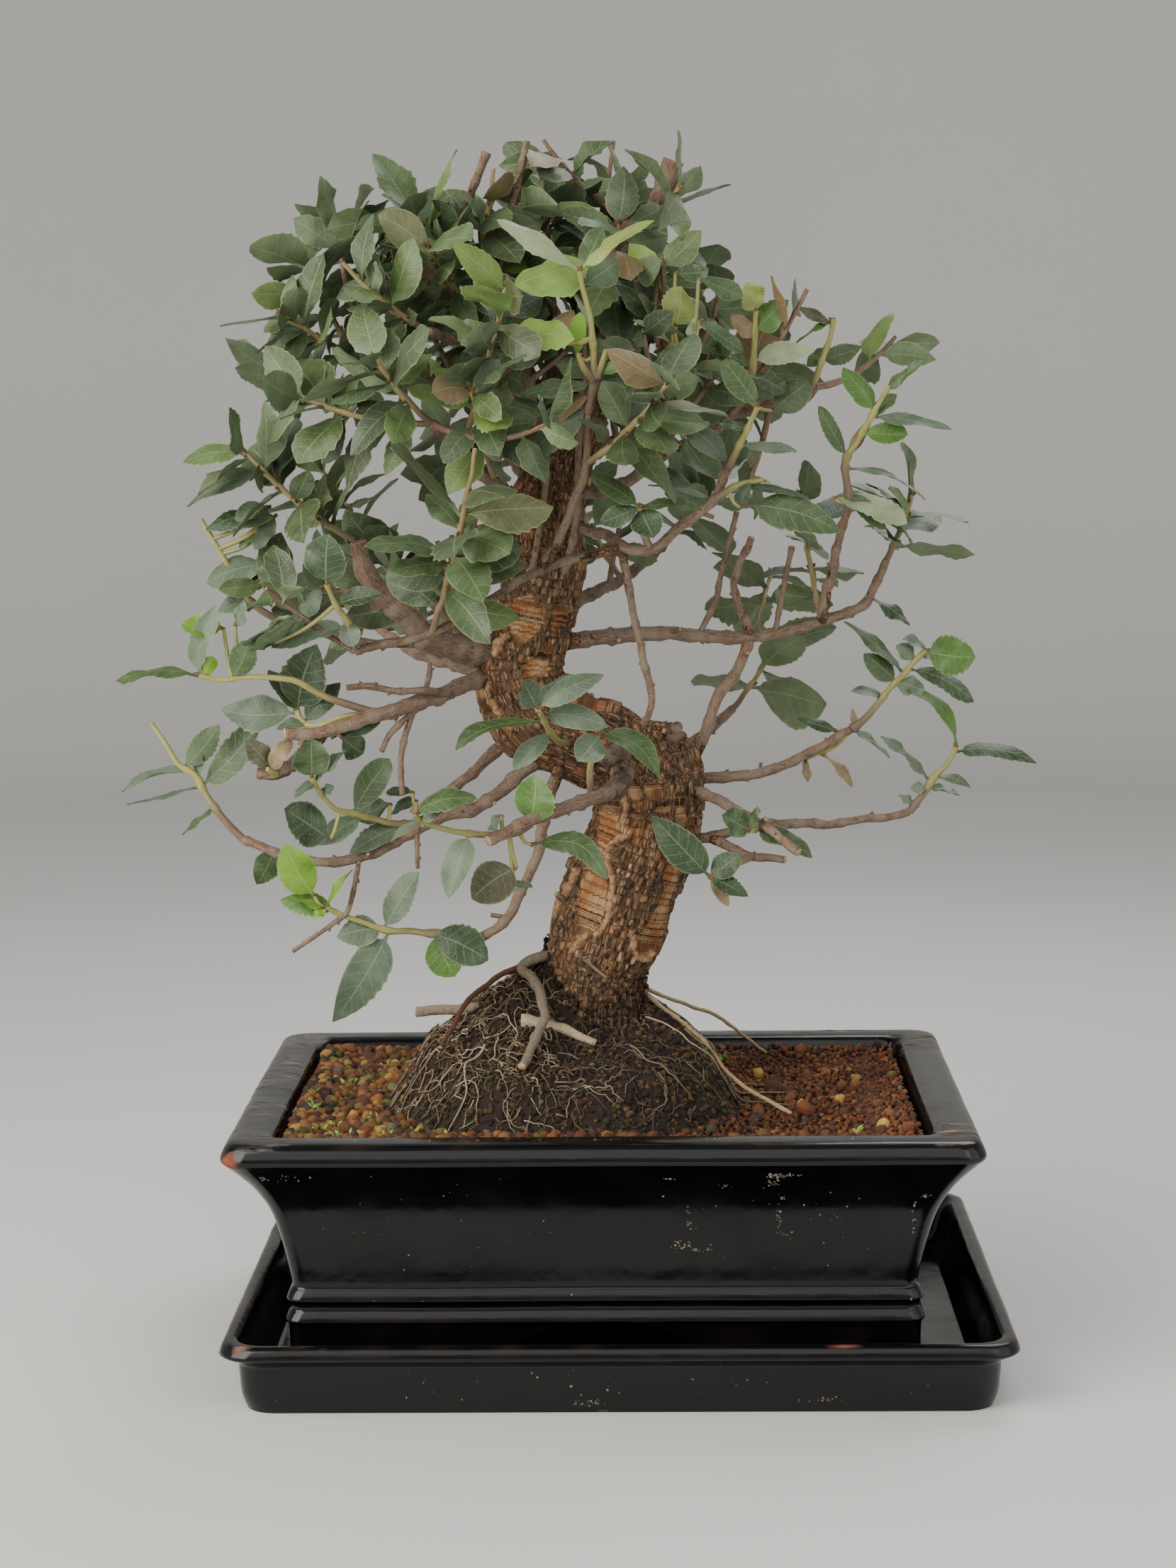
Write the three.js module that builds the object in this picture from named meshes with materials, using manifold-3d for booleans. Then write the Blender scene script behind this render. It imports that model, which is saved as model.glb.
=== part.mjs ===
// Cork oak bonsai in a glazed rectangular pot that stands on its saucer.
// Millimetres, +Z up. The origin is the middle of the saucer's flat underside, so z = 0 is the table.
// The tree's front looks along -Y.
import * as THREE from "three";
import { mergeVertices } from "three/addons/utils/BufferGeometryUtils.js";
import Module from "manifold-3d";

const wasm = await Module();
wasm.setup();

// Driving sizes
const GAP = 0.35;
const POT_LENGTH = 260;
const POT_DEPTH = 193;
const POT_CORNER = 9;
const POT_SHIFT = -5;
const SAUCER_LENGTH = 273;
const SAUCER_DEPTH = 207;
const SAUCER_CORNER = 12;
const SAUCER_FLOOR = 7;
const POT_FOOT = SAUCER_FLOOR + GAP;
const POT_FLOOR_UNDER = 24;
const POT_FLOOR = 32;
const POT_TOP = 93;
const FOOT_BAND = 11;
const DRAIN_RADIUS = 7;
const DRAIN_REACH = 52;
const SCREEN_SIZE = 24;
const SCREEN_THICK = 1.2;
const SOIL_TOP = 88;
const CORNER_STEPS = 2;

// Each profile point is its height and how far it lies inside the widest outline.
const POT_OUTSIDE = [
  [POT_FOOT, 20.5], [25.2, 20.5], [26, 19], [29.4, 19], [30, 20.8], [32.6, 20.8], [33.2, 19.5],
  [36.8, 19.5], [37.6, 21.4], [52, 19.4], [66, 15.6], [76, 9.6], [84, 2.4], [86.4, 0], [91, 0], [POT_TOP, 2],
];
const POT_INSIDE = [[POT_TOP, 15], [90.5, 17], [80, 19.5], [66, 24.5], [46, 29], [POT_FLOOR, 33]];
const SAUCER_OUTSIDE = [[0, 8.5], [5, 6.8], [14, 6.2], [17, 6.2], [20, 1.2], [22.6, 0], [25, 1.8]];
const SAUCER_INSIDE = [[25, 5.4], [22.4, 7.2], [12, 10], [SAUCER_FLOOR, 14]];
// Half the width of the arch in the foot band, at each height
const ARCH_HALF_WIDTHS = [[POT_FOOT - 2, 34], [14, 33], [19.5, 29.5], [23, 21], [26.2, 12]];

// The trunk's centre line with its radius. The upper trunk starts inside the shoulder of the lower one.
const LOWER_TRUNK = [
  [-8, -2, 62, 12], [-8, -1, 92, 18], [-8, 0, 108, 19.5], [-8, 0, 124, 18.5], [-7, 0, 138, 18.5],
  [-3, 0, 151, 21], [2, 0, 166, 20.5], [8, 0, 181, 20], [11, 0, 195, 19.5], [11, 0, 206, 20.5], [10, 0, 215, 17.5],
];
const UPPER_TRUNK = [
  [7, 0, 207, 14], [-3, 0, 216, 16.5], [-15, 0, 221, 16], [-28, 0, 229, 18], [-34, 0, 242, 16.5],
  [-31, 0, 256, 14], [-28, 0, 270, 14], [-26, 0, 284, 15], [-26, 0, 297, 14.5], [-23, 0, 310, 12.5], [-20, 0, 322, 10],
];
const TRUNK_SIDES = 14;

// Limbs: the radius at the start and at the end, then the knots of the centre line.
const LIMBS = {
  leader_left: [7.5, 3.2, [[-22, 0, 312], [-33, -4, 343], [-44, -10, 366], [-47, -16, 389]]],
  leader_right: [8, 3.7, [[-20, 0, 312], [-8, 4, 343], [-1, 6, 366], [-6, 5, 389], [14, 3, 405], [22, 0, 425]]],
  leader_middle: [6, 2.6, [[-21, 2, 312], [-21, 8, 343], [-21, 14, 371]]],
  crown_front_left: [2.2, 1.6, [[-44, -10, 366], [-52, -32, 362], [-62, -52, 365]]],
  crown_left: [2.2, 1.6, [[-44, -10, 366], [-58, -6, 368], [-70, -4, 373]]],
  crown_far_left: [2.8, 1.7, [[-33, -4, 343], [-52, -10, 345], [-72, -15, 350], [-90, -20, 357]]],
  crown_front: [2.8, 1.7, [[-26, -8, 300], [-40, -34, 312], [-52, -56, 324], [-60, -66, 334]]],
  crown_right: [3, 1.8, [[-20, 3, 318], [8, 12, 328], [34, 10, 334], [56, 4, 339], [72, 0, 345]]],
  riser: [2.2, 1.7, [[-22, -4, 308], [0, -14, 310], [17, -20, 324], [19, -24, 345], [18, -25, 366]]],
  riser_fork: [1.7, 1.4, [[17, -20, 324], [32, -22, 327], [45, -22, 340]]],
  crown_back: [3, 1.8, [[-24, 4, 306], [-34, 26, 316], [-46, 44, 330]]],
  left_thick: [5.4, 3, [[-30, 0, 250], [-49, -5, 252], [-65, -15, 257], [-75, -23, 268], [-86, -31, 281], [-89, -34, 293]]],
  left_upper: [3, 1.7, [[-32, 0, 254], [-53, 6, 256], [-61, 11, 265], [-72, 20, 274], [-82, 28, 284]]],
  left_inner: [1.9, 1.5, [[-65, -15, 257], [-88, -24, 257], [-110, -34, 264]]],
  left_lower: [3.2, 2, [[-34, -2, 240], [-49, -10, 242], [-64, -30, 238], [-82, -45, 234], [-100, -55, 229], [-113, -60, 229]]],
  left_drop: [1.9, 1.6, [[-100, -55, 229], [-108, -53, 219], [-123, -55, 214]]],
  low_left_back: [2.4, 1.6, [[-30, 4, 228], [-43, 8, 216], [-54, 12, 205], [-68, 20, 195], [-76, 22, 190]]],
  low_left: [2.7, 1.5, [[-20, -4, 220], [-37, -10, 206], [-50, -16, 197], [-65, -22, 193], [-91, -28, 181], [-112, -26, 180], [-133, -22, 187]]],
  low_hanging: [2.2, 1.5, [[-18, -8, 216], [-24, -15, 200], [-27, -20, 186], [-32, -24, 172], [-41, -28, 157], [-52, -30, 150]]],
  front_low: [2.9, 1.9, [[4, -12, 214], [-1, -30, 205], [-13, -45, 202], [-28, -60, 199], [-43, -72, 193]]],
  right_long: [2.9, 1.5, [[-26, 2, 254], [9, 5, 257], [30, 10, 256], [49, 12, 255], [75, 18, 260], [91, 20, 267], [99, 22, 282]]],
  right_rise: [1.7, 1.4, [[75, 18, 260], [79, 4, 284], [83, -16, 306]]],
  right_twig: [1.5, 1.3, [[49, 12, 255], [43, 2, 276], [49, -4, 292]]],
  right_link: [2.2, 1.8, [[22, 2, 204], [32, 3, 220], [36, 5, 233], [44, 9, 243], [49, 12, 255]]],
  right_middle: [2.1, 1.5, [[14, 2, 204], [40, 4, 205], [56, 8, 207], [71, 12, 213], [86, 14, 221]]],
  right_front: [2.2, 1.5, [[14, -8, 206], [30, -10, 201], [41, -18, 197], [51, -26, 192], [64, -36, 183]]],
  right_low: [2, 1.4, [[14, -2, 184], [34, -4, 184], [50, -8, 189], [62, 0, 188], [82, 10, 187], [107, 15, 190]]],
  right_stub: [1.7, 1.4, [[34, -4, 184], [47, -14, 179], [60, -20, 178]]],
  front_arch: [2, 1.5, [[-18, -6, 298], [-2, -30, 294], [3, -48, 291], [13, -52, 290], [24, -53, 299], [34, -53, 307], [40, -50, 319]]],
  front_reach: [1.6, 1.3, [[3, -48, 291], [-24, -53, 284], [-43, -56, 273], [-62, -59, 263], [-88, -62, 257]]],
  front_drop: [1.3, 1.2, [[3, -48, 291], [6, -51, 272], [9, -52, 258], [13, -50, 240], [10, -48, 230]]],
  front_rise: [1.5, 1.3, [[-24, -53, 284], [-14, -56, 304], [-9, -58, 320], [-8, -61, 337]]],
  back_right: [3, 1.7, [[-29, 4, 262], [-16, 26, 267], [2, 46, 275], [18, 64, 286]]],
  back_left: [3, 1.7, [[-34, 6, 242], [-54, 28, 243], [-74, 48, 247], [-90, 62, 255]]],
  back_low: [3, 1.7, [[10, 8, 204], [18, 30, 207], [30, 52, 213], [44, 70, 223]]],
};
const LIMB_SIDES = 5;
const SLENDER_SIDES = 4;
const SLENDER_RADIUS = 3;

// Roots that leave the trunk and hang over the mound: radii and knots, as limbs
const ROOTS = {
  bent_front: [
    2, 1.6,
    [[-14, -2, 141], [-34.5, -8, 138], [-28, -19, 131.5], [-26, -30.5, 123.5], [-30.5, -42.5, 114], [-33.5, -50, 110]],
  ],
  red_brown: [1.2, 0.8, [[-18, -2, 136], [-43, -5, 134], [-54, -12, 127], [-60, -26, 118], [-63, -34, 113.5]]],
  far_right: [0.8, 0.6, [[0, 3, 126], [16, 11, 123], [36, 34, 111], [56, 58, 91]]],
  main_right: [1, 0.7, [[0, -1, 122], [14, -3, 119], [24, -5, 113], [32, -10, 105], [46, -22, 95.5], [61, -42, 91]]],
  back: [1.6, 1, [[-10, 8, 128], [-16, 24, 121], [-26, 40, 108], [-38, 50, 95.5]]],
};
// Old broken roots half sunk in the mound, which belong to the root ball
const BALL_ROOTS = {
  pale_stub: [1.8, 1.9, [[-36, -6, 125], [-50, -8, 123], [-60, -7, 122], [-73.5, -6, 121]]],
  pale_chunk: [2.6, 1.5, [[-34.5, -24.5, 121], [-28, -25, 120], [-19.5, -25.5, 118], [-8, -28, 113.5]]],
};
const ROOT_LIFT = 1.6;

// Leafy shoots: where each springs from the wood (the nearest knot is taken), its tip, the number of leaves,
// the length of a leaf, how much stem stands bare at the tip, and the side of the stem that its first leaf is on.
const SHOOTS = [
  // Top of the crown
  [[-47, -16, 389], [-68, -30, 405], 8, 27, 0, 0],
  [[-47, -16, 389], [-40, -26, 421], 6, 24, 9, 1],
  [[-70, -4, 373], [-92, -4, 404], 8, 25, 0, 2],
  [[-21, 14, 371], [-25, 8, 429], 9, 24, 8, 3],
  [[-6, 5, 389], [6, 36, 408], 8, 25, 0, 4],
  [[14, 3, 405], [24, -20, 414], 5, 24, 0, 0],
  [[-1, 6, 366], [2, -26, 402], 8, 24, 0, 1],
  [[-21, 14, 371], [-34, 44, 404], 9, 25, 0, 2],
  [[-44, -10, 366], [-84, 24, 396], 8, 25, 0, 3],
  // Front of the crown
  [[-62, -52, 365], [-90, -58, 388], 7, 24, 6, 4],
  [[-44, -10, 366], [-62, -50, 394], 8, 25, 0, 0],
  [[-52, -56, 324], [-34, -74, 380], 10, 26, 0, 1],
  [[-8, -61, 337], [-9, -76, 384], 6, 33, 0, 3],
  [[-60, -66, 334], [-78, -80, 356], 6, 31, 0, 3],
  [[-60, -66, 334], [-106, -62, 344], 8, 25, 0, 4],
  [[-40, -34, 312], [-46, -84, 346], 8, 25, 0, 0],
  [[-62, -59, 263], [-44, -96, 326], 7, 31, 12, 4],
  [[-9, -58, 320], [20, -80, 348], 8, 26, 0, 1],
  [[13, -52, 290], [10, -86, 312], 6, 27, 0, 4],
  [[19, -24, 345], [26, -52, 372], 6, 28, 0, 2],
  [[40, -50, 319], [52, -66, 344], 6, 26, 5, 2],
  [[34, -53, 307], [64, -50, 310], 6, 29, 0, 0],
  // Left of the crown
  [[-90, -20, 357], [-106, -18, 390], 8, 26, 0, 0],
  [[-72, -15, 350], [-130, 6, 352], 9, 26, 0, 2],
  [[-52, -10, 345], [-114, -36, 372], 9, 25, 0, 4],
  [[-89, -34, 293], [-127, -46, 326], 8, 28, 0, 0],
  [[-110, -34, 264], [-143, -38, 302], 7, 28, 10, 0],
  // Right of the crown
  [[45, -22, 340], [52, -24, 378], 8, 25, 8, 3],
  [[72, 0, 345], [82, 2, 372], 7, 27, 0, 0],
  [[83, -16, 306], [96, -30, 346], 8, 28, 9, 1],
  [[99, 22, 282], [108, 16, 306], 7, 27, 0, 1],
  [[75, 18, 260], [68, 30, 306], 7, 26, 0, 4],
  // Back of the crown
  [[8, 12, 328], [34, 34, 384], 9, 27, 0, 1],
  [[34, 10, 334], [56, 48, 354], 8, 27, 0, 3],
  [[18, 64, 286], [38, 82, 312], 8, 28, 0, 2],
  [[2, 46, 275], [-16, 80, 306], 8, 28, 0, 0],
  [[-46, 44, 330], [-66, 62, 362], 9, 27, 0, 4],
  [[-82, 28, 284], [-110, 42, 318], 8, 27, 0, 1],
  // Lower shoots on the left
  [[-90, 62, 255], [-112, 74, 272], 6, 28, 0, 3],
  [[-82, -45, 234], [-122, -22, 244], 6, 32, 0, 4],
  [[-82, -45, 234], [-148, -56, 251], 7, 28, 0, 2],
  [[-133, -22, 187], [-160, -22, 228], 7, 27, 5, 0],
  [[-52, -30, 150], [-107, -42, 171], 8, 30, 0, 3],
  [[-88, -62, 257], [-100, -82, 280], 6, 30, 0, 1],
  [[-123, -55, 214], [-132, -72, 204], 5, 26, 0, 0],
  [[-65, -22, 193], [-92, -54, 212], 7, 26, 0, 0],
  [[-28, -60, 199], [-74, -88, 203], 8, 25, 0, 3],
  [[-15, 0, 222], [-26, -74, 242], 7, 28, 0, 1],
  // Lower shoots on the right
  [[51, -26, 192], [26, -42, 176], 6, 26, 0, 4],
  [[107, 15, 190], [125, 13, 214], 7, 28, 0, 2],
  [[86, 14, 221], [114, 14, 250], 9, 26, 0, 0],
  [[44, 70, 223], [60, 84, 246], 6, 28, 0, 0],
  [[49, 12, 255], [58, 56, 276], 6, 28, 0, 2],
];
const TWIG_RADII = [1.4, 0.8];
const STEM_SIDES = 5;
const STALK_HALF = 0.8;
const NODE_SPACING = 8;
const FIRST_LEAF_SHARE = 0.2;
const TWIG_SAG = 0.12;
const LEAF_WIDTH = 0.56;
const LEAF_HALF_THICK = 0.6;
// Half the blade on one side: share of the length, and share of the half width. Teeth stand at .58 and .85,
// and on a small leaf at .64.
const LEAF_SIDE = [[0.24, 0.8], [0.58, 1], [0.62, 0.8], [0.85, 0.52]];
const SMALL_LEAF_SIDE = [[0.3, 0.86], [0.64, 0.98], [0.69, 0.74]];
const SMALL_LEAF = 28.5;
const LEAF_MIDDLE = 0.42;
const LEAF_SPACING = 3.6;
const WOOD_SPACING = 2.2;
const LEAF_TRIES = 16;
const CROWN_AXIS = new THREE.Vector3(-12, 0, 0);

// Colours of each piece, with roughness
const COLOURS = {
  glaze: [0x17181a, 0.22],
  bark: [0x6d4a33, 0.9],
  leaf: [0x46603c, 0.55],
  akadama: [0x80502f, 1],
  peat: [0x2e241c, 1],
  screen: [0x22241f, 0.6],
};

// A number from 0 to 1 that depends only on its whole-number keys
function chance(...keys) {
  let mix = 2166136261;
  for (const key of keys) {
    mix = Math.imul(mix ^ key, 16777619) >>> 0;
    mix = Math.imul(mix ^ (mix >>> 15), 2246822519) >>> 0;
  }
  mix = Math.imul(mix ^ (mix >>> 13), 3266489917) >>> 0;
  return ((mix ^ (mix >>> 16)) >>> 0) / 4294967296;
}

function between(low, high, ...keys) {
  return low + (high - low) * chance(...keys);
}

function vector(place) {
  return new THREE.Vector3(place[0], place[1], place[2]);
}

// Closed solids from rings of points, and joins and cuts

function closedSolid(points, triangles) {
  const geometry = new THREE.BufferGeometry();
  geometry.setAttribute("position", new THREE.Float32BufferAttribute(points.flatMap((p) => [p.x, p.y, p.z]), 3));
  geometry.setIndex(triangles.flat());
  const merged = mergeVertices(geometry, 1e-4);
  return new wasm.Manifold(
    new wasm.Mesh({
      numProp: 3,
      vertProperties: merged.attributes.position.array,
      triVerts: new Uint32Array(merged.index.array),
    }),
  );
}

// A stack of rings, each going round anticlockwise seen from the last ring, closed by a fan at both ends
function loft(rings) {
  const count = rings[0].length;
  const points = rings.flat();
  const triangles = [];
  for (let level = 0; level + 1 < rings.length; level++) {
    for (let i = 0; i < count; i++) {
      const a = level * count + i;
      const b = level * count + ((i + 1) % count);
      triangles.push([a, b, b + count], [a, b + count, a + count]);
    }
  }
  for (const [level, flip] of [[0, true], [rings.length - 1, false]]) {
    const middle = points.length;
    const centre = new THREE.Vector3();
    rings[level].forEach((p) => centre.addScaledVector(p, 1 / count));
    points.push(centre);
    for (let i = 0; i < count; i++) {
      const a = level * count + i;
      const b = level * count + ((i + 1) % count);
      triangles.push(flip ? [middle, b, a] : [middle, a, b]);
    }
  }
  return closedSolid(points, triangles);
}

function solidOf(geometry) {
  const bare = geometry.clone();
  bare.deleteAttribute("normal");
  bare.deleteAttribute("uv");
  const merged = mergeVertices(bare, 1e-4);
  return new wasm.Manifold(
    new wasm.Mesh({
      numProp: 3,
      vertProperties: merged.attributes.position.array,
      triVerts: new Uint32Array(merged.index.array),
    }),
  );
}

function fuse(solids) {
  return solids.reduce((whole, next) => whole.add(next));
}

function meshOf(name, solid, finish) {
  const made = solid.getMesh();
  const positions = [];
  for (let i = 0; i < made.numVert; i++) {
    for (let axis = 0; axis < 3; axis++) positions.push(made.vertProperties[i * made.numProp + axis]);
  }
  const geometry = new THREE.BufferGeometry();
  geometry.setAttribute("position", new THREE.Float32BufferAttribute(positions, 3));
  geometry.setIndex([...made.triVerts]);
  geometry.computeVertexNormals();
  const [color, roughness] = COLOURS[finish];
  const mesh = new THREE.Mesh(geometry, new THREE.MeshStandardMaterial({ color, roughness, metalness: 0 }));
  mesh.name = name;
  return mesh;
}

// Pot and saucer

function rectangleRing(halfLength, halfDepth, corner, z) {
  const ring = [];
  for (let quarter = 0; quarter < 4; quarter++) {
    const sideX = quarter === 0 || quarter === 3 ? 1 : -1;
    const sideY = quarter < 2 ? 1 : -1;
    for (let step = 0; step <= CORNER_STEPS; step++) {
      const angle = ((quarter + step / CORNER_STEPS) * Math.PI) / 2;
      ring.push(
        new THREE.Vector3(
          sideX * (halfLength - corner) + corner * Math.cos(angle),
          sideY * (halfDepth - corner) + corner * Math.sin(angle),
          z,
        ),
      );
    }
  }
  return ring;
}

function profileRings(profile, length, depth, corner) {
  return profile.map(([z, inset]) =>
    rectangleRing(length / 2 - inset, depth / 2 - inset, Math.max(corner - inset / 6, 3), z),
  );
}

function saucer() {
  return loft(profileRings([...SAUCER_OUTSIDE, ...SAUCER_INSIDE], SAUCER_LENGTH, SAUCER_DEPTH, SAUCER_CORNER));
}

// A prism with the arch's outline, through the foot band on both sides along Y, or turned to run along X
function archCutter(reach, alongX) {
  const shape = new THREE.Shape();
  const right = ARCH_HALF_WIDTHS.map(([z, half]) => [half, z]);
  const left = ARCH_HALF_WIDTHS.map(([z, half]) => [-half, z]).reverse();
  shape.setFromPoints([...right, ...left].map(([x, z]) => new THREE.Vector2(x, z)));
  const prism = new THREE.ExtrudeGeometry(shape, { depth: reach, bevelEnabled: false });
  prism.rotateX(Math.PI / 2);
  if (alongX) prism.rotateZ(Math.PI / 2);
  return prism;
}

function pot() {
  const block = loft(profileRings([...POT_OUTSIDE, ...POT_INSIDE], POT_LENGTH, POT_DEPTH, POT_CORNER));
  const footHalfLength = POT_LENGTH / 2 - POT_OUTSIDE[0][1];
  const footHalfDepth = POT_DEPTH / 2 - POT_OUTSIDE[0][1];
  const recess = loft(
    [POT_FOOT - 2, POT_FLOOR_UNDER].map((z) =>
      rectangleRing(footHalfLength - FOOT_BAND, footHalfDepth - FOOT_BAND, 4, z),
    ),
  );
  const cutters = [recess];
  for (const side of [1, -1]) {
    const through = FOOT_BAND + 8;
    const acrossY = archCutter(through, false);
    acrossY.translate(0, side * (footHalfDepth - FOOT_BAND / 2) + through / 2, 0);
    const acrossX = archCutter(through, true);
    acrossX.translate(side * (footHalfLength - FOOT_BAND / 2) - through / 2, 0, 0);
    const drain = new THREE.CylinderGeometry(DRAIN_RADIUS, DRAIN_RADIUS, 20, 16);
    drain.rotateX(Math.PI / 2);
    drain.translate(side * DRAIN_REACH, 0, (POT_FLOOR + POT_FLOOR_UNDER) / 2);
    cutters.push(solidOf(acrossY), solidOf(acrossX), solidOf(drain));
  }
  return cutters.reduce((rest, cutter) => rest.subtract(cutter), block);
}

// A plastic mesh plate over a drainage hole
function drainageScreen(side) {
  const half = SCREEN_SIZE / 2;
  const plate = new THREE.Shape([
    new THREE.Vector2(-half, -half), new THREE.Vector2(half, -half),
    new THREE.Vector2(half, half), new THREE.Vector2(-half, half),
  ]);
  for (const row of [-1, 0, 1]) {
    const y = row * 7;
    plate.holes.push(
      new THREE.Path([
        new THREE.Vector2(-9, y - 1.5), new THREE.Vector2(-9, y + 1.5),
        new THREE.Vector2(9, y + 1.5), new THREE.Vector2(9, y - 1.5),
      ]),
    );
  }
  const geometry = new THREE.ExtrudeGeometry(plate, { depth: SCREEN_THICK, bevelEnabled: false });
  geometry.translate(side * DRAIN_REACH, 0, POT_FLOOR + GAP);
  return solidOf(geometry);
}

// Root ball: a mound of old soil and fine roots round the trunk's foot

const MOUND_SIDES = 20;
const MOUND_TOP = { x: -8, y: 0, share: 0.2 };
const MOUND_FOOT = { x: -20, y: -14, halfLength: 64, halfDepth: 61 };
// Share of the way out, and share of the height there
const MOUND_SLOPE = [[1, 0], [0.92, 0.16], [0.8, 0.44], [0.6, 0.62], [0.4, 0.8], [MOUND_TOP.share, 1]];
const MOUND_RELIEF = 0.7;
// Height, half length and half depth of the ball below the surface
const BALL_BELOW = [[44, 46, 40], [66, 54, 50]];

function moundCentre(share) {
  const inward = (1 - share) / (1 - MOUND_TOP.share);
  return {
    x: MOUND_FOOT.x + (MOUND_TOP.x - MOUND_FOOT.x) * inward,
    y: MOUND_FOOT.y + (MOUND_TOP.y - MOUND_FOOT.y) * inward,
  };
}

// The mound is highest on the left and at the back, and worn away at the front.
function moundTop(angle) {
  return 128 - 8 * Math.cos(angle) + 8 * Math.sin(angle) + 9 * Math.cos(angle) ** 2;
}

function moundPoint(share, rise, angle, grow) {
  const centre = moundCentre(share);
  return new THREE.Vector3(
    centre.x + (MOUND_FOOT.halfLength * share + grow) * Math.cos(angle),
    centre.y + (MOUND_FOOT.halfDepth * share + grow) * Math.sin(angle),
    SOIL_TOP + (moundTop(angle) - SOIL_TOP) * rise + grow,
  );
}

function moundHeight(x, y) {
  let share = 1;
  let angle = 0;
  for (let pass = 0; pass < 12; pass++) {
    const centre = moundCentre(Math.min(1, share));
    const dx = (x - centre.x) / MOUND_FOOT.halfLength;
    const dy = (y - centre.y) / MOUND_FOOT.halfDepth;
    share = Math.max(MOUND_TOP.share, Math.hypot(dx, dy));
    angle = Math.atan2(dy, dx);
  }
  if (share >= 1) return SOIL_TOP;
  const outer = MOUND_SLOPE.findLastIndex(([place]) => place >= share);
  const [farShare, farRise] = MOUND_SLOPE[outer];
  const [nearShare, nearRise] = MOUND_SLOPE[Math.min(outer + 1, MOUND_SLOPE.length - 1)];
  const part = farShare === nearShare ? 0 : (farShare - share) / (farShare - nearShare);
  return SOIL_TOP + (moundTop(angle) - SOIL_TOP) * (farRise + (nearRise - farRise) * part);
}

function rootBall(grow) {
  const rings = [];
  const ringOf = (pointAt) => {
    const ring = [];
    for (let i = 0; i < MOUND_SIDES; i++) ring.push(pointAt((i / MOUND_SIDES) * 2 * Math.PI, i));
    rings.push(ring);
  };
  const middle = moundCentre(0.6);
  for (const [z, halfLength, halfDepth] of BALL_BELOW) {
    ringOf(
      (angle) =>
        new THREE.Vector3(
          middle.x + (halfLength + grow) * Math.cos(angle),
          middle.y + (halfDepth + grow) * Math.sin(angle),
          z - grow,
        ),
    );
  }
  MOUND_SLOPE.forEach(([share, rise], level) => {
    ringOf((angle, i) => {
      const place = moundPoint(share, rise, angle, grow);
      if (level > 0) place.z += between(-MOUND_RELIEF, MOUND_RELIEF, 900, level, i);
      return place;
    });
  });
  return loft(rings);
}

// Substrate: akadama grains that fill the pot, with a lumpy top
const SUBSTRATE_SIDES = 32;
const SUBSTRATE_CORNER = 8;
const SUBSTRATE_RELIEF = 1.5;
const SUBSTRATE_SHARES = [0.93, 0.83, 0.72, 0.4];

function evenRectangleRing(halfLength, halfDepth, z) {
  const ring = [];
  for (let i = 0; i < SUBSTRATE_SIDES; i++) {
    const angle = ((i + 0.5) / SUBSTRATE_SIDES) * 2 * Math.PI;
    const flat = Math.max(Math.abs(Math.cos(angle)), Math.abs(Math.sin(angle)));
    const place = new THREE.Vector2((halfLength * Math.cos(angle)) / flat, (halfDepth * Math.sin(angle)) / flat);
    const inner = new THREE.Vector2(
      THREE.MathUtils.clamp(place.x, SUBSTRATE_CORNER - halfLength, halfLength - SUBSTRATE_CORNER),
      THREE.MathUtils.clamp(place.y, SUBSTRATE_CORNER - halfDepth, halfDepth - SUBSTRATE_CORNER),
    );
    const outward = place.clone().sub(inner);
    if (outward.length() > SUBSTRATE_CORNER) place.copy(inner).add(outward.setLength(SUBSTRATE_CORNER));
    ring.push(new THREE.Vector3(place.x, place.y, z));
  }
  return ring;
}

function substrate() {
  const sides = [[POT_FLOOR + GAP, 34], [46, 29.2], [66, 24.8], [SOIL_TOP, 19]];
  const rings = sides.map(([z, inset]) =>
    evenRectangleRing(POT_LENGTH / 2 - inset - GAP, POT_DEPTH / 2 - inset - GAP, z),
  );
  const lastInset = sides.at(-1)[1] + GAP;
  SUBSTRATE_SHARES.forEach((share, level) => {
    const ring = evenRectangleRing(
      (POT_LENGTH / 2 - lastInset) * share, (POT_DEPTH / 2 - lastInset) * share, SOIL_TOP,
    );
    ring.forEach((place, i) => {
      place.z += between(-SUBSTRATE_RELIEF, SUBSTRATE_RELIEF, 800, level, i);
    });
    rings.push(ring);
  });
  return loft(rings);
}

// Wood: tubes that taper from knot to knot

function tangentAt(knots, i) {
  const ahead = knots[Math.min(i + 1, knots.length - 1)];
  const behind = knots[Math.max(i - 1, 0)];
  return ahead.clone().sub(behind).normalize();
}

// Rings round the knots. The section's start is carried along without twisting.
function tubeRings(knots, radii, sides, shapeAt = () => 1) {
  let across = Math.abs(tangentAt(knots, 0).z) > 0.8 ? new THREE.Vector3(1, 0, 0) : new THREE.Vector3(0, 0, 1);
  return knots.map((knot, level) => {
    const along = tangentAt(knots, level);
    across = across.clone().addScaledVector(along, -across.dot(along)).normalize();
    const other = along.clone().cross(across);
    const ring = [];
    for (let i = 0; i < sides; i++) {
      const angle = (i / sides) * 2 * Math.PI;
      const reach = radii[level] * shapeAt(angle, level);
      ring.push(
        knot.clone().addScaledVector(across, reach * Math.cos(angle)).addScaledVector(other, reach * Math.sin(angle)),
      );
    }
    return ring;
  });
}

// Cork ridges that run up the trunk and wander a little from one height to the next
function ridges(angle, level) {
  const wander = 0.5 * Math.sin(level * 1.7);
  return 1 + 0.055 * Math.sin(5 * angle + wander) + 0.035 * Math.sin(8 * angle - 1.3 * level);
}

function trunkTube(line, grow, shapeAt) {
  return loft(tubeRings(line.map(vector), line.map((knot) => knot[3] + grow), TRUNK_SIDES, shapeAt));
}

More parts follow.
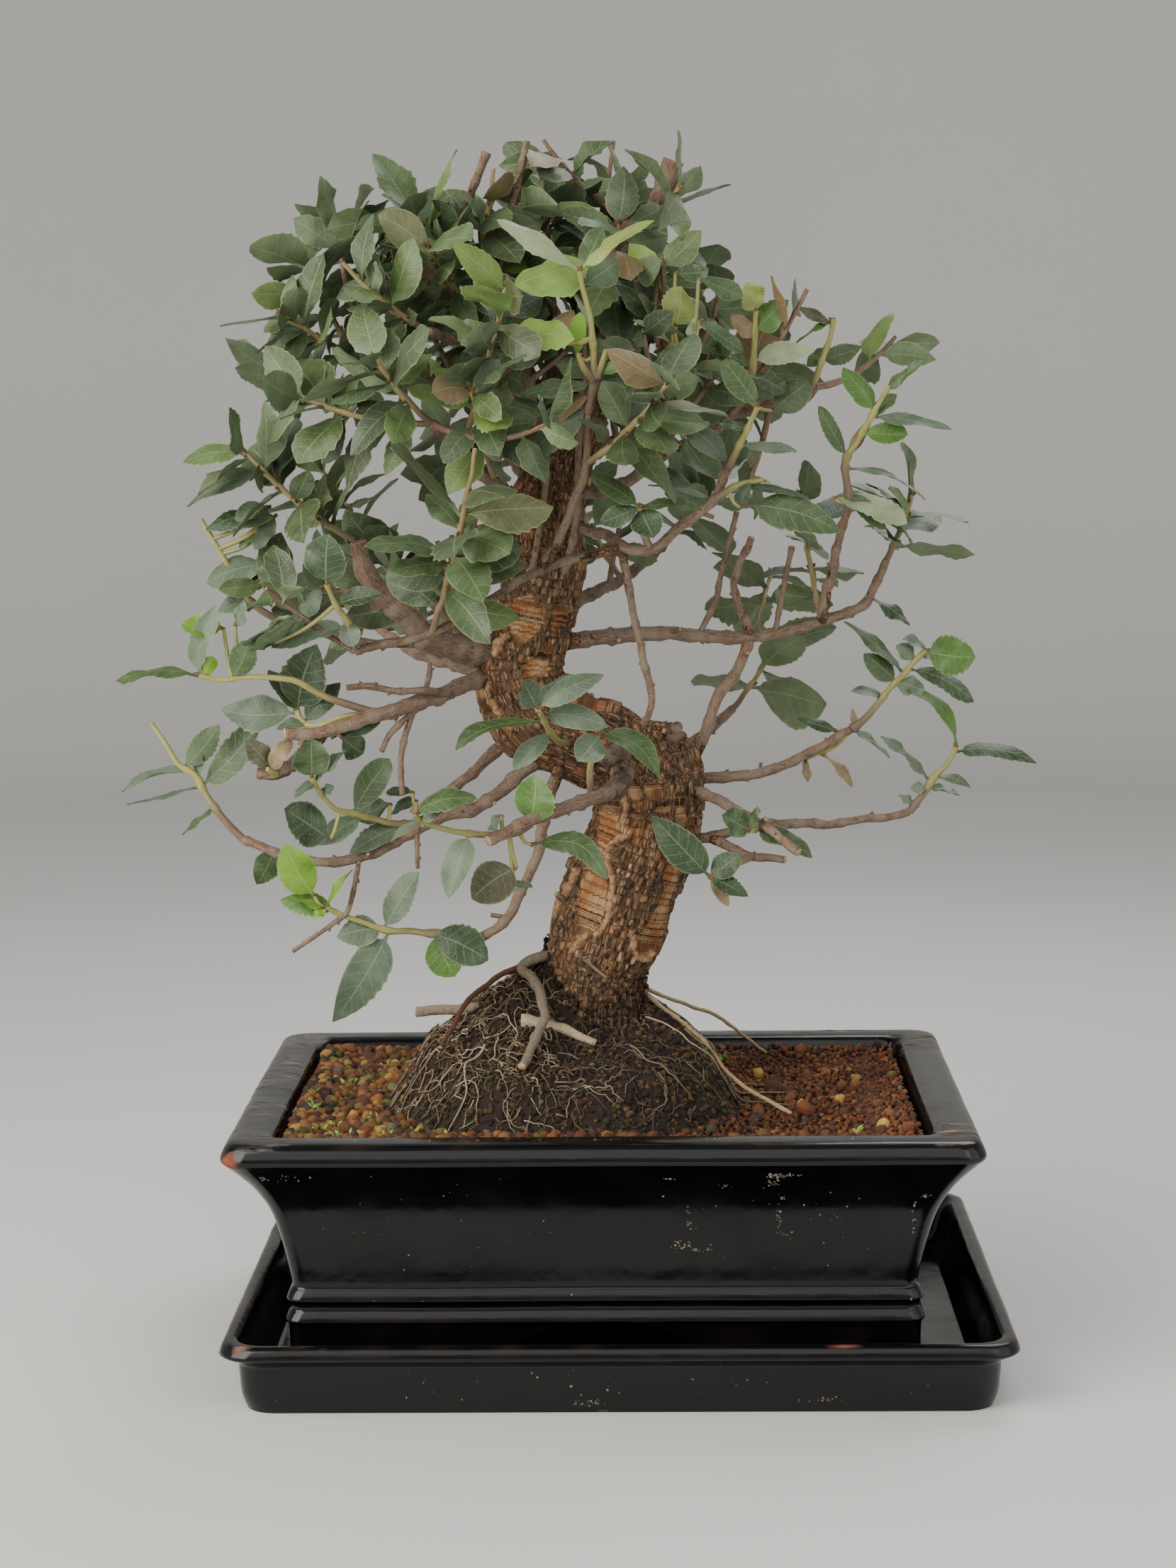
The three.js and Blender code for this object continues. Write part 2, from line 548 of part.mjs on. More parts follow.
function limbParts([start, end, places]) {
  const knots = places.map(vector);
  const radii = knots.map((_, i) => start + ((end - start) * i) / (knots.length - 1));
  return { knots, radii };
}

// A root lies on the mound, or hangs above it where its own knots are higher.
function rootParts([start, end, places]) {
  const given = places.map(vector);
  const knots = given.flatMap((knot, i) => (i > 0 ? [given[i - 1].clone().add(knot).multiplyScalar(0.5), knot] : [knot]));
  const radii = knots.map((_, i) => start + ((end - start) * i) / (knots.length - 1));
  knots.forEach((knot, i) => {
    knot.z = Math.max(knot.z, moundHeight(knot.x, knot.y) + radii[i] + ROOT_LIFT);
  });
  return { knots, radii };
}

function limbTube({ knots, radii }) {
  return loft(tubeRings(knots, radii, radii[0] < SLENDER_RADIUS ? SLENDER_SIDES : LIMB_SIDES));
}

// Shoots: each a twig that leaves the wood at a knot and turns up towards its tip

function twigPoint(shoot, share) {
  const point = shoot.root.clone().multiplyScalar((1 - share) ** 2);
  return point.addScaledVector(shoot.bend, 2 * share * (1 - share)).addScaledVector(shoot.tip, share ** 2);
}

function twigRadius(share) {
  return TWIG_RADII[0] + (TWIG_RADII[1] - TWIG_RADII[0]) * share;
}

// Five-sided rings of the twig. Its curve lies in an upright plane, and the first corner is square to that plane.
function twigRings(shoot, shares) {
  return shares.map((share) => {
    const middle = twigPoint(shoot, share);
    const along = twigPoint(shoot, share + 0.01).sub(twigPoint(shoot, share - 0.01)).normalize();
    const upward = along.clone().cross(shoot.across);
    return Array.from({ length: STEM_SIDES }, (_, i) => {
      const angle = (i / STEM_SIDES) * 2 * Math.PI;
      return middle.clone()
        .addScaledVector(shoot.across, twigRadius(share) * Math.cos(angle))
        .addScaledVector(upward, twigRadius(share) * Math.sin(angle));
    });
  });
}

function capsules(points, radii) {
  return points.slice(1).map((to, i) => ({ from: points[i], to, radius: Math.max(radii[i], radii[i + 1]) }));
}

function distanceToCapsule(place, capsule) {
  const along = capsule.to.clone().sub(capsule.from);
  const share = Math.min(1, Math.max(0, place.clone().sub(capsule.from).dot(along) / along.lengthSq()));
  return capsule.from.clone().addScaledVector(along, share).distanceTo(place) - capsule.radius;
}

// Where the twig's whole section has come clear of the wood: its leaves are counted from there.
function clearStart(shoot, wood) {
  for (let share = 0; share < 0.5; share += 0.005) {
    const point = twigPoint(shoot, share);
    const reach = twigRadius(share);
    const along = twigPoint(shoot, share + 0.01).sub(point).normalize();
    const isClear = wood.every((capsule) => {
      const nearest = new THREE.Vector3();
      new THREE.Line3(capsule.from, capsule.to).closestPointToPoint(point, true, nearest);
      const away = point.clone().sub(nearest);
      const sideways = away.clone().addScaledVector(along, -away.dot(along)).length() / away.length();
      return away.length() - capsule.radius - reach * sideways > GAP;
    });
    if (isClear) return share;
  }
  throw new Error(`shoot ${shoot.index + 1} never comes clear of the wood`);
}

// Where the twig starts: as near to the wood that carries it as the gap allows, and clear of the other twigs
function seatShare(shoot, neighbours) {
  const isClear = (share) => {
    const stub = loft(twigRings(shoot, [share, share + 4 / shoot.length]));
    return neighbours.every((solid) => stub.minGap(solid, 2 * GAP) >= GAP);
  };
  let inside = 0;
  let seat = shoot.start;
  while (!isClear(seat)) {
    inside = seat;
    seat += 0.5 / shoot.length;
  }
  for (let pass = 0; pass < 8; pass++) {
    const middle = (inside + seat) / 2;
    if (isClear(middle)) seat = middle;
    else inside = middle;
  }
  return seat;
}

function plannedShoots(knots) {
  return SHOOTS.map(([rootPlace, tipPlace, leaves, leafLength, bare, firstSide], index) => {
    const wanted = vector(rootPlace);
    const root = knots.reduce((best, knot) => (knot.distanceTo(wanted) < best.distanceTo(wanted) ? knot : best));
    const tip = vector(tipPlace);
    const length = root.distanceTo(tip);
    const bend = root.clone().add(tip).multiplyScalar(0.5);
    bend.z -= TWIG_SAG * length;
    const across = new THREE.Vector3(tip.y - root.y, root.x - tip.x, 0).normalize();
    const leafyEnd = 1 - (bare + 1.5) / length;
    return { index, root, bend, tip, across, length, leaves, leafLength, firstSide, leafyEnd };
  });
}

// Leaves stand two to a node of the stem, on sides two fifths of a turn apart.
function nodeShare(shoot, node) {
  const last = Math.ceil(shoot.leaves / 2) - 1;
  const first = Math.max(shoot.start + FIRST_LEAF_SHARE, shoot.leafyEnd - (last * NODE_SPACING) / shoot.length);
  return first + ((shoot.leafyEnd - first) * node) / last;
}

// The stem's side that carries a leaf: its corners, anticlockwise from outside, and the way it looks
function stemSide(lower, upper, number) {
  const next = (number + 1) % STEM_SIDES;
  const corners = [lower[number], lower[next], upper[next], upper[number]];
  const middle = new THREE.Vector3();
  corners.forEach((corner) => middle.addScaledVector(corner, 0.25));
  const outward = corners[1].clone().sub(corners[0]).cross(corners[3].clone().sub(corners[0])).normalize();
  return { corners, middle, outward };
}

// The blade's frame: where it springs from, its direction, the way its upper face looks, and its size
function leafFrame(shoot, number, attempt, side) {
  const draw = (low, high, channel) => between(low, high, shoot.index, number, attempt, channel);
  const order = Math.floor(number / 2) / Math.max(1, Math.ceil(shoot.leaves / 2) - 1);
  const along = side.corners[3].clone().sub(side.corners[0]).normalize();
  const across = along.clone().cross(side.outward);
  const degrees = Math.PI / 180;
  const azimuth = draw(-34, 34, 1) * degrees;
  const spread = (76 - 36 * order + draw(-12, 12, 2)) * degrees;
  const direction = along.multiplyScalar(Math.cos(spread))
    .addScaledVector(side.outward, Math.sin(spread) * Math.cos(azimuth))
    .addScaledVector(across, Math.sin(spread) * Math.sin(azimuth));
  direction.z -= 0.12;
  direction.normalize();
  const light = side.middle.clone().sub(CROWN_AXIS).setZ(0).normalize().multiplyScalar(0.6);
  light.add(new THREE.Vector3(draw(-0.45, 0.45, 3), draw(-0.45, 0.45, 4), draw(0.5, 1, 5)));
  const face = light.addScaledVector(direction, -light.dot(direction)).normalize();
  const length = shoot.leafLength * draw(0.78, 1.14, 6) * (1 - 0.012 * attempt);
  return {
    from: side.middle,
    direction,
    face,
    side: direction.clone().cross(face),
    length,
    width: length * LEAF_WIDTH * draw(0.88, 1.1, 7),
    curl: draw(0.04, 0.2, 8),
    cup: draw(0.06, 0.16, 9),
  };
}

// A point of the blade: share of its length, share of its half width (negative on the left), height off its face
function bladePoint(leaf, share, sideways, off = 0) {
  const sink = leaf.length * leaf.curl * share * share + leaf.width * leaf.cup * sideways * sideways;
  return leaf.from.clone()
    .addScaledVector(leaf.direction, leaf.length * share)
    .addScaledVector(leaf.side, (leaf.width / 2) * sideways)
    .addScaledVector(leaf.face, off - sink);
}

function bladeHalfWidth(share) {
  return Math.sin(Math.PI * Math.min(1, share) ** 0.8) ** 0.75;
}

function bladeSamples(leaf) {
  const samples = [];
  for (let i = 0; i < 7; i++) {
    const share = 0.2 + (0.8 * i) / 6;
    for (let j = -2; j <= 2; j++) samples.push(bladePoint(leaf, share, (bladeHalfWidth(share) * j) / 2));
  }
  return samples;
}

// Keeps blades clear of the wood, of the stems and of each other
class Clearance {
  constructor(wood) {
    this.wood = wood;
    this.cells = new Map();
  }

  cell(place, dx = 0, dy = 0, dz = 0) {
    const at = (value, shift) => Math.floor(value / LEAF_SPACING) + shift;
    return `${at(place.x, dx)},${at(place.y, dy)},${at(place.z, dz)}`;
  }

  isFree(samples) {
    for (const place of samples) {
      if (this.wood.some((capsule) => distanceToCapsule(place, capsule) < WOOD_SPACING)) return false;
      for (let n = 0; n < 27; n++) {
        const found = this.cells.get(this.cell(place, (n % 3) - 1, (Math.floor(n / 3) % 3) - 1, Math.floor(n / 9) - 1));
        if (found?.some((other) => other.distanceTo(place) < LEAF_SPACING)) return false;
      }
    }
    return true;
  }

  take(samples) {
    for (const place of samples) {
      const key = this.cell(place);
      if (!this.cells.has(key)) this.cells.set(key, []);
      this.cells.get(key).push(place);
    }
  }
}

// One blade on its side of the stem: a lens with a toothed outline, thickest at the midrib.
// Its stalk's four corners are those of the stem's side, taken round from the one under its face.
function addBlade(points, triangles, leaf, cornerNumbers) {
  const fit = (turn) =>
    [[leaf.face, -1], [leaf.side, -1], [leaf.face, 1], [leaf.side, 1]].reduce((total, [way, sign], i) => {
      const corner = points[cornerNumbers[(i + turn) % 4]];
      return total + sign * corner.clone().sub(leaf.from).dot(way);
    }, 0);
  const turn = [0, 1, 2, 3].reduce((best, next) => (fit(next) > fit(best) ? next : best));
  const [under, left, over, right] = [0, 1, 2, 3].map((i) => cornerNumbers[(i + turn) % 4]);
  const outline = leaf.length > SMALL_LEAF ? LEAF_SIDE : SMALL_LEAF_SIDE;
  const first = points.length;
  outline.forEach(([share, sideways]) => points.push(bladePoint(leaf, share, -sideways)));
  points.push(bladePoint(leaf, 1, 0));
  outline.toReversed().forEach(([share, sideways]) => points.push(bladePoint(leaf, share, sideways)));
  const rim = [left, ...Array(2 * outline.length + 1).keys().map((i) => first + i), right];
  const top = points.push(bladePoint(leaf, LEAF_MIDDLE, 0, LEAF_HALF_THICK)) - 1;
  const bottom = points.push(bladePoint(leaf, LEAF_MIDDLE, 0, -LEAF_HALF_THICK)) - 1;
  const upper = [over, ...rim];
  const lower = [under, ...rim];
  upper.forEach((corner, i) => triangles.push([top, upper[(i + 1) % upper.length], corner]));
  lower.forEach((corner, i) => triangles.push([bottom, corner, lower[(i + 1) % lower.length]]));
}

function leafyShoot(shoot, clearance) {
  const half = STALK_HALF / shoot.length;
  const shares = [shoot.seat];
  for (let node = 0; node < Math.ceil(shoot.leaves / 2); node++) {
    shares.push(nodeShare(shoot, node) - half, nodeShare(shoot, node) + half);
  }
  shares.push(1);
  const rings = twigRings(shoot, shares);
  const points = rings.flat();
  const triangles = [];
  const isTaken = new Set();
  const placeLeaf = (number) => {
    const level = 1 + 2 * Math.floor(number / 2);
    for (let attempt = 0; attempt < LEAF_TRIES; attempt++) {
      const sideNumber = (2 * number + shoot.firstSide + Math.floor(attempt / 5)) % STEM_SIDES;
      const key = level * STEM_SIDES + sideNumber;
      if (isTaken.has(key)) continue;
      const leaf = leafFrame(shoot, number, attempt, stemSide(rings[level], rings[level + 1], sideNumber));
      const samples = bladeSamples(leaf);
      if (!clearance.isFree(samples)) continue;
      clearance.take(samples);
      isTaken.add(key);
      const next = level * STEM_SIDES + ((sideNumber + 1) % STEM_SIDES);
      addBlade(points, triangles, leaf, [key, next, next + STEM_SIDES, key + STEM_SIDES]);
      return;
    }
  };
  for (let number = 0; number < shoot.leaves; number++) placeLeaf(number);
  for (let level = 0; level + 1 < rings.length; level++) {
    for (let i = 0; i < STEM_SIDES; i++) {
      const a = level * STEM_SIDES + i;
      const b = level * STEM_SIDES + ((i + 1) % STEM_SIDES);
      if (!isTaken.has(a)) triangles.push([a, b, b + STEM_SIDES], [a, b + STEM_SIDES, a + STEM_SIDES]);
    }
  }
  const last = (rings.length - 1) * STEM_SIDES;
  for (let i = 1; i + 1 < STEM_SIDES; i++) triangles.push([0, i + 1, i], [last, last + i, last + i + 1]);
  return closedSolid(points, triangles);
}

// The whole tree in its pot

const limbs = Object.values(LIMBS).map(limbParts);
const roots = Object.values(ROOTS).map(rootParts);
const trunkLines = [LOWER_TRUNK, UPPER_TRUNK];
const shoots = plannedShoots([...trunkLines.flat().map(vector), ...limbs.flatMap(({ knots }) => knots)]);

const wood = [
  ...trunkLines.flatMap((line) => capsules(line.map(vector), line.map((knot) => knot[3]))),
  ...limbs.flatMap(({ knots, radii }) => capsules(knots, radii)),
];
const TWIG_SHARES = [0, 0.2, 0.4, 0.6, 0.8, 1];
const twigs = shoots.flatMap((shoot) =>
  capsules(TWIG_SHARES.map((share) => twigPoint(shoot, share)), TWIG_SHARES.map(twigRadius)),
);

const trunk = fuse([...trunkLines.map((line) => trunkTube(line, 0, ridges)), ...limbs.map(limbTube), ...roots.map(limbTube)]);
const [[footX, footY, footZ, footRadius], ...rest] = LOWER_TRUNK;
const carriers = [trunk];
for (const shoot of shoots) {
  shoot.start = clearStart(shoot, wood);
  shoot.seat = seatShare(shoot, carriers);
  carriers.push(loft(twigRings(shoot, [shoot.seat, ...TWIG_SHARES.filter((share) => share > shoot.seat + 0.05)])));
}
const trunkHole = trunkTube([[footX, footY, footZ - GAP, footRadius], ...rest], GAP, () => 1.09);

const screenPockets = [-1, 1].map((side) => {
  const size = SCREEN_SIZE + 2 * GAP;
  const pocket = new THREE.BoxGeometry(size, size, 2 * (SCREEN_THICK + 2 * GAP));
  pocket.translate(side * DRAIN_REACH, 0, POT_FLOOR);
  return solidOf(pocket);
});
const ballHole = rootBall(GAP).translate([-POT_SHIFT, 0, 0]);
const soil = [ballHole, ...screenPockets].reduce((rest, hole) => rest.subtract(hole), substrate());

const tree = new THREE.Group();
tree.add(meshOf("saucer", saucer(), "glaze"));
const potted = new THREE.Group();
potted.position.x = POT_SHIFT;
tree.add(potted);
potted.add(meshOf("pot", pot(), "glaze"));
potted.add(meshOf("drainage_screen_left", drainageScreen(-1), "screen"));
potted.add(meshOf("drainage_screen_right", drainageScreen(1), "screen"));
potted.add(meshOf("substrate", soil, "akadama"));
const ballRoots = Object.values(BALL_ROOTS).map((root) => limbTube(limbParts(root)));
tree.add(meshOf("root_ball", fuse([rootBall(0), ...ballRoots]).subtract(trunkHole), "peat"));
tree.add(meshOf("trunk", trunk, "bark"));

const clearance = new Clearance([...wood, ...twigs]);
for (const shoot of shoots) {
  const name = `leafy_shoot_${String(shoot.index + 1).padStart(2, "0")}`;
  tree.add(meshOf(name, leafyShoot(shoot, clearance), "leaf"));
}

export default tree;
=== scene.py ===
"""Cork oak bonsai: the finished surfaces of tree, root ball, substrate, pot and saucer."""
import functools
import math

import bpy
import numpy as np
from mathutils import Matrix, Vector
from mathutils.bvhtree import BVHTree


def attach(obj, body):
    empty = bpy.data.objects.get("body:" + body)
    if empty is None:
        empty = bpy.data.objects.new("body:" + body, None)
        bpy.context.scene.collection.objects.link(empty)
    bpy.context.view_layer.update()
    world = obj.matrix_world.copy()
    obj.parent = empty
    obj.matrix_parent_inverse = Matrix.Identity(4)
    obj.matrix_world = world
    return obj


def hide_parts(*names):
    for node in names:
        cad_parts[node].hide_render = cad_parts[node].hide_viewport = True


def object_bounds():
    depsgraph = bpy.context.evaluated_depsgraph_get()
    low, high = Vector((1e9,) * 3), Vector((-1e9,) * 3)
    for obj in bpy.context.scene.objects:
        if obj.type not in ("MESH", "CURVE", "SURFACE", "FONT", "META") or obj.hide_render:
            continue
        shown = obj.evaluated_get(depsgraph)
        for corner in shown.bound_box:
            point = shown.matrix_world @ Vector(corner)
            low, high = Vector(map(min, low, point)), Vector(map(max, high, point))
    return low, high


bl_info = {
    "name": "Cork Oak Bonsai",
    "version": (1, 0, 0),
    "blender": (4, 5, 0),
    "location": "View3D > Sidebar > Bonsai",
    "description": "Makes a cork oak bonsai in a glazed pot around its packed model",
    "category": "Add Mesh",
}

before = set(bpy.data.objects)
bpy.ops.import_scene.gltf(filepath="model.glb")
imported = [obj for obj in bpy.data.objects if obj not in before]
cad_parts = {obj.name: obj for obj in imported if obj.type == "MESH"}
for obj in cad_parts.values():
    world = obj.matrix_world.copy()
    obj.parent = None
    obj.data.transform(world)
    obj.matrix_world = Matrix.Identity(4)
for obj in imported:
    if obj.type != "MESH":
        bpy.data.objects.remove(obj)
CAD_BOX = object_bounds()
MM = 0.001

# Pot and saucer, in millimetres, as in the part's source
GAP = 0.35
POT_LENGTH = 260
POT_DEPTH = 193
POT_CORNER = 9
POT_SHIFT = -5
SAUCER_LENGTH = 273
SAUCER_DEPTH = 207
SAUCER_CORNER = 12
SAUCER_FLOOR = 7
POT_FOOT = SAUCER_FLOOR + GAP
POT_FLOOR_UNDER = 24
POT_FLOOR = 32
POT_TOP = 93
FOOT_BAND = 11
DRAIN_RADIUS = 7
DRAIN_REACH = 52
SOIL_TOP = 88
POT_OUTSIDE = [
    (POT_FOOT, 20.5), (25.2, 20.5), (25.8, 19), (28.8, 20.2), (30, 21), (32.6, 21), (33.2, 19.5),
    (36.6, 20.8), (38, 22), (52, 19.4), (66, 15.6), (76, 9.6), (84, 2.4), (86, 0.3), (87.6, 0), (91.6, 1.7),
    (POT_TOP, 4),
]
POT_INSIDE = [(POT_TOP, 15), (90.5, 17), (80, 19.5), (66, 24.5), (46, 29), (POT_FLOOR, 33)]
SAUCER_OUTSIDE = [(0, 8.5), (5, 6.8), (14, 6.2), (17, 6.2), (20, 1), (21, 0), (24.2, 1.3), (25, 2.6)]
SAUCER_INSIDE = [(25, 5.4), (22.4, 7.2), (12, 10), (SAUCER_FLOOR, 14)]
ARCH_HALF_WIDTHS = [(POT_FOOT - 2, 34), (14, 33), (19.5, 29.5), (23, 21), (26.2, 12)]

# The tree, in millimetres, as in the part's source: knots of the wood, and the table of leafy shoots
LOWER_TRUNK = [
    [-8, -2, 62, 12], [-8, -1, 92, 18], [-8, 0, 108, 19.5], [-8, 0, 124, 18.5], [-7, 0, 138, 18.5],
    [-3, 0, 151, 21], [2, 0, 166, 20.5], [8, 0, 181, 20], [11, 0, 195, 19.5], [11, 0, 206, 20.5],
    [10, 0, 215, 17.5],
]
UPPER_TRUNK = [
    [7, 0, 207, 14], [-3, 0, 216, 16.5], [-15, 0, 221, 16], [-28, 0, 229, 18], [-34, 0, 242, 16.5],
    [-31, 0, 256, 14], [-28, 0, 270, 14], [-26, 0, 284, 15], [-26, 0, 297, 14.5], [-23, 0, 310, 12.5],
    [-20, 0, 322, 10],
]
LIMBS = {
    "leader_left": [7.5, 3.2, [[-22, 0, 312], [-33, -4, 343], [-44, -10, 366], [-47, -16, 389]]],
    "leader_right": [8, 3.7, [[-20, 0, 312], [-8, 4, 343], [-1, 6, 366], [-6, 5, 389], [14, 3, 405],
        [22, 0, 425]]],
    "leader_middle": [6, 2.6, [[-21, 2, 312], [-21, 8, 343], [-21, 14, 371]]],
    "crown_front_left": [2.2, 1.6, [[-44, -10, 366], [-52, -32, 362], [-62, -52, 365]]],
    "crown_left": [2.2, 1.6, [[-44, -10, 366], [-58, -6, 368], [-70, -4, 373]]],
    "crown_far_left": [2.8, 1.7, [[-33, -4, 343], [-52, -10, 345], [-72, -15, 350], [-90, -20, 357]]],
    "crown_front": [2.8, 1.7, [[-26, -8, 300], [-40, -34, 312], [-52, -56, 324], [-60, -66, 334]]],
    "crown_right": [3, 1.8, [[-20, 3, 318], [8, 12, 328], [34, 10, 334], [56, 4, 339], [72, 0, 345]]],
    "riser": [2.2, 1.7, [[-22, -4, 308], [0, -14, 310], [17, -20, 324], [19, -24, 345], [18, -25, 366]]],
    "riser_fork": [1.7, 1.4, [[17, -20, 324], [32, -22, 327], [45, -22, 340]]],
    "crown_back": [3, 1.8, [[-24, 4, 306], [-34, 26, 316], [-46, 44, 330]]],
    "left_thick": [5.4, 3, [[-30, 0, 250], [-49, -5, 252], [-65, -15, 257], [-75, -23, 268], [-86, -31, 281],
        [-89, -34, 293]]],
    "left_upper": [3, 1.7, [[-32, 0, 254], [-53, 6, 256], [-61, 11, 265], [-72, 20, 274], [-82, 28, 284]]],
    "left_inner": [1.9, 1.5, [[-65, -15, 257], [-88, -24, 257], [-110, -34, 264]]],
    "left_lower": [3.2, 2, [[-34, -2, 240], [-49, -10, 242], [-64, -30, 238], [-82, -45, 234],
        [-100, -55, 229], [-113, -60, 229]]],
    "left_drop": [1.9, 1.6, [[-100, -55, 229], [-108, -53, 219], [-123, -55, 214]]],
    "low_left_back": [2.4, 1.6, [[-30, 4, 228], [-43, 8, 216], [-54, 12, 205], [-68, 20, 195],
        [-76, 22, 190]]],
    "low_left": [2.7, 1.5, [[-20, -4, 220], [-37, -10, 206], [-50, -16, 197], [-65, -22, 193],
        [-91, -28, 181], [-112, -26, 180], [-133, -22, 187]]],
    "low_hanging": [2.2, 1.5, [[-18, -8, 216], [-24, -15, 200], [-27, -20, 186], [-32, -24, 172],
        [-41, -28, 157], [-52, -30, 150]]],
    "front_low": [2.9, 1.9, [[4, -12, 214], [-1, -30, 205], [-13, -45, 202], [-28, -60, 199],
        [-43, -72, 193]]],
    "right_long": [2.9, 1.5, [[-26, 2, 254], [9, 5, 257], [30, 10, 256], [49, 12, 255], [75, 18, 260],
        [91, 20, 267], [99, 22, 282]]],
    "right_rise": [1.7, 1.4, [[75, 18, 260], [79, 4, 284], [83, -16, 306]]],
    "right_twig": [1.5, 1.3, [[49, 12, 255], [43, 2, 276], [49, -4, 292]]],
    "right_link": [2.2, 1.8, [[22, 2, 204], [32, 3, 220], [36, 5, 233], [44, 9, 243], [49, 12, 255]]],
    "right_middle": [2.1, 1.5, [[14, 2, 204], [40, 4, 205], [56, 8, 207], [71, 12, 213], [86, 14, 221]]],
    "right_front": [2.2, 1.5, [[14, -8, 206], [30, -10, 201], [41, -18, 197], [51, -26, 192],
        [64, -36, 183]]],
    "right_low": [2, 1.4, [[14, -2, 184], [34, -4, 184], [50, -8, 189], [62, 0, 188], [82, 10, 187],
        [107, 15, 190]]],
    "right_stub": [1.7, 1.4, [[34, -4, 184], [47, -14, 179], [60, -20, 178]]],
    "front_arch": [2, 1.5, [[-18, -6, 298], [-2, -30, 294], [3, -48, 291], [13, -52, 290], [24, -53, 299],
        [34, -53, 307], [40, -50, 319]]],
    "front_reach": [1.6, 1.3, [[3, -48, 291], [-24, -53, 284], [-43, -56, 273], [-62, -59, 263],
        [-88, -62, 257]]],
    "front_drop": [1.3, 1.2, [[3, -48, 291], [6, -51, 272], [9, -52, 258], [13, -50, 240], [10, -48, 230]]],
    "front_rise": [1.5, 1.3, [[-24, -53, 284], [-14, -56, 304], [-9, -58, 320], [-8, -61, 337]]],
    "back_right": [3, 1.7, [[-29, 4, 262], [-16, 26, 267], [2, 46, 275], [18, 64, 286]]],
    "back_left": [3, 1.7, [[-34, 6, 242], [-54, 28, 243], [-74, 48, 247], [-90, 62, 255]]],
    "back_low": [3, 1.7, [[10, 8, 204], [18, 30, 207], [30, 52, 213], [44, 70, 223]]],
}
ROOTS = {
    "bent_front": [2, 1.6, [[-14, -2, 141], [-34.5, -8, 138], [-28, -19, 131.5], [-26, -30.5, 123.5],
        [-30.5, -42.5, 114], [-33.5, -50, 110]]],
    "red_brown": [1.2, 0.8, [[-18, -2, 136], [-43, -5, 134], [-54, -12, 127], [-60, -26, 118],
        [-63, -34, 113.5]]],
    "far_right": [0.8, 0.6, [[0, 3, 126], [16, 11, 123], [36, 34, 111], [56, 58, 91]]],
    "main_right": [1, 0.7, [[0, -1, 122], [14, -3, 119], [24, -5, 113], [32, -10, 105], [46, -22, 95.5],
        [61, -42, 91]]],
    "back": [1.6, 1, [[-10, 8, 128], [-16, 24, 121], [-26, 40, 108], [-38, 50, 95.5]]],
}
BALL_ROOTS = {
    "pale_stub": [1.8, 1.9, [[-36, -6, 125], [-50, -8, 123], [-60, -7, 122], [-73.5, -6, 121]]],
    "pale_chunk": [2.6, 1.5, [[-34.5, -24.5, 121], [-28, -25, 120], [-19.5, -25.5, 118], [-8, -28, 113.5]]],
}
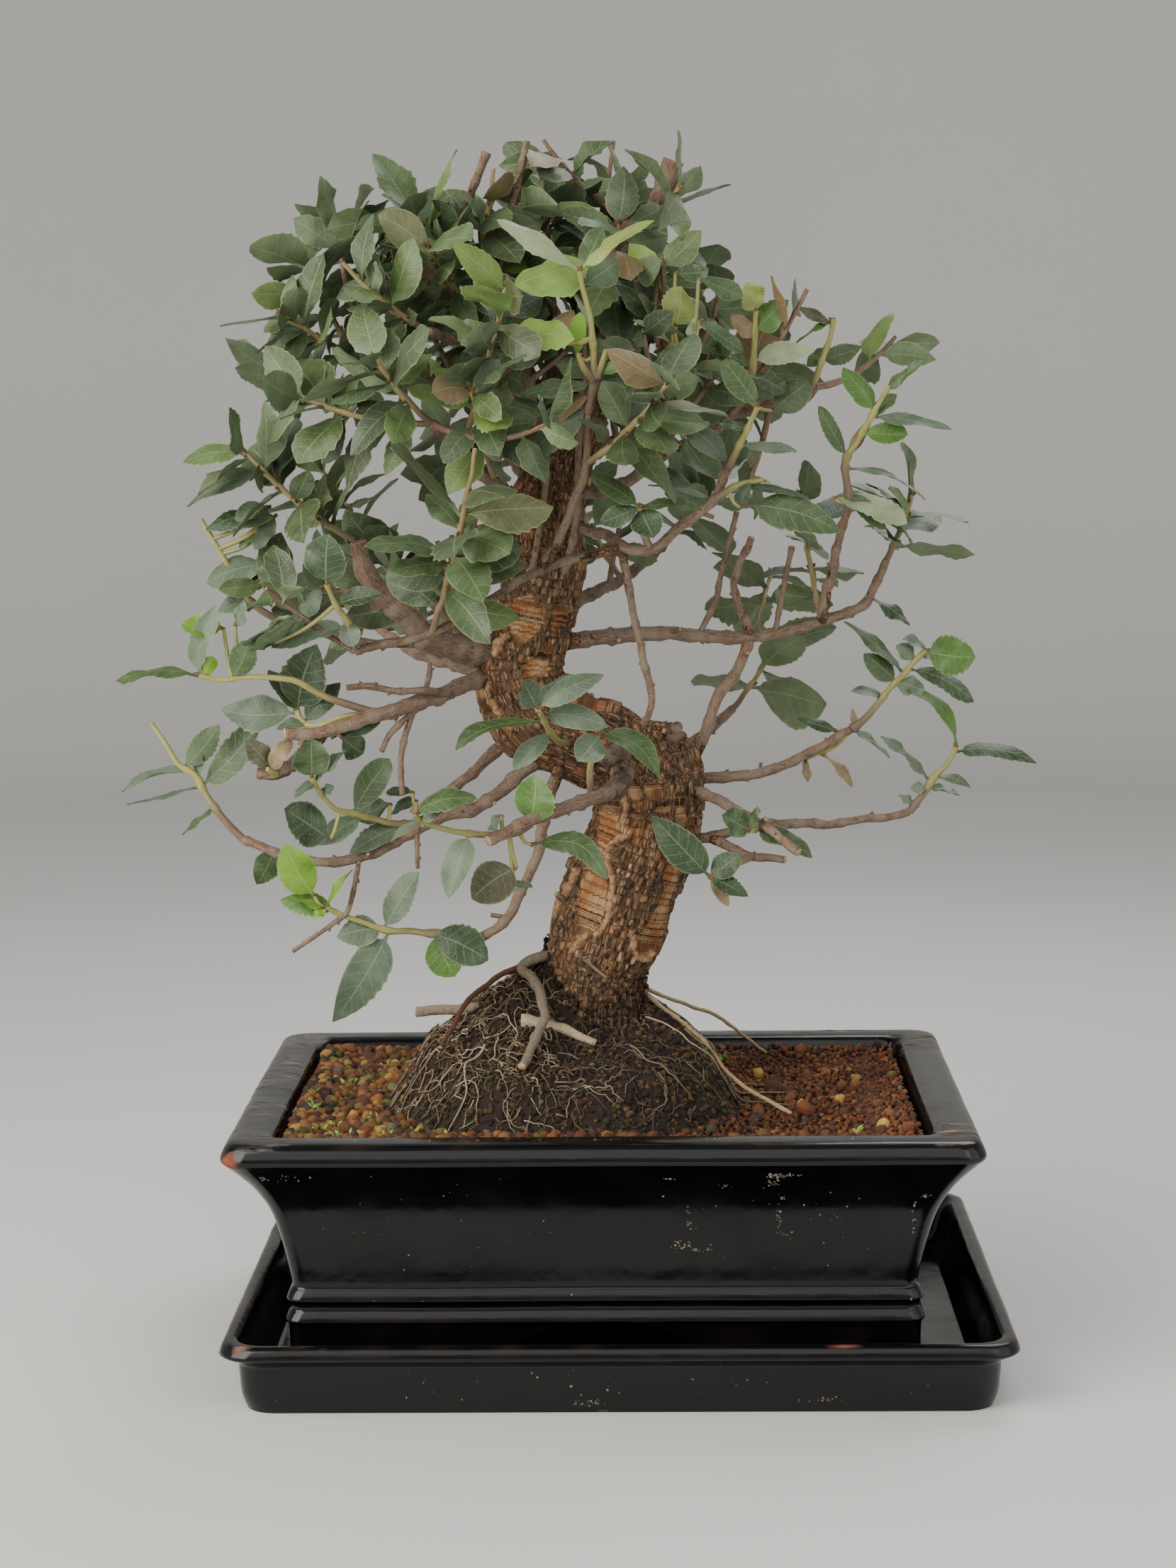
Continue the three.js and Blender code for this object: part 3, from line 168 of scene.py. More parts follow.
SHOOTS = [
    # Top of the crown
    [[-47, -16, 389], [-68, -30, 405], 8, 27, 0, 0],
    [[-47, -16, 389], [-40, -26, 421], 6, 24, 9, 1],
    [[-70, -4, 373], [-92, -4, 404], 8, 25, 0, 2],
    [[-21, 14, 371], [-25, 8, 429], 9, 24, 8, 3],
    [[-6, 5, 389], [6, 36, 408], 8, 25, 0, 4],
    [[14, 3, 405], [24, -20, 414], 5, 24, 0, 0],
    [[-1, 6, 366], [2, -26, 402], 8, 24, 0, 1],
    [[-21, 14, 371], [-34, 44, 404], 9, 25, 0, 2],
    [[-44, -10, 366], [-84, 24, 396], 8, 25, 0, 3],
    # Front of the crown
    [[-62, -52, 365], [-90, -58, 388], 7, 24, 6, 4],
    [[-44, -10, 366], [-62, -50, 394], 8, 25, 0, 0],
    [[-52, -56, 324], [-34, -74, 380], 10, 26, 0, 1],
    [[-8, -61, 337], [-9, -76, 384], 6, 33, 0, 3],
    [[-60, -66, 334], [-78, -80, 356], 6, 31, 0, 3],
    [[-60, -66, 334], [-106, -62, 344], 8, 25, 0, 4],
    [[-40, -34, 312], [-46, -84, 346], 8, 25, 0, 0],
    [[-62, -59, 263], [-44, -96, 326], 7, 31, 12, 4],
    [[-9, -58, 320], [20, -80, 348], 8, 26, 0, 1],
    [[13, -52, 290], [10, -86, 312], 6, 27, 0, 4],
    [[19, -24, 345], [26, -52, 372], 6, 28, 0, 2],
    [[40, -50, 319], [52, -66, 344], 6, 26, 5, 2],
    [[34, -53, 307], [64, -50, 310], 6, 29, 0, 0],
    # Left of the crown
    [[-90, -20, 357], [-106, -18, 390], 8, 26, 0, 0],
    [[-72, -15, 350], [-130, 6, 352], 9, 26, 0, 2],
    [[-52, -10, 345], [-114, -36, 372], 9, 25, 0, 4],
    [[-89, -34, 293], [-127, -46, 326], 8, 28, 0, 0],
    [[-110, -34, 264], [-143, -38, 302], 7, 28, 10, 0],
    # Right of the crown
    [[45, -22, 340], [52, -24, 378], 8, 25, 8, 3],
    [[72, 0, 345], [82, 2, 372], 7, 27, 0, 0],
    [[83, -16, 306], [96, -30, 346], 8, 28, 9, 1],
    [[99, 22, 282], [108, 16, 306], 7, 27, 0, 1],
    [[75, 18, 260], [68, 30, 306], 7, 26, 0, 4],
    # Back of the crown
    [[8, 12, 328], [34, 34, 384], 9, 27, 0, 1],
    [[34, 10, 334], [56, 48, 354], 8, 27, 0, 3],
    [[18, 64, 286], [38, 82, 312], 8, 28, 0, 2],
    [[2, 46, 275], [-16, 80, 306], 8, 28, 0, 0],
    [[-46, 44, 330], [-66, 62, 362], 9, 27, 0, 4],
    [[-82, 28, 284], [-110, 42, 318], 8, 27, 0, 1],
    # Lower shoots on the left
    [[-90, 62, 255], [-112, 74, 272], 6, 28, 0, 3],
    [[-82, -45, 234], [-122, -22, 244], 6, 32, 0, 4],
    [[-82, -45, 234], [-148, -56, 251], 7, 28, 0, 2],
    [[-133, -22, 187], [-160, -22, 228], 7, 27, 5, 0],
    [[-52, -30, 150], [-107, -42, 171], 8, 30, 0, 3],
    [[-88, -62, 257], [-100, -82, 280], 6, 30, 0, 1],
    [[-123, -55, 214], [-132, -72, 204], 5, 26, 0, 0],
    [[-65, -22, 193], [-92, -54, 212], 7, 26, 0, 0],
    [[-28, -60, 199], [-74, -88, 203], 8, 25, 0, 3],
    [[-15, 0, 222], [-26, -74, 242], 7, 28, 0, 1],
    # Lower shoots on the right
    [[51, -26, 192], [26, -42, 176], 6, 26, 0, 4],
    [[107, 15, 190], [125, 13, 214], 7, 28, 0, 2],
    [[86, 14, 221], [114, 14, 250], 9, 26, 0, 0],
    [[44, 70, 223], [60, 84, 246], 6, 28, 0, 0],
    [[49, 12, 255], [58, 56, 276], 6, 28, 0, 2],
]
TRUNK_NODE = "trunk"
TWIG_RADII = (1.4, 0.8)
STEM_SIDES = 5
STALK_HALF = 0.8
NODE_SPACING = 8
FIRST_LEAF_SHARE = 0.2
TWIG_SAG = 0.12
LEAF_WIDTH = 0.56
LEAF_SPACING = 3.6
WOOD_SPACING = 2.2
LEAF_TRIES = 16
ROOT_LIFT = 1.6
CROWN_AXIS = np.array((-12.0, 0.0, 0.0))
MOUND_TOP = (-8, 0, 0.2)
MOUND_FOOT = (-20, -14, 64, 61)
BALL_BELOW = [(44, 46, 40), (66, 54, 50)]
MOUND_SLOPE = [(1, 0), (0.92, 0.16), (0.8, 0.44), (0.6, 0.62), (0.4, 0.8), (0.2, 1)]

# The photograph's camera: place in millimetres, turn in radians, and focal length in pixels
CAMERA_PLACE = (11.75, -1110.24, 344.24)
CAMERA_YAW = 0.0199
CAMERA_PITCH = 0.1263
CAMERA_ROLL = -0.0099
CAMERA_FOCAL = 4361
FRAME_HEIGHT = 2212
SENSOR = 36


# Settings that a user would change

def colour_of(hex_value):
    """The linear colour of an sRGB hex value."""
    channels = [((hex_value >> shift) & 255) / 255 for shift in (16, 8, 0)]
    linear = [c / 12.92 if c <= 0.04045 else ((c + 0.055) / 1.055) ** 2.4 for c in channels]
    return (*linear, 1.0)


def tint_of(hex_value):
    """The same without alpha, as points carry it."""
    return np.array(colour_of(hex_value)[:3])


def colour_setting(name, description, hex_value):
    return bpy.props.FloatVectorProperty(
        name=name, description=description, subtype="COLOR", size=4, min=0, max=1,
        default=colour_of(hex_value))


def length_setting(name, description, millimetres):
    return bpy.props.FloatProperty(
        name=name, description=description, default=millimetres * MM, min=0, unit="LENGTH", precision=4)


class BonsaiPotSettings(bpy.types.PropertyGroup):
    glaze: colour_setting("Glaze", "Colour of the glaze on pot and saucer", 0x07080a)
    clay: colour_setting("Clay", "Colour of the fired clay where the glaze is chipped", 0x8a4a32)
    dust: colour_setting("Dust", "Colour of the lime and dust on rims and ledges", 0x8d8a84)
    wobble: length_setting("Wobble", "How far the glazed walls wander from true", 0.3)
    grain: length_setting("Grain", "Size of a middling substrate grain", 2.9)


class BonsaiTreeSettings(bpy.types.PropertyGroup):
    leaf: colour_setting("Leaf", "Colour of a grown leaf's upper face", 0x4b5f3b)
    young_leaf: colour_setting("Young leaf", "Colour of a new leaf's upper face", 0x7d9d42)
    underside: colour_setting("Underside", "Colour of a leaf's lower face", 0x6d7f5e)
    bark: colour_setting("Bark", "Colour of the weathered cork plates", 0x86674a)
    fresh_cork: colour_setting("Fresh cork", "Colour of the cork faces where plates came away", 0xb27e50)
    limb: colour_setting("Limb", "Colour of the limbs' thin bark", 0x786657)
    young_stem: colour_setting("Young stem", "Colour of the leafy shoots' stems", 0xa59665)
    fissure: length_setting("Fissure", "Depth of the cracks between cork plates", 1.5)
    leaf_thickness: length_setting("Leaf thickness", "Thickness of a leaf's blade", 0.45)
    fill: bpy.props.FloatProperty(
        name="Fill", description="Share of the extra leaves inside the crown",
        default=1, min=0, max=1, subtype="FACTOR")


# Numbers, noise and curves

def chance(*keys):
    """A number from 0 to 1 that depends only on its whole-number keys."""
    mix = 2166136261
    for key in keys:
        mix = ((mix ^ key) * 16777619) & 0xFFFFFFFF
        mix = ((mix ^ (mix >> 15)) * 2246822519) & 0xFFFFFFFF
    mix = ((mix ^ (mix >> 13)) * 3266489917) & 0xFFFFFFFF
    return (mix ^ (mix >> 16)) / 4294967296


def between(low, high, *keys):
    return low + (high - low) * chance(*keys)


def unit(vector):
    return vector / np.linalg.norm(vector)


def units(vectors):
    return vectors / np.maximum(np.linalg.norm(vectors, axis=-1, keepdims=True), 1e-9)


def smooth(low, high, value):
    share = np.clip((value - low) / (high - low), 0, 1)
    return share * share * (3 - 2 * share)


def lattice(cells, salt):
    """A hashed number from 0 to 1 for each whole-number lattice point."""
    c = cells.astype(np.int64).astype(np.uint32)
    mix = c[..., 0] * np.uint32(73856093) ^ c[..., 1] * np.uint32(19349663) ^ c[..., 2] * np.uint32(83492791)
    mix = (mix ^ np.uint32(salt * 2654435761 & 0xFFFFFFFF)) * np.uint32(2246822519)
    mix = (mix ^ (mix >> np.uint32(13))) * np.uint32(3266489917)
    return (mix ^ (mix >> np.uint32(16))) / 4294967296


def noise(places, size, salt=0, octaves=1):
    """Smooth noise from -1 to 1 with lumps of about the given size."""
    total = np.zeros(len(places))
    height = 1.0
    for octave in range(octaves):
        scaled = np.asarray(places) / size * 2**octave
        base = np.floor(scaled)
        part = scaled - base
        part = part * part * (3 - 2 * part)
        value = 0
        for corner in range(8):
            step = np.array([corner & 1, corner >> 1 & 1, corner >> 2 & 1])
            weight = np.prod(np.where(step, part, 1 - part), axis=-1)
            value = value + weight * lattice(base + step, salt + octave)
        total += (2 * value - 1) * height
        height *= 0.5
    return total


def noise_vectors(places, size, salt):
    """Three kinds of noise for each place, to push it any way."""
    return np.stack([noise(places, size, salt + axis) for axis in range(3)], -1)


def in_plan(x, y):
    """Places at height 0, where noise is to depend on the plan alone."""
    return np.stack([x, y, 0 * np.asarray(x, float)], -1)


def cells(places, size, salt=0):
    """Distances to the two nearest of scattered points, in cell sizes, and the nearest one's own number."""
    scaled = np.asarray(places) / size
    base = np.floor(scaled)
    near = np.full(len(scaled), 9.0)
    second = np.full(len(scaled), 9.0)
    owner = np.zeros(len(scaled))
    for index in range(27):
        cell = base + np.array([index % 3 - 1, index // 3 % 3 - 1, index // 9 - 1])
        point = cell + np.stack([lattice(cell, salt + 11 * axis + 1) for axis in range(3)], -1)
        away = np.linalg.norm(point - scaled, axis=-1)
        closer = away < near
        second = np.where(closer, near, np.minimum(second, away))
        owner = np.where(closer, lattice(cell, salt + 77), owner)
        near = np.where(closer, away, near)
    return near, second, owner


def spline(knots, step):
    """Points along a smooth curve through the knots, about a step apart. Knots may carry more than places."""
    knots = np.asarray(knots, float)
    padded = np.vstack([2 * knots[0] - knots[1], knots, 2 * knots[-1] - knots[-2]])
    points = []
    for a, b, c, d in zip(padded, padded[1:], padded[2:], padded[3:]):
        count = max(1, round(np.linalg.norm(c[:3] - b[:3]) / step))
        for i in range(count):
            t = i / count
            cubic = (3 * b - a - 3 * c + d) * t**3
            points.append(0.5 * (2 * b + (c - a) * t + (2 * a - 5 * b + 4 * c - d) * t**2 + cubic))
    points.append(knots[-1])
    return np.array(points)


def distances(points):
    """How far along a curve each of its points lies."""
    return np.concatenate([[0], np.cumsum(np.linalg.norm(np.diff(points, axis=0), axis=1))])


def turns(count):
    """Even angles round a full turn."""
    return np.arange(count) / count * 2 * math.pi


def tangents(points):
    return units(np.gradient(points, axis=0))


def carried_frames(points):
    """The curve's direction at each point, and two directions across it that don't twist along the way."""
    along = tangents(points)
    across = np.array((1.0, 0, 0)) if abs(along[0][2]) > 0.8 else np.array((0, 0, 1.0))
    sideways = []
    for direction in along:
        across = unit(across - direction * across.dot(direction))
        sideways.append(across)
    sideways = np.array(sideways)
    return along, sideways, np.cross(along, sideways)


# Meshes

def mesh_of(name, points, faces):
    """A mesh from points in millimetres."""
    mesh = bpy.data.meshes.new(name)
    mesh.from_pydata((np.asarray(points) * MM).tolist(), [], faces)
    return mesh


def in_scene(name, data):
    made = bpy.data.objects.new(name, data)
    bpy.context.scene.collection.objects.link(made)
    return made


def dress(mesh, *materials):
    """Gives a mesh its materials and smooth shading."""
    for material in materials:
        mesh.materials.append(bpy.data.materials[material])
    mesh.polygons.foreach_set("use_smooth", [True] * len(mesh.polygons))


def set_vectors(mesh, name, values):
    layer = mesh.attributes.new(name, "FLOAT_VECTOR", "POINT")
    layer.data.foreach_set("vector", values.astype(np.float32).ravel())


def vectors_of(values, name):
    numbers = np.empty(len(values) * 3)
    values.foreach_get(name, numbers)
    return numbers.reshape(-1, 3)


class Shape:
    """Collects points, faces and per-point values, and makes one mesh piece of them."""

    def __init__(self):
        self.points = []
        self.faces = []
        self.slots = []
        self.values = {}
        self.count = 0

    def add(self, points, faces, slot=0, **values):
        points = np.asarray(points, float)
        for face in faces:
            self.faces.append([corner + self.count for corner in face])
        self.slots.extend([slot] * len(faces) if np.isscalar(slot) else slot)
        self.points.append(points)
        for name, value in values.items():
            value = np.asarray(value, float)
            full = np.broadcast_to(value, (len(points), 3)) if value.ndim < 2 else value
            self.values.setdefault(name, []).append(full)
        self.count += len(points)

    def piece(self, name, materials, slot, replaces=(), sharp=0):
        mesh = mesh_of(name, np.vstack(self.points), self.faces)
        dress(mesh, *materials)
        mesh.polygons.foreach_set("material_index", self.slots)
        if sharp:
            mesh.set_sharp_from_angle(angle=math.radians(sharp))
        for attribute, parts in self.values.items():
            set_vectors(mesh, attribute, np.vstack(parts))
        mesh.update()
        return placed(name, mesh, replaces)


def placed(name, mesh, replaces=()):
    """Puts a mesh in the scene as a piece that rides on the part's one body."""
    piece = in_scene(name, mesh)
    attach(piece, "root")
    for node_name in replaces:
        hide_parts(node_name)
    return piece


def ring_faces(rings, sides, is_capped=True):
    """Quads between rings of the same number of points, and a many-sided face at both ends."""
    faces = []
    for level in range(rings - 1):
        for i in range(sides):
            a = level * sides + i
            b = level * sides + (i + 1) % sides
            faces.append((a, b, b + sides, a + sides))
    if is_capped:
        faces.append(tuple(reversed(range(sides))))
        faces.append(tuple(range((rings - 1) * sides, rings * sides)))
    return faces


def tube(points, radii, sides):
    """Rings round a curve, the wood's own coordinates (round, round, along) and the direction out."""
    _, across, other = carried_frames(points)
    turn = turns(sides)
    out = across[:, None] * np.cos(turn)[None, :, None] + other[:, None] * np.sin(turn)[None, :, None]
    rings = points[:, None] + out * np.asarray(radii)[:, None, None]
    lengths = distances(points)
    grain = np.stack([
        np.asarray(radii)[:, None] * np.cos(turn)[None], np.asarray(radii)[:, None] * np.sin(turn)[None],
        np.repeat(lengths[:, None], sides, 1)], -1)
    return rings.reshape(-1, 3), grain.reshape(-1, 3), out.reshape(-1, 3)


# Materials

def add_node(tree, kind, inputs=None, **settings):
    """Adds one node. An input takes a value, or is linked to another node or to one of its outputs."""
    made = tree.nodes.new("ShaderNode" + kind)
    for name, value in settings.items():
        setattr(made, name, value)
    for name, value in (inputs or {}).items():
        if isinstance(value, bpy.types.Node):
            value = next(output for output in value.outputs if output.enabled)
        if isinstance(value, bpy.types.NodeSocket):
            tree.links.new(value, made.inputs[name])
        else:
            made.inputs[name].default_value = value
    return made


def new_material(name):
    """Starts an empty material, and returns what adds a node to it."""
    material = bpy.data.materials.new(name)
    material.use_nodes = True
    material.node_tree.nodes.clear()
    return functools.partial(add_node, material.node_tree)


def black_glaze_dipped(pot):
    """Black iron glaze, dipped and fired: glossy, brown where it thins on edges, and dull under lime."""
    add = new_material("black_glaze_dipped")
    place = add("TexCoord").outputs["Object"]
    wear = add("SeparateXYZ", {"Vector": add("Attribute", attribute_name="wear").outputs["Vector"]})
    # Lime lies in streaks about 12 mm long and 2.4 mm wide
    streaks = add("Mapping", {"Vector": place, "Scale": (80, 420, 420)})
    lime = add("TexNoise", {"Vector": streaks, "Scale": 1, "Detail": 7, "Roughness": 0.66})
    specks = add("TexNoise", {"Vector": place, "Scale": 900, "Detail": 4, "Roughness": 0.75})
    patches = add("TexNoise", {"Vector": place, "Scale": 38, "Detail": 3})
    threshold = add("Math", {0: wear.outputs["X"], 1: -0.34}, operation="MULTIPLY")
    threshold = add("Math", {0: threshold, 1: 0.80}, operation="ADD")
    summed = add("Math", {0: lime, 1: patches}, operation="ADD")
    summed = add("Math", {0: summed, 1: 0.5}, operation="MULTIPLY")
    high = add("Math", {0: threshold, 1: 0.13}, operation="ADD")
    dusty = add("MapRange", {"Value": summed, "From Min": threshold, "From Max": high})
    dusty = add("Math", {0: dusty, 1: specks}, operation="MULTIPLY")
    brown = add("Mix", {0: wear.outputs["Z"], 6: pot.glaze, 7: colour_of(0x2e211a)}, data_type="RGBA")
    chipped = add("Mix", {0: wear.outputs["Y"], 6: brown, 7: pot.clay}, data_type="RGBA")
    colour = add("Mix", {0: dusty, 6: chipped, 7: pot.dust}, data_type="RGBA")
    smear = add("TexNoise", {"Vector": place, "Scale": 55, "Detail": 5})
    rough = add(
        "MapRange", {"Value": smear, "From Min": 0.35, "From Max": 0.7, "To Min": 0.1, "To Max": 0.26})
    rough = add("Math", {0: rough, 1: dusty}, operation="ADD")
    rough = add("Math", {0: rough, 1: wear.outputs["Y"]}, operation="ADD", use_clamp=True)
    ripples = add("TexNoise", {"Vector": place, "Scale": 130, "Detail": 2})
    bump = add("Bump", {"Height": ripples, "Strength": 0.12, "Distance": 0.001})
    shader = add("BsdfPrincipled", {"Base Color": colour, "Roughness": rough, "Normal": bump, "IOR": 1.45})
    add("OutputMaterial", {"Surface": shader})


def cork_bark_weathered(tree):
    """Living cork, weathered: brown crumbly plates over orange-tan cork that cracks across its growth."""
    add = new_material("cork_bark_weathered")
    grain = add("Attribute", attribute_name="grain").outputs["Vector"]
    wear = add("Attribute", attribute_name="wear").outputs["Vector"]
    wear = add("SeparateXYZ", {"Vector": wear})
    bent = add("TexNoise", {"Vector": grain, "Scale": 0.45, "Detail": 3}).outputs["Color"]
    bent = add("VectorMath", {0: bent, 1: (1.6, 1.6, 1.6)}, operation="MULTIPLY")
    # Strips split about every 1.6 mm round the trunk and 5 mm along it
    split = add("Mapping", {"Vector": grain, "Scale": (0.62, 0.62, 0.2)})
    split = add("VectorMath", {0: split, 1: bent}, operation="ADD")
    plates = add("TexVoronoi", {"Vector": split, "Scale": 1}, feature="DISTANCE_TO_EDGE")
    plate = add("MapRange", {"Value": plates, "From Min": 0.0, "From Max": 0.16})
    owner = add("TexVoronoi", {"Vector": split, "Scale": 1}).outputs["Color"]
    owner = add("SeparateXYZ", {"Vector": owner})
    # Each strip is a stack of thin layers, seen on edge about every 0.8 mm
    stack = add("Mapping", {"Vector": grain, "Scale": (0.6, 0.6, 1.5)})
    stack = add("TexNoise", {"Vector": stack, "Scale": 1, "Detail": 4, "Distortion": 1.2})
    crumbs = add("TexNoise", {"Vector": grain, "Scale": 1.2, "Detail": 6, "Roughness": 0.72})
    broad = add("TexNoise", {"Vector": grain, "Scale": 0.12, "Detail": 4})
    light = add("MapRange", {"Value": crumbs, "From Min": 0.4, "From Max": 0.6})
    dull = add("Mix", {0: light, 6: colour_of(0x573e2d), 7: tree.bark}, data_type="RGBA")
    layer = add("MapRange", {"Value": stack, "From Min": 0.5, "From Max": 0.62})
    layer = add("Math", {0: layer, 1: light}, operation="MULTIPLY")
    dull = add("Mix", {0: layer, 6: dull, 7: colour_of(0xc6a276)}, data_type="RGBA")
    orange = add("MapRange", {"Value": broad, "From Min": 0.5, "From Max": 0.68})
    orange = add("Math", {0: orange, 1: light}, operation="MULTIPLY")
    dull = add("Mix", {0: orange, 6: dull, 7: colour_of(0xa57044)}, data_type="RGBA")
    # Painted shade: darker in the cracks between plates, with a tone of its own for each plate; wear's second
    # channel adds more painted shade in the cracks, and darkens the foot of the trunk, partly soil and partly
    # painted shade
    shade = add("MapRange", {"Value": plate, "To Min": 0.3, "To Max": 1})
    shade = add("Math", {0: owner, 1: 0.35, 2: shade}, operation="MULTIPLY_ADD")
    shade = add("Math", {0: wear.outputs["Y"], 1: -0.45, 2: shade}, operation="MULTIPLY_ADD")
    dull = add("Mix", {0: 1, 6: dull, 7: shade}, data_type="RGBA", blend_type="MULTIPLY")
    # Growth lines cross the bare cork about every 2.5 mm, and many of them gape; the gaping lines are painted
    # near black, as painted shade inside the open cracks
    rows = add("Mapping", {"Vector": grain, "Scale": (0.05, 0.05, 1)})
    rings = add(
        "TexWave", {"Vector": rows, "Scale": 0.13, "Distortion": 6, "Detail": 3, "Detail Scale": 0.35},
        bands_direction="Z").outputs["Fac"]
    faint = add(
        "TexWave", {"Vector": rows, "Scale": 0.31, "Distortion": 5, "Detail": 2, "Detail Scale": 0.5},
        bands_direction="Z").outputs["Fac"]
    gape = add("MapRange", {"Value": rings, "From Min": 0.9, "From Max": 0.98})
    faint = add("MapRange", {"Value": faint, "From Min": 0.75, "From Max": 0.95, "To Max": 0.65})
    gape = add("Math", {0: gape, 1: faint}, operation="MAXIMUM")
    broken = add("MapRange", {"Value": crumbs, "From Min": 0.38, "From Max": 0.5})
    gape = add("Math", {0: gape, 1: broken}, operation="MULTIPLY")
    fibre = add("Mapping", {"Vector": grain, "Scale": (1.2, 1.2, 0.3)})
    fibre = add("TexNoise", {"Vector": fibre, "Scale": 1, "Detail": 4})
    fibre = add("MapRange", {"Value": fibre, "From Min": 0.35, "From Max": 0.65})
    warm = add("Mix", {0: fibre, 6: colour_of(0xa9683a), 7: tree.fresh_cork}, data_type="RGBA")
    paler = add("MapRange", {"Value": broad, "From Min": 0.45, "From Max": 0.6})
    warm = add("Mix", {0: paler, 6: warm, 7: colour_of(0xc29f72)}, data_type="RGBA")
    warm = add("Mix", {0: gape, 6: warm, 7: colour_of(0x2a1a11)}, data_type="RGBA")
    lip = add("Mix", {0: light, 6: colour_of(0xb07c54), 7: colour_of(0xdcb48a)}, data_type="RGBA")
    colour = add("Mix", {0: wear.outputs["X"], 6: dull, 7: warm}, data_type="RGBA")
    colour = add("Mix", {0: wear.outputs["Z"], 6: colour, 7: lip}, data_type="RGBA")
    relief = add("Math", {0: crumbs, 1: plate}, operation="ADD")
    relief = add("Math", {0: relief, 1: stack}, operation="ADD")
    flat = add("Math", {0: gape, 1: -1.2, 2: fibre}, operation="MULTIPLY_ADD")
    height = add("Mix", {0: wear.outputs["X"], 2: relief, 3: flat})
    bump = add("Bump", {"Height": height, "Strength": 0.9, "Distance": 0.0006})
    shader = add("BsdfPrincipled", {"Base Color": colour, "Roughness": 0.9, "Normal": bump})
    add("OutputMaterial", {"Surface": shader})


def limb_bark_thin():
    """Thin bark of young limbs: grey-brown, cracked along, with cross wrinkles and pale pores."""
    add = new_material("limb_bark_thin")
    grain = add("Attribute", attribute_name="grain").outputs["Vector"]
    tint = add("Attribute", attribute_name="tint").outputs["Color"]
    long = add("Mapping", {"Vector": grain, "Scale": (1.5, 1.5, 0.35)})
    mottle = add("TexNoise", {"Vector": long, "Scale": 1, "Detail": 6, "Roughness": 0.7})
    broad = add("TexNoise", {"Vector": grain, "Scale": 0.16, "Detail": 4})
    pores = add("TexVoronoi", {"Vector": grain, "Scale": 0.62})
    pore = add("MapRange", {"Value": pores, "From Min": 0.14, "From Max": 0.24, "To Min": 0.75, "To Max": 0})
    wrinkle = add("Mapping", {"Vector": grain, "Scale": (0.3, 0.3, 1.6)})
    wrinkle = add("TexNoise", {"Vector": wrinkle, "Scale": 1, "Detail": 4})
    spread = add(
        "MapRange", {"Value": mottle, "From Min": 0.35, "From Max": 0.65, "To Min": 0.45, "To Max": 1.5})
    colour = add("Mix", {0: 1, 6: tint, 7: spread}, data_type="RGBA", blend_type="MULTIPLY")
    # Old skin bleaches grey in patches about 6 mm long
    grey = add("MapRange", {"Value": broad, "From Min": 0.45, "From Max": 0.62, "To Max": 0.6})
    colour = add("Mix", {0: grey, 6: colour, 7: colour_of(0x94836f)}, data_type="RGBA")
    colour = add("Mix", {0: pore, 6: colour, 7: colour_of(0xb49a7c)}, data_type="RGBA")
    height = add("Math", {0: mottle, 1: wrinkle}, operation="ADD")
    height = add("Math", {0: height, 1: pore}, operation="ADD")
    bump = add("Bump", {"Height": height, "Strength": 0.8, "Distance": 0.0005})
    shader = add("BsdfPrincipled", {"Base Color": colour, "Roughness": 0.72, "Normal": bump})
    add("OutputMaterial", {"Surface": shader})


def wood_cut_dry():
    """Branch ends cut with shears: pale dry wood speckled with brown."""
    add = new_material("wood_cut_dry")
    grain = add("Attribute", attribute_name="grain").outputs["Vector"]
    speck = add("TexNoise", {"Vector": grain, "Scale": 1.8, "Detail": 4})
    colour = add("Mix", {0: speck, 6: colour_of(0x8c6b45), 7: colour_of(0xd9bd92)}, data_type="RGBA")
    bump = add("Bump", {"Height": speck, "Strength": 0.5, "Distance": 0.0003})
    shader = add("BsdfPrincipled", {"Base Color": colour, "Roughness": 0.85, "Normal": bump})
    add("OutputMaterial", {"Surface": shader})


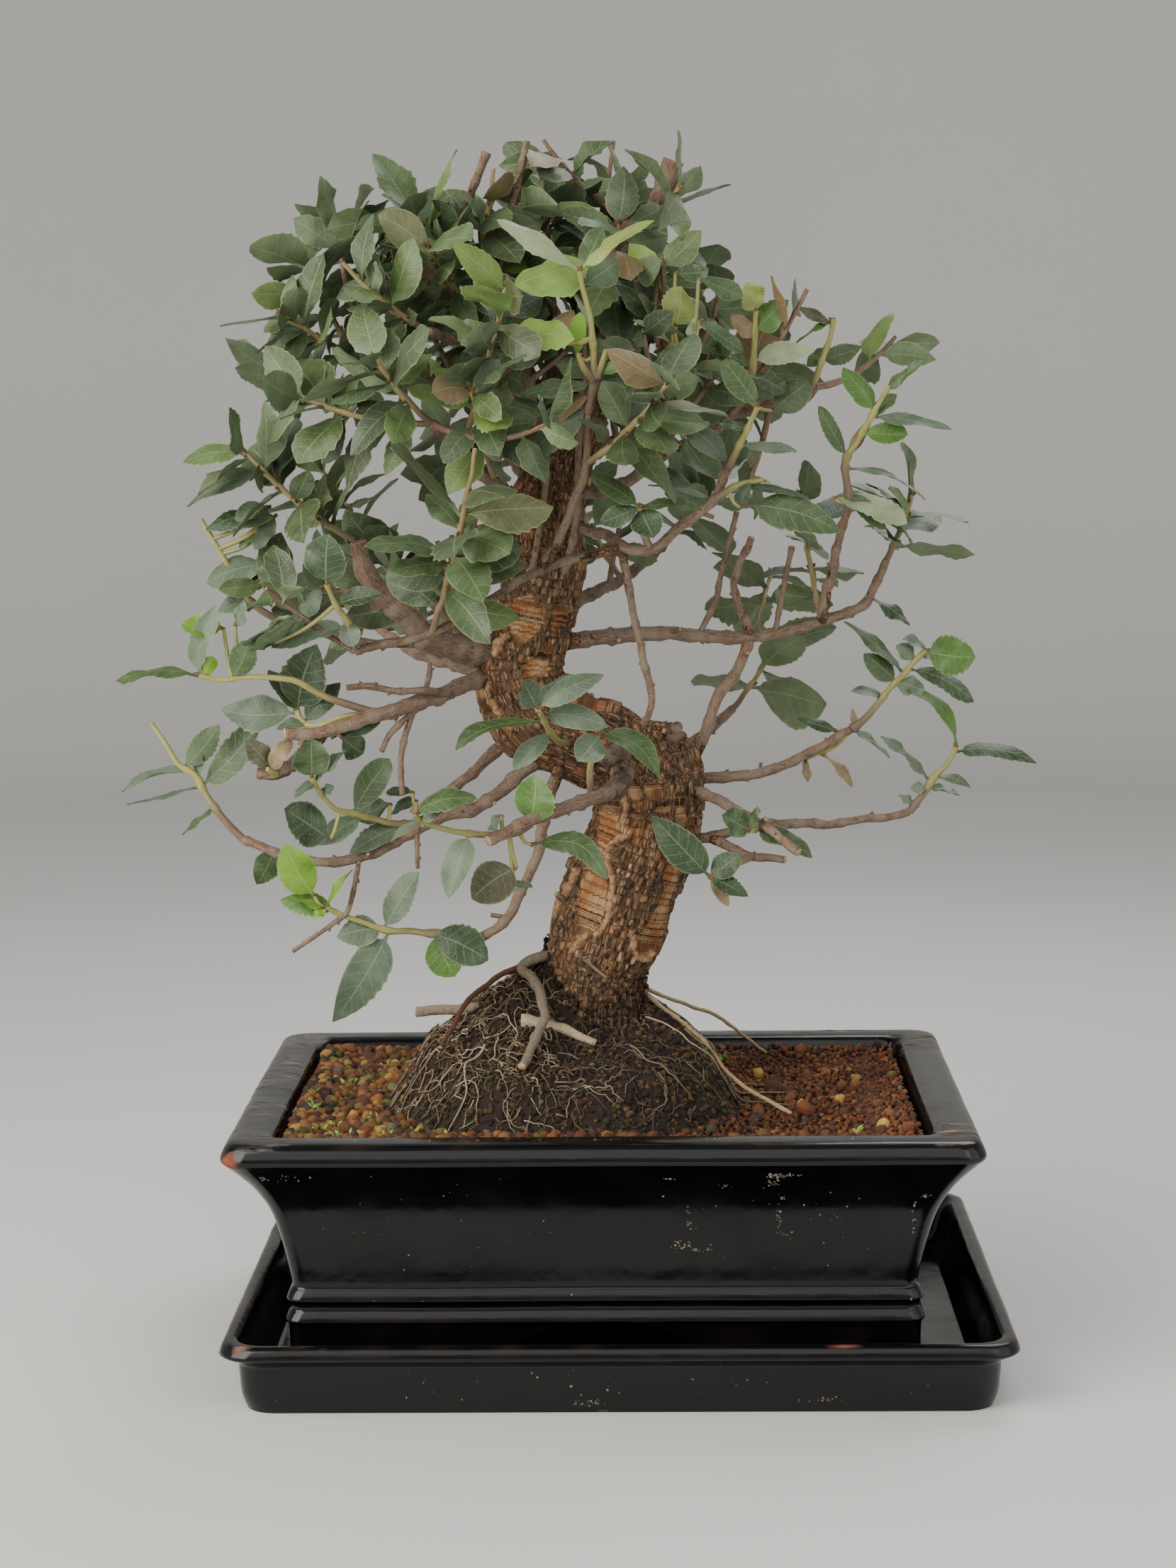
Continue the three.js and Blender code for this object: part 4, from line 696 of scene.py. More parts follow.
def leaf_face(name, is_upper):
    """One face of a leathery leaf, with a pale midrib: waxy and dusty above, felted and matt below."""
    add = new_material(name)
    blade = add("Attribute", attribute_name="blade").outputs["Vector"]
    place = add("TexCoord").outputs["Object"]
    parts = add("SeparateXYZ", {"Vector": blade})
    tint = add("Attribute", attribute_name="tint" if is_upper else "tint_below").outputs["Color"]
    across = add("Math", {0: parts.outputs["Y"]}, operation="ABSOLUTE")
    # Seven pairs of side veins run forward from the midrib
    forward = add("Math", {0: across, 1: -0.16, 2: parts.outputs["X"]}, operation="MULTIPLY_ADD")
    waves = add("Math", {0: forward, 1: 46.0}, operation="MULTIPLY")
    waves = add("Math", {0: waves}, operation="SINE")
    side = add("MapRange", {"Value": waves, "From Min": 0.93, "From Max": 1, "To Max": 0.4})
    rib = add(
        "MapRange", {"Value": across, "From Min": 0.015, "From Max": 0.05, "To Min": 0.75, "To Max": 0})
    veins = add("Math", {0: side, 1: rib}, operation="MAXIMUM")
    # The blade's outer edge is mixed towards pale: a painted highlight along the edge
    rim = add("MapRange", {"Value": across, "From Min": 0.9, "From Max": 1, "To Max": 0.85})
    cloud = add("TexNoise", {"Vector": place, "Scale": 140, "Detail": 4})
    fine = add("TexNoise", {"Vector": place, "Scale": 1300, "Detail": 3})
    net = add("TexVoronoi", {"Vector": place, "Scale": 900}, feature="DISTANCE_TO_EDGE")
    spread = add(
        "MapRange", {"Value": cloud, "From Min": 0.3, "From Max": 0.7, "To Min": 0.75, "To Max": 1.2})
    colour = add("Mix", {0: 1, 6: tint, 7: spread}, data_type="RGBA", blend_type="MULTIPLY")
    pale = add("Mix", {0: 0.4, 6: tint, 7: colour_of(0xb9c48a)}, data_type="RGBA")
    colour = add("Mix", {0: veins, 6: colour, 7: pale}, data_type="RGBA")
    colour = add("Mix", {0: rim, 6: colour, 7: pale}, data_type="RGBA")
    # Grey bloom and dust lie in patches, and a few specks stand out white
    dust = add("MapRange", {"Value": cloud, "From Min": 0.48, "From Max": 0.72, "To Max": 0.14})
    speck = add("MapRange", {"Value": fine, "From Min": 0.62, "From Max": 0.7, "To Max": 0.6})
    dust = add("Math", {0: dust, 1: speck}, operation="MAXIMUM")
    if is_upper:
        colour = add("Mix", {0: dust, 6: colour, 7: colour_of(0x838b7d)}, data_type="RGBA")
    sunk = add("Math", {0: veins, 1: -0.7 if is_upper else 0.9, 2: fine}, operation="MULTIPLY_ADD")
    sunk = add("Math", {0: net, 1: 0.8, 2: sunk}, operation="MULTIPLY_ADD")
    bump = add("Bump", {"Height": sunk, "Strength": 0.35, "Distance": 0.0004})
    rough = add(
        "MapRange", {"Value": fine, "To Min": 0.3 if is_upper else 0.6, "To Max": 0.56 if is_upper else 0.8})
    shader = add("BsdfPrincipled", {"Base Color": colour, "Roughness": rough, "Normal": bump})
    add("OutputMaterial", {"Surface": shader})


def young_stem_green():
    """This year's stems: smooth, olive to tan, ribbed along their length."""
    add = new_material("young_stem_green")
    grain = add("Attribute", attribute_name="grain").outputs["Vector"]
    tint = add("Attribute", attribute_name="tint").outputs["Color"]
    ribs = add("Mapping", {"Vector": grain, "Scale": (2.2, 2.2, 0.2)})
    ribs = add("TexNoise", {"Vector": ribs, "Scale": 1, "Detail": 4})
    spread = add(
        "MapRange", {"Value": ribs, "From Min": 0.3, "From Max": 0.7, "To Min": 0.7, "To Max": 1.25})
    colour = add("Mix", {0: 1, 6: tint, 7: spread}, data_type="RGBA", blend_type="MULTIPLY")
    bump = add("Bump", {"Height": ribs, "Strength": 0.4, "Distance": 0.0002})
    shader = add("BsdfPrincipled", {"Base Color": colour, "Roughness": 0.55, "Normal": bump})
    add("OutputMaterial", {"Surface": shader})


def crumbly(name, roughness, scale, depth):
    """Dry earth in its own tint: mottled and rough, with a bump of the given scale per metre."""
    add = new_material(name)
    place = add("TexCoord").outputs["Object"]
    tint = add("Attribute", attribute_name="tint").outputs["Color"]
    lumps = add("TexNoise", {"Vector": place, "Scale": scale, "Detail": 6, "Roughness": 0.7})
    spread = add(
        "MapRange", {"Value": lumps, "From Min": 0.3, "From Max": 0.7, "To Min": 0.55, "To Max": 1.4})
    colour = add("Mix", {0: 1, 6: tint, 7: spread}, data_type="RGBA", blend_type="MULTIPLY")
    bump = add("Bump", {"Height": lumps, "Strength": 0.9, "Distance": depth})
    shader = add("BsdfPrincipled", {"Base Color": colour, "Roughness": roughness, "Normal": bump})
    add("OutputMaterial", {"Surface": shader})


def polyethylene_moulded():
    """Black mesh moulded from polyethylene, a little waxy."""
    add = new_material("polyethylene_moulded")
    place = add("TexCoord").outputs["Object"]
    skin = add("TexNoise", {"Vector": place, "Scale": 700, "Detail": 3})
    rough = add("MapRange", {"Value": skin, "To Min": 0.45, "To Max": 0.7})
    bump = add("Bump", {"Height": skin, "Strength": 0.2, "Distance": 0.0002})
    shader = add("BsdfPrincipled", {"Base Color": colour_of(0x22241f), "Roughness": rough, "Normal": bump,
        "IOR": 1.51})
    add("OutputMaterial", {"Surface": shader})


def paper_backdrop():
    """Matt pale studio paper."""
    add = new_material("paper_backdrop")
    place = add("TexCoord").outputs["Object"]
    cloud = add("TexNoise", {"Vector": place, "Scale": 3, "Detail": 2})
    colour = add("Mix", {0: cloud, 6: colour_of(0xe0dfdc), 7: colour_of(0xe6e5e2)}, data_type="RGBA")
    shader = add("BsdfPrincipled", {"Base Color": colour, "Roughness": 0.9})
    add("OutputMaterial", {"Surface": shader})


def make_materials(pot, tree):
    black_glaze_dipped(pot)
    cork_bark_weathered(tree)
    limb_bark_thin()
    wood_cut_dry()
    leaf_face("leaf_upper_waxy", True)
    leaf_face("leaf_underside_felted", False)
    young_stem_green()
    # Akadama: baked clay grains, rough as brick, with a bump of a third of a millimetre
    crumbly("akadama_baked", 0.95, 1400, 0.0004)
    # Peat: matted dark fibres and crumbs that scatter little light
    crumbly("peat_matted", 1.0, 1100, 0.0006)
    # Roots: dry bark in flakes on the thick ones, smooth and pale on the fine ones
    crumbly("root_bark_dry", 0.8, 900, 0.0003)
    # Lime: a dried crust left by hard water, matt and finely grained
    crumbly("lime_crust_dried", 0.9, 2200, 0.0002)
    polyethylene_moulded()
    paper_backdrop()


# Pot and saucer

def rounded(profile, passes=2, is_closed=False):
    """An outline with its corners cut again and again, so that they turn in small steps."""
    points = np.array(profile, float)
    for _ in range(passes):
        following = np.roll(points, -1, 0)
        cut = np.stack(
            [points * 0.78 + following * 0.22, points * 0.22 + following * 0.78], 1).reshape(-1, 2)
        points = cut if is_closed else np.vstack([points[:1], cut[1:-3], points[-1:]])
    return points


def rectangle_ring(half_length, half_depth, corner, z, steps=7, spacing=7.0):
    """Points round a rectangle with round corners, as many for every ring of the pot."""
    points = []
    sides = ((1, 1), (-1, 1), (-1, -1), (1, -1))
    for quarter, (side_x, side_y) in enumerate(sides):
        for step in range(steps + 1):
            angle = (quarter + step / steps) * math.pi / 2
            points.append((side_x * (half_length - corner) + corner * math.cos(angle),
                           side_y * (half_depth - corner) + corner * math.sin(angle), z))
        next_x, next_y = sides[(quarter + 1) % 4]
        angle = (quarter + 1) * math.pi / 2
        start = np.array(points[-1])
        end = np.array((next_x * (half_length - corner) + corner * math.cos(angle),
                        next_y * (half_depth - corner) + corner * math.sin(angle), z))
        count = round((POT_LENGTH if quarter % 2 == 0 else POT_DEPTH) / spacing)
        points.extend(start + (end - start) * i / count for i in range(1, count))
    return np.array(points)


def turned_wall(profile, length, depth, corner):
    """Points and faces of a closed wall: an outline of heights and insets, carried round a rectangle."""
    rings = [rectangle_ring(length / 2 - inset, depth / 2 - inset, max(corner - inset / 6, 3), z)
             for z, inset in profile]
    sides = len(rings[0])
    points = np.vstack(rings)
    return points, ring_faces(len(rings), sides)


def glaze_wobble(points, reach, salt):
    """Hand pressed walls wander from true, but not where the piece stands."""
    outward = points * (1, 1, 0)
    outward = units(outward / (POT_LENGTH / 2, POT_DEPTH / 2, 1))
    lift = smooth(1, 12, points[:, 2])
    sway = noise(points, 70, salt) + 0.5 * noise(points, 24, salt + 5)
    rise = noise(points, 60, salt + 9)
    moved = points + outward * (reach * sway * lift)[:, None]
    moved[:, 2] += reach * 0.8 * rise * smooth(18, 24, points[:, 2])
    return moved


def solid_piece(points, faces):
    return in_scene("solid", mesh_of("solid", points, faces))


def evaluated_mesh(made):
    """The object's mesh with its modifiers applied. The object itself is removed."""
    view = bpy.context.evaluated_depsgraph_get()
    mesh = bpy.data.meshes.new_from_object(made.evaluated_get(view))
    for extra in [made, *(m.object for m in made.modifiers if m.type == "BOOLEAN")]:
        bpy.data.objects.remove(extra)
    return mesh


def points_of(mesh):
    return vectors_of(mesh.vertices, "co") / MM


def glazed(name, mesh, wear, replaces):
    set_vectors(mesh, "wear", wear)
    dress(mesh, "black_glaze_dipped")
    made = placed(name, mesh, replaces)
    made.modifiers.new("crisp_edges", "EDGE_SPLIT").split_angle = math.radians(50)
    mesh.update()
    return made


def patch(points, place, reach):
    """1 at a place, falling to 0 at the reach, with a ragged edge."""
    away = np.linalg.norm(points - place, axis=1) + 1.2 * noise(points, 2.2, 31)
    return 1 - smooth(reach * 0.7, reach, away)


def make_pot(settings):
    points, faces = turned_wall(rounded(POT_OUTSIDE + POT_INSIDE), POT_LENGTH, POT_DEPTH, POT_CORNER)
    body = solid_piece(glaze_wobble(points, settings.wobble / MM, 3), faces)
    foot_length = POT_LENGTH / 2 - POT_OUTSIDE[0][1]
    foot_depth = POT_DEPTH / 2 - POT_OUTSIDE[0][1]
    cutters = []
    recess = [rectangle_ring(foot_length - FOOT_BAND, foot_depth - FOOT_BAND, 4, z, 4, 60)
              for z in (POT_FOOT - 2, POT_FLOOR_UNDER)]
    cutters.append(solid_piece(np.vstack(recess), ring_faces(2, len(recess[0]))))
    arch = [(half, z) for z, half in ARCH_HALF_WIDTHS]
    arch = rounded(arch + [(-half, z) for half, z in reversed(arch)], 1, True)
    for side in (-1, 1):
        for is_end in (False, True):
            reach = (foot_length if is_end else foot_depth) - FOOT_BAND / 2
            rings = []
            for out in (reach - FOOT_BAND, reach + FOOT_BAND):
                flat = [(side * out, x, z) if is_end else (x, side * out, z) for x, z in arch]
                rings.append(flat)
            cutters.append(solid_piece(np.vstack(rings), ring_faces(2, len(arch))))
        turn = turns(28)
        drain_x = side * DRAIN_REACH + DRAIN_RADIUS * np.cos(turn)
        drain = [np.stack([drain_x, DRAIN_RADIUS * np.sin(turn), 0 * turn + z], 1)
                 for z in (POT_FLOOR_UNDER - 6, POT_FLOOR + 6)]
        cutters.append(solid_piece(np.vstack(drain), ring_faces(2, 28)))
    for cutter in cutters:
        cut = body.modifiers.new("cut", "BOOLEAN")
        cut.object = cutter
        cut.operation = "DIFFERENCE"
        cut.solver = "EXACT"
    mesh = evaluated_mesh(body)
    mesh.transform(Matrix.Translation((POT_SHIFT * MM, 0, 0)))
    places = points_of(mesh)
    left = POT_SHIFT - POT_LENGTH / 2
    front = -POT_DEPTH / 2
    chip = patch(places, (left + 2.5, front + 1.5, 87), 4.6)
    chip = np.maximum(chip, patch(places, (left + 1, front + 4, 89.5), 2.4))
    lip = smooth(86, 92, places[:, 2])
    rim = np.abs(places[:, 0] - POT_SHIFT) - (POT_LENGTH / 2 - 16)
    corner = smooth(62, 74, np.abs(places[:, 1])) * smooth(-6, 0, rim)
    dust = lip * (0.3 + 0.5 * corner + 0.35 * smooth(-90, -105, places[:, 0]))
    dust = np.maximum(dust, 0.25 * smooth(0.2, 0.5, noise(places, 30, 12)))
    edges = smooth(90.5, 92.5, places[:, 2]) + smooth(30, 25, places[:, 2]) * 0.4
    thin = 0.6 * smooth(0.1, 0.6, noise(places, 9, 44)) * edges
    return glazed("pot_glazed", mesh, np.stack([dust, chip, thin], 1), ["pot"])


def make_saucer(settings):
    points, faces = turned_wall(
        rounded(SAUCER_OUTSIDE + SAUCER_INSIDE), SAUCER_LENGTH, SAUCER_DEPTH, SAUCER_CORNER)
    body = solid_piece(glaze_wobble(points, settings.wobble / MM, 61), faces)
    mesh = evaluated_mesh(body)
    places = points_of(mesh)
    front = -SAUCER_DEPTH / 2
    chip = patch(places, (-127, front + 3, 24.5), 2.6)
    chip = np.maximum(chip, patch(places, (76, front + 2.5, 25), 1.5))
    high = smooth(20, 24.5, places[:, 2])
    left = smooth(-60, -130, places[:, 0])
    dust = high * (0.35 + 0.5 * left) + 0.3 * smooth(0.2, 0.6, noise(places, 26, 19))
    dust = dust + 0.5 * smooth(4, 0.5, places[:, 2])
    thin = 0.7 * smooth(0.0, 0.6, noise(places, 12, 71)) * smooth(23, 25, places[:, 2])
    return glazed("saucer_glazed", mesh, np.stack([dust, chip, thin], 1), ["saucer"])


# Lime on the front of pot and saucer: x, z, half width and half height of a patch, and how many flecks it has
LIME_PATCHES = [
    (55, 85, 4, 1.8, 70), (53, 79, 2.5, 3, 22), (56, 69.5, 0.8, 1.2, 14), (55, 61, 0.8, 6, 16),
    (57, 55, 3, 1, 12), (36, 77, 3, 1.5, 12), (24, 64, 1.5, 1.2, 8), (24, 59, 1, 0.5, 8),
    (21, 51, 4, 2, 34), (29, 49, 5, 1.2, 18), (17, 82.3, 2.4, 0.3, 18), (104, 70, 1.6, 1, 14),
    (101, 62, 0.6, 6, 16), (99, 26, 3, 1.6, 26), (86, 26.5, 14, 0.8, 60), (102, 30, 0.8, 4, 22),
    (77, 28.5, 6, 0.5, 20), (-60, 60, 50, 20, 40), (60, 55, 45, 20, 40), (0, 88, 110, 2, 40),
    (-115, 84, 8, 3, 24), (-20, 12, 110, 6, 40), (-10, 3, 5, 1.2, 30), (70, 4, 8, 1, 20),
]
# Rim areas crossed by fine streaks: from and to in x, from and to in y, and how many
LIME_STREAKS = [(106, 124, -88, -66, 34), (104, 122, 56, 84, 26), (-134, -118, -90, 80, 46),
    (-112, 96, 84, 94, 16)]
# In front of the pot's wall and of the saucer's
LIME_DEPTHS = (-88, -99)
LIME_TINTS = (0x8d8a84, 0x6f6c66, 0x5c5a56, 0xa39b88, 0x94825c, 0x4a4946)


def make_lime(pieces):
    """Flecks and fine streaks of dried lime, each lying on the glaze."""
    draws = np.random.default_rng(64)
    meshes = [piece.data for piece in pieces]
    trees = [BVHTree.FromPolygons([v.co for v in m.vertices],
        [p.vertices for p in m.polygons]) for m in meshes]

    def on_glaze(place):
        found = [tree.find_nearest(Vector(place) * MM) for tree in trees]
        where, out, _, _ = min(found, key=lambda hit: hit[3])
        return np.array(where) / MM, np.array(out)

    places = []
    for x, z, half_width, half_height, count in LIME_PATCHES:
        for _ in range(count):
            fleck_x = x + half_width * draws.normal() * 0.6
            fleck_z = z + half_height * draws.normal() * 0.6
            places.append(on_glaze((fleck_x, LIME_DEPTHS[z < 20], fleck_z))[0])
    sizes = draws.uniform(0.25, 0.8, len(places)) * draws.uniform(0.5, 1.4, len(places))
    tints = palette(draws, LIME_TINTS, len(places))
    grains("lime_flecks", np.array(places), sizes, tints, 0, draws, "lime_crust_dried", "black_glaze")

    shape = Shape()
    for x0, x1, y0, y1, count in LIME_STREAKS:
        for _ in range(count):
            middle = draws.uniform((x0, y0), (x1, y1))
            half = draws.uniform(0.12, 0.5) * (x1 - x0) if x1 - x0 < 40 else draws.uniform(2, 6)
            shares = np.linspace(-1, 1, 7)
            bend = [middle[1] - draws.uniform(0.2, 0.5) * s - 0.9 * s * s for s in shares]
            seats = [on_glaze((middle[0] + half * s, y, POT_TOP)) for s, y in zip(shares, bend)]
            points = np.array([where + out * 0.02 for where, out in seats])
            rings, _, _ = tube(points, draws.uniform(0.07, 0.2) * (1.05 - np.abs(shares)), 5)
            tint = palette(draws, LIME_TINTS, 1)[0] * draws.uniform(0.5, 1.1)
            shape.add(rings, ring_faces(7, 5), tint=tint)
    shape.piece("lime_streaks", ["lime_crust_dried"], "black_glaze")


def dress_screens():
    for name in ("drainage_screen_left", "drainage_screen_right"):
        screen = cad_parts[name]
        screen.data.materials.clear()
        screen.data.materials.append(bpy.data.materials["polyethylene_moulded"])


# Substrate and root ball

AKADAMA = (0x8b5130, 0x7a452a, 0x94603a, 0x6e4a35, 0x5d4434, 0x9c6b3a)
OCHRE = (0xb48a3c, 0xc09a4e, 0xa3853f)
GREY = (0x6f675c, 0x85786a, 0x554e46)
MOSSY = (0x5f6231, 0x74743a, 0x4c4c2c)
COARSE_SPACING = 3.3
FINE_SPACING = 2.1
PEAT_CRUMBS = 4300
CLINGING_CRUMBS = 620


def mound_centre(share):
    inward = (1 - share) / (1 - MOUND_TOP[2])
    return [foot + (top - foot) * inward for foot, top in zip(MOUND_FOOT[:2], MOUND_TOP[:2])]


def mound_places(share, angle):
    """Places of the root ball in plan, from how far out they lie and at what angle."""
    centre_x, centre_y = mound_centre(share)
    return centre_x + MOUND_FOOT[2] * share * np.cos(angle), centre_y + MOUND_FOOT[3] * share * np.sin(angle)


def mound_top(angle):
    return 128 - 8 * np.cos(angle) + 8 * np.sin(angle) + 9 * np.cos(angle) ** 2


def mound_height(x, y):
    """The root ball's height over each place, and how far out on the mound it lies (1 is its foot)."""
    x = np.asarray(x, float)
    y = np.asarray(y, float)
    share = np.ones_like(x)
    for _ in range(12):
        centre_x, centre_y = mound_centre(np.minimum(1, share))
        dx = (x - centre_x) / MOUND_FOOT[2]
        dy = (y - centre_y) / MOUND_FOOT[3]
        share = np.maximum(MOUND_TOP[2], np.hypot(dx, dy))
    rise = np.interp(-share, [-place for place, _ in MOUND_SLOPE], [up for _, up in MOUND_SLOPE])
    return SOIL_TOP + (mound_top(np.arctan2(dy, dx)) - SOIL_TOP) * np.where(share >= 1, 0, rise), share


def ball_mesh(detail):
    """A unit ball of triangles: 20 faces, or 80 with one split."""
    golden = (1 + 5**0.5) / 2
    points = []
    for a in (-1, 1):
        for b in (-golden, golden):
            points += [(a, b, 0), (0, a, b), (b, 0, a)]
    points = [unit(np.array(p)) for p in points]
    faces = []
    for i in range(12):
        for j in range(i + 1, 12):
            for k in range(j + 1, 12):
                sides = [np.linalg.norm(points[a] - points[b]) for a, b in ((i, j), (j, k), (i, k))]
                if max(sides) < 1.1:
                    out = np.cross(points[j] - points[i], points[k] - points[i]).dot(points[i])
                    faces.append((i, j, k) if out > 0 else (i, k, j))
    for _ in range(detail):
        split = []
        middles = {}
        for a, b, c in faces:
            corners = []
            for pair in ((a, b), (b, c), (c, a)):
                key = tuple(sorted(pair))
                if key not in middles:
                    middles[key] = len(points)
                    points.append(unit(points[key[0]] + points[key[1]]))
                corners.append(middles[key])
            ab, bc, ca = corners
            split += [(a, ab, ca), (b, bc, ab), (c, ca, bc), (ab, bc, ca)]
        faces = split
    return np.array(points), np.array(faces)


def random_turns(draws, count):
    """Rotation matrices that turn a grain any way."""
    quaternions = units(draws.normal(size=(count, 4)))
    w, x, y, z = quaternions.T
    return np.stack([
        1 - 2 * (y * y + z * z), 2 * (x * y - z * w), 2 * (x * z + y * w),
        2 * (x * y + z * w), 1 - 2 * (x * x + z * z), 2 * (y * z - x * w),
        2 * (x * z - y * w), 2 * (y * z + x * w), 1 - 2 * (x * x + y * y)], -1).reshape(count, 3, 3)


def grains(name, places, sizes, tints, detail, draws, material, slot):
    """One piece of many knobbly grains, each with its own size, turn and tint."""
    ball, faces = ball_mesh(detail)
    count = len(places)
    knobs = 1 + 0.16 * draws.normal(size=(count, len(ball), 1)).clip(-1.6, 1.6)
    stretch = draws.uniform(0.72, 1.2, (count, 1, 3))
    points = ball[None] * knobs * stretch * (np.asarray(sizes) / 2)[:, None, None]
    points = np.einsum("nij,nkj->nki", random_turns(draws, count), points) + np.asarray(places)[:, None]
    corners = (faces[None] + (np.arange(count) * len(ball))[:, None, None]).reshape(-1, 3)
    shape = Shape()
    shape.add(points.reshape(-1, 3), corners.tolist(), tint=np.repeat(np.asarray(tints), len(ball), 0))
    return shape.piece(name, [material], slot)


def palette(draws, hexes, count):
    colours = np.array([tint_of(value) for value in hexes])
    picked = colours[draws.integers(0, len(colours), count)]
    return picked * draws.uniform(0.75, 1.2, (count, 1))


def soil_half(inset=19):
    return POT_LENGTH / 2 - inset - GAP, POT_DEPTH / 2 - inset - GAP


def soil_top(x, y):
    """Height of the substrate. It is banked up a little along the pot's walls."""
    half_length, half_depth = soil_half()
    to_wall = np.minimum(half_length - np.abs(x - POT_SHIFT), half_depth - np.abs(y))
    return SOIL_TOP + 0.9 * noise(in_plan(x, y), 26, 8) + 2.2 * smooth(16, 3, to_wall)


def jittered_places(draws, spacing, half_length, half_depth, keep):
    """Places over the soil about a spacing apart, each kept by its own chance."""
    xs, ys = np.meshgrid(
        np.arange(-half_length, half_length, spacing), np.arange(-half_depth, half_depth, spacing))
    x = (xs + draws.uniform(-0.5, 0.5, xs.shape) * spacing).ravel().clip(-half_length, half_length)
    y = (ys + draws.uniform(-0.5, 0.5, ys.shape) * spacing).ravel().clip(-half_depth, half_depth)
    kept = draws.random(len(x)) < keep(x + POT_SHIFT, y)
    return x[kept] + POT_SHIFT, y[kept]


def make_substrate(settings):
    draws = np.random.default_rng(41)
    half_length, half_depth = soil_half()
    shape = Shape()
    sides = [(POT_FLOOR + GAP, 34), (46, 29.2), (66, 24.8), (84, 20.2), (SOIL_TOP - 1.2, 19.2)]
    rings = [rectangle_ring(*soil_half(inset), 8, z, 4, 9) for z, inset in sides]
    for share in (0.96, 0.88, 0.78, 0.66, 0.5, 0.3, 0.1):
        rings.append(rectangle_ring(half_length * share, half_depth * share, 8 * share, 0, 4, 9))
        rings[-1][:, 2] = soil_top(*rings[-1][:, :2].T) - 1.4
    points = np.vstack(rings) + (POT_SHIFT, 0, 0)
    # The bed is darker than the grains on it: painted shade in the gaps between them
    shape.add(points, ring_faces(len(rings), len(rings[0])), tint=tint_of(0x4a2e1e))
    shape.piece("substrate_bed", ["akadama_baked"], "akadama", ["substrate"])

    def open_soil(x, y):
        return (mound_height(x, y)[1] > 0.93).astype(float)

    def coarse(x, y):
        return open_soil(x, y) * (0.06 + 0.62 * smooth(10, -60, x + 0.4 * y))

    x, y = jittered_places(draws, COARSE_SPACING, half_length - 2, half_depth - 2, coarse)
    count = len(x)
    pick = draws.random(count)
    left = smooth(0, -70, x)
    tints = palette(draws, AKADAMA, count)
    for limit, hexes in ((0.3, GREY + MOSSY), (0.2, OCHRE), (0.04, MOSSY)):
        chosen = pick < limit * left + 0.02
        tints[chosen] = palette(draws, hexes, count)[chosen]
    tints = tints * draws.uniform(0.4, 0.95, (count, 1))
    sizes = draws.uniform(1.0, 1.75, count) * settings.grain / MM
    places = np.stack([x, y, soil_top(x, y) + sizes * 0.05], -1)
    grains("substrate_coarse", places, sizes, tints, 1, draws, "akadama_baked", "akadama")

    x, y = jittered_places(draws, FINE_SPACING, half_length - 1, half_depth - 1, open_soil)
    count = len(x)
    right = smooth(-20, 40, x)
    sizes = draws.uniform(0.6, 1.15, count) * (1 - 0.25 * right) * settings.grain / MM
    tints = palette(draws, AKADAMA, count) * (1 + 0.12 * right[:, None] * (1, 0, -0.5))
    pick = draws.random(count)
    for low, hexes in ((0.97, OCHRE), (0.93, MOSSY), (0.88, GREY)):
        chosen = (pick > low) & (draws.random(count) < 1 - 0.7 * right)
        tints[chosen] = palette(draws, hexes, count)[chosen]
    dark = smooth(-0.1, 0.5, noise(in_plan(x, y), 30, 5)) * 0.35
    tints = tints * ((0.72 - 0.12 * right) * (1 - dark))[:, None]
    places = np.stack([x, y, soil_top(x, y) + draws.uniform(-0.9, 0.3, count)], -1)
    grains("substrate_fine", places, sizes, tints, 0, draws, "akadama_baked", "akadama")

    # Ochre lumps on the right
    lumps = [(38, -16, 5.6), (66, -21, 5.0), (67, -31, 6.4), (80, -12, 3.8), (93, -52, 4.2), (52, 30, 4.4),
             (88, 22, 4.0)]
    places = [(x, y, SOIL_TOP + size * 0.25) for x, y, size in lumps]
    tints = palette(draws, OCHRE + AKADAMA[:2], len(lumps))
    grains("ochre_lumps", places, [size for *_, size in lumps], tints, 1, draws, "akadama_baked", "akadama")


def mound_surface(x, y):
    """Height of the finished root ball, with its lumps."""
    height, share = mound_height(x, y)
    place = in_plan(x, y)
    lumps = 1.1 * noise(place, 9, 21) + 0.7 * noise(place, 4, 22)
    return height + lumps * smooth(1.0, 0.9, share)


